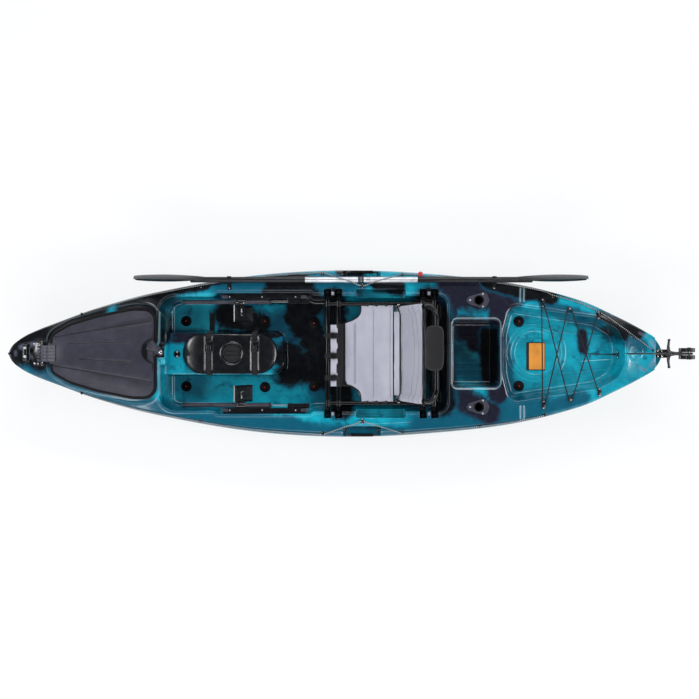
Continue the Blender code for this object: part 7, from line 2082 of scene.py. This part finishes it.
def makePaddle():
    r = paddle["radius"]
    joint = paddle["joint"]
    dark = [shaft(((0.004, -0.7205), (0.012, -0.720), (r, -0.716), (r, -0.1600), (r - 0.0002, -0.1592), (0.0130, -0.1590)))]
    dark.append(makeBlade(-0.640, -0.996))
    piece("paddle_fore_blade", dark, looks["blade"], "paddle_fore", "paddle_fore_half")
    light = [shaft(((0.0130, -0.1590), (r - 0.0003, -0.1588), (r - 0.0003, joint - 0.0006), (r - 0.0010, joint), (0.0120, joint), (0.0119, joint + 0.0005),
                    (0.0119, 0.1935), (0.0108, 0.1950), (0.002, 0.1950)))]
    piece("paddle_fore_shaft", light, looks["silver"], "paddle_fore")
    rings = [shaft(((0.0136, 0.1000), (0.0144, 0.1004), (0.0144, 0.1140), (0.0136, 0.1144)))]
    piece("paddle_fore_collars", rings, looks["greyTube"], "paddle_fore")
    split = 0.3917
    light = [shaft(((0.0125, joint + 0.0003), (r - 0.0010, joint + 0.0003), (r - 0.0003, joint + 0.0010), (r - 0.0003, split), (0.0130, split + 0.0002)))]
    piece("paddle_aft_shaft", light, looks["silver"], "paddle_aft")
    dark = [shaft(((0.0130, split), (r - 0.0002, split + 0.0002), (r, split + 0.001), (r, 0.951), (0.012, 0.955), (0.004, 0.9555))), makeBlade(0.869, 1.226)]
    piece("paddle_aft_blade", dark, looks["blade"], "paddle_aft", "paddle_aft_half")
    rings = [shaft(((0.0136, joint + 0.0012), (0.0144, joint + 0.0016), (0.0144, joint + 0.0130), (0.0136, joint + 0.0134)))]
    slot = []
    for x in (paddle["button"] - 0.0052, paddle["button"] + 0.0052):
        slot.append([(x, paddle["y"] + 0.0141 * math.cos(a), paddle["z"] + 0.0141 * math.sin(a)) for a in np.radians(np.linspace(8, 116, 20))])
    rings += [swept(np.array(p), 0.0010, 8) for p in slot]
    piece("paddle_aft_collars", rings, looks["greyTube"], "paddle_aft")
    button = turned(((0.0033, 0.0042), (0.0033, 0.0138), (0.0028, 0.0148), (0.0016, 0.0152), (0.0003, 0.0152)), (paddle["button"], paddle["y"], paddle["z"]), sides=28)
    piece("snap_button_pin", [button], looks["steel"], "snap_button", "paddle_button")
    for key, x in (("fore", -0.531), ("aft", 0.769)):
        z = max(float(onDeck(x + dx, y)) for dx in (-0.01, 0, 0.01) for y in (0.314, 0.330, 0.3375)) + 0.0019
        path = [(x, 0.314, z), (x, 0.326, z), (x, 0.3380, z)]
        path += [(x, paddle["y"] + 0.0163 * math.cos(a), paddle["z"] + 0.0163 * math.sin(a)) for a in np.radians(np.linspace(218, 414, 24))]
        clip = [swept(curveThrough(path, 0.003), 0, across=(1, 0, 0), section=flatSection(0.020, 0.0025, 0.45))]
        tip = np.array(path[-1])
        clip.append(swept(tip + np.array([(-0.0100, 0, 0), (-0.0096, 0, 0), (0.0096, 0, 0), (0.0100, 0, 0)]), np.array([0.0012, 0.0020, 0.0020, 0.0012]), 12))
        piece("keeper_strap_" + key, clip, looks["rubber"], "hull", "paddle_keeper_" + key)
        piece("keeper_screws_" + key, [screw((x, 0.3215, z + 0.0013), (0, 0, 1), 0.0040, 0.0016)], looks["steel"], "hull")
    x, y = 0.406, 0.3895
    z = float(topSurface(np.array([[x, y]]))[0])
    knob = turned(((0.0052, -0.001), (0.0060, 0.0035), (0.0072, 0.0055), (0.0100, 0.0080), (0.0122, 0.0125), (0.0126, 0.0160), (0.0115, 0.0205), (0.0085, 0.0240), (0.0045, 0.0256), (0.0004, 0.0260)), (x, y, z), sides=44)
    piece("red_line_knob", [knob], looks["red"], "hull")


# Rudder

rudder = {"yaw": 1.613, "bladeX": 1.696, "bladeZ": 0.400, "ledge": 0.285}


def makeRudder():
    yaw = rudder["yaw"]
    parts = [block((1.5565, -0.0205, rudder["ledge"] + 0.0003), (1.629, 0.0205, 0.3300), 0.0035, 0.008)]
    for y in (-0.0205, 0.0205):
        y0, y1 = sorted((y, y * 0.90))
        parts.append(block((1.5575, y0, rudder["ledge"] + 0.0006), (1.6280, y1, 0.3120), 0.0012))
    parts.append(turned(((0.0130, 0.3296), (0.0130, 0.3300), (0.0115, 0.3303), (0.0052, 0.3303)), (yaw, 0, 0), sides=32))
    piece("rudder_mount", parts, looks["black"], "hull", "rudder_bracket")
    pin = [turned(((0.0050, 0.3290), (0.0050, 0.3770), (0.0042, 0.3786), (0.0010, 0.3790)), (yaw, 0, 0), sides=32)]
    pin += [screw((x, y, 0.3300), (0, 0, 1), 0.0045, 0.0018) for x in (1.566, 1.586) for y in (-0.012, 0.012)]
    piece("rudder_pin_and_bolts", pin, looks["steel"], "hull")

    head = [turned(((0.0112, 0.3306), (0.0126, 0.3310), (0.0135, 0.3325), (0.0135, 0.3400), (0.0128, 0.3410), (0.0128, 0.3640), (0.0135, 0.3650), (0.0135, 0.3728), (0.0124, 0.3740),
                    (0.0070, 0.3740), (0.0056, 0.3734), (0.0054, 0.3600), (0.0054, 0.3306)), (yaw, 0, 0), sides=48, caps=False)]
    arms = bentLine([(yaw + 0.004, 0.0685, 0.3415), (yaw - 0.001, 0.030, 0.3415), (yaw - 0.001, -0.030, 0.3415), (yaw + 0.004, -0.0685, 0.3415)], 0.05, 0.05)
    size = 0.0065 - 0.0012 * smoothStep(0.03, 0.066, np.abs(arms[:, 1]))
    head.append(swept(arms, size, 20))
    for sign in (1, -1):
        head.append(turned(((0.0046, -0.0062), (0.0062, -0.0056), (0.0068, 0.0), (0.0062, 0.0056), (0.0046, 0.0062)), (yaw + 0.0036, sign * 0.0655, 0.3415), sides=28))
        gusset = [(yaw + 0.0115, sign * 0.0105, 0.3415), (yaw + 0.0075, sign * 0.017, 0.3415), (yaw + 0.0052, sign * 0.030, 0.3415), (yaw + 0.0045, sign * 0.046, 0.3415)]
        head.append(swept(curveThrough(gusset, 0.003), 0, across=(0, 0, 1), section=flatSection(0.0070, 0.0035, 0.4)))
    spine = []
    for x, w in ((1.6175, 0.0112), (1.6190, 0.0120), (1.630, 0.0100), (1.640, 0.0085), (1.663, 0.0085), (1.664, 0.0080)):
        ring = [(y * w, z) for y, z in ((-1, 0.3352), (-0.86, 0.3340), (0.86, 0.3340), (1, 0.3352), (1, 0.3706), (0.86, 0.3720), (-0.86, 0.3720), (-1, 0.3706))]
        spine.append([(x, y, z) for y, z in ring])
    head.append(gridPart(np.array(spine), aroundV=True, caps=True))
    head.append(block((1.659, -0.0275, 0.350), (1.6715, 0.0275, 0.3725), 0.0025))
    outline = roundLine([(1.6595, 0.3600, 0.002), (1.6705, 0.3600, 0.003), (1.7215, 0.3850, 0.006), (1.7215, 0.4120, 0.005), (1.7130, 0.4190, 0.005), (1.6780, 0.4190, 0.006), (1.6595, 0.3950, 0.004)][::-1])
    middle = outline.mean(0)
    for sign in (1, -1):
        rings = []
        for y, s in ((0.0072, 0.975), (0.0078, 1.0), (0.0262, 1.0), (0.0272, 0.965)):
            flat = middle + (outline - middle) * s
            rings.append(np.c_[flat[:, 0], np.full(len(flat), sign * y), flat[:, 1]])
        head.append(gridPart(np.array(rings), aroundV=True, caps=True))
        x, z = rudder["bladeX"], rudder["bladeZ"]
        head.append(turned(((0.0120, 0.0268), (0.0120, 0.0278), (0.0105, 0.0284), (0.0042, 0.0284)), (x, 0, z), (0, sign, 0), 32))
    piece("rudder_yoke_moulding", head, looks["black"], "rudder_yoke", "rudder_head")
    x, z = rudder["bladeX"], rudder["bladeZ"]
    bolt = [turned(((0.0040, -0.0300), (0.0040, 0.0300)), (x, 0, z), (0, 1, 0), 24)]
    for sign in (1, -1):
        bolt.append(turned(((0.0066, 0.0284), (0.0074, 0.0288), (0.0074, 0.0300), (0.0060, 0.0305), (0.0010, 0.0305)), (x, 0, z), (0, sign, 0), 6 if sign > 0 else 28))
    bolt.append(turned(((0.0095, 0.3742), (0.0095, 0.3752), (0.0085, 0.3756), (0.0056, 0.3756)), (yaw, 0, 0), sides=32))
    piece("rudder_bolt_and_washer", bolt, looks["steel"], "rudder_yoke", "rudder_blade_bolt")

    table = np.array(((-0.016, -0.008, 0.010, 0.0045), (-0.010, -0.014, 0.015, 0.006), (0, -0.0165, 0.0175, 0.006), (0.06, -0.015, 0.019, 0.006), (0.125, -0.015, 0.022, 0.006),
                      (0.165, -0.015, 0.060, 0.006), (0.195, -0.015, 0.088, 0.006), (0.250, -0.013, 0.099, 0.006), (0.295, -0.004, 0.093, 0.0055), (0.308, 0.010, 0.080, 0.005), (0.3133, 0.028, 0.062, 0.004)))
    reach = np.r_[np.linspace(-0.016, -0.002, 8), np.linspace(0.002, 0.290, 70), np.linspace(0.293, 0.3133, 12)]
    low, high, thick = (np.interp(reach, table[:, 0], table[:, k]) for k in (1, 2, 3))
    for _ in range(2):
        high[8:-1] = (high[7:-2] + 2 * high[8:-1] + high[9:]) / 4
    angle = np.linspace(0, 2 * math.pi, 48, endpoint=False)
    s, side = np.cos(angle), np.sin(angle)
    rows = []
    for r, a, b, t in zip(reach, low, high, thick):
        foil = np.sign(side) * np.abs(side) ** 0.45 * t * (0.62 + 0.38 * np.clip((r - 0.02) / -0.02 + 1, 0, 1)) if r > 0.10 else np.sign(side) * np.abs(side) ** 0.3 * t
        rows.append(np.c_[np.full(len(s), x - r), foil, z + (a + b) / 2 + s * (b - a) / 2])
    piece("rudder_blade_plate", [gridPart(np.array(rows), aroundV=True, caps=True)], looks["matt"], "rudder_foil", "rudder_blade")


def makeSmallParts():
    zFloor = 0.200
    edge = plate([(0.9440, 0.0560, 0.004), (1.0380, 0.0560, 0.004), (1.0380, -0.0840, 0.004), (0.9440, -0.0840, 0.004)], [(-0.0004, 0.0), (0, 0.0004), (0, 0.0012), (-0.0006, 0.0018)],
                 lambda x, y: zFloor + 0.0016, 0.003)
    piece("floor_plate_backing", [edge], looks["matt"], "hull")
    face = plate([(0.9570, 0.0520, 0.003), (1.0350, 0.0520, 0.003), (1.0350, -0.0800, 0.003), (0.9570, -0.0800, 0.003)], [(-0.0003, 0.0), (0, 0.0004), (0, 0.0010), (-0.0006, 0.0016)],
                 lambda x, y: zFloor + 0.0034, 0.003)
    piece("floor_plate", [face], looks["orange"], "hull")
    x, y = -0.804, -0.0035
    z = float(topSurface(np.array([[x, y]]))[0])
    base = [turned(((0.0168, -0.0004), (0.0172, 0.0006), (0.0172, 0.0030), (0.0160, 0.0040), (0.0005, 0.0042)), (x, y, z), sides=40)]
    arch = [(x - 0.0075 * math.cos(a), y, z + 0.0040 + 0.0085 * math.sin(a)) for a in np.linspace(0, math.pi, 13)]
    base.append(swept(np.array(arch), 0.0024, 14))
    piece("pad_eye_console", base, looks["rubber"], "hull")
    heads = [screw((x, y + dy, z + 0.0040), (0, 0, 1), 0.0046, 0.0018) for dy in (-0.0105, 0.0105)]
    piece("pad_eye_console_screws", heads, looks["zinc"], "hull")
    tabs = []
    for x, y in ((-0.024, 0.296), (0.449, 0.296)):
        for sign in (1, -1):
            y0, y1 = sorted((sign * (y - 0.008), sign * (y + 0.008)))
            z0 = float(topSurface(np.array([[x, sign * y]]))[0])
            tabs.append(block((x - 0.006, y0, z0 + 0.0002), (x + 0.006, y1, z0 + 0.0030), 0.001, 0.002))
    piece("seat_slot_tabs", tabs, looks["thread"], "hull")


for side, sign in (("starboard", 1), ("port", -1)):
    makeRodHolder(side, sign)
    makeSideHandle(side, sign)
makeLacing()
for side, sign in (("starboard", 1), ("port", -1)):
    makeDeckLine(side, sign)
makePaddle()
makeRudder()
makeSmallParts()
print("deck fittings, paddle and rudder made")
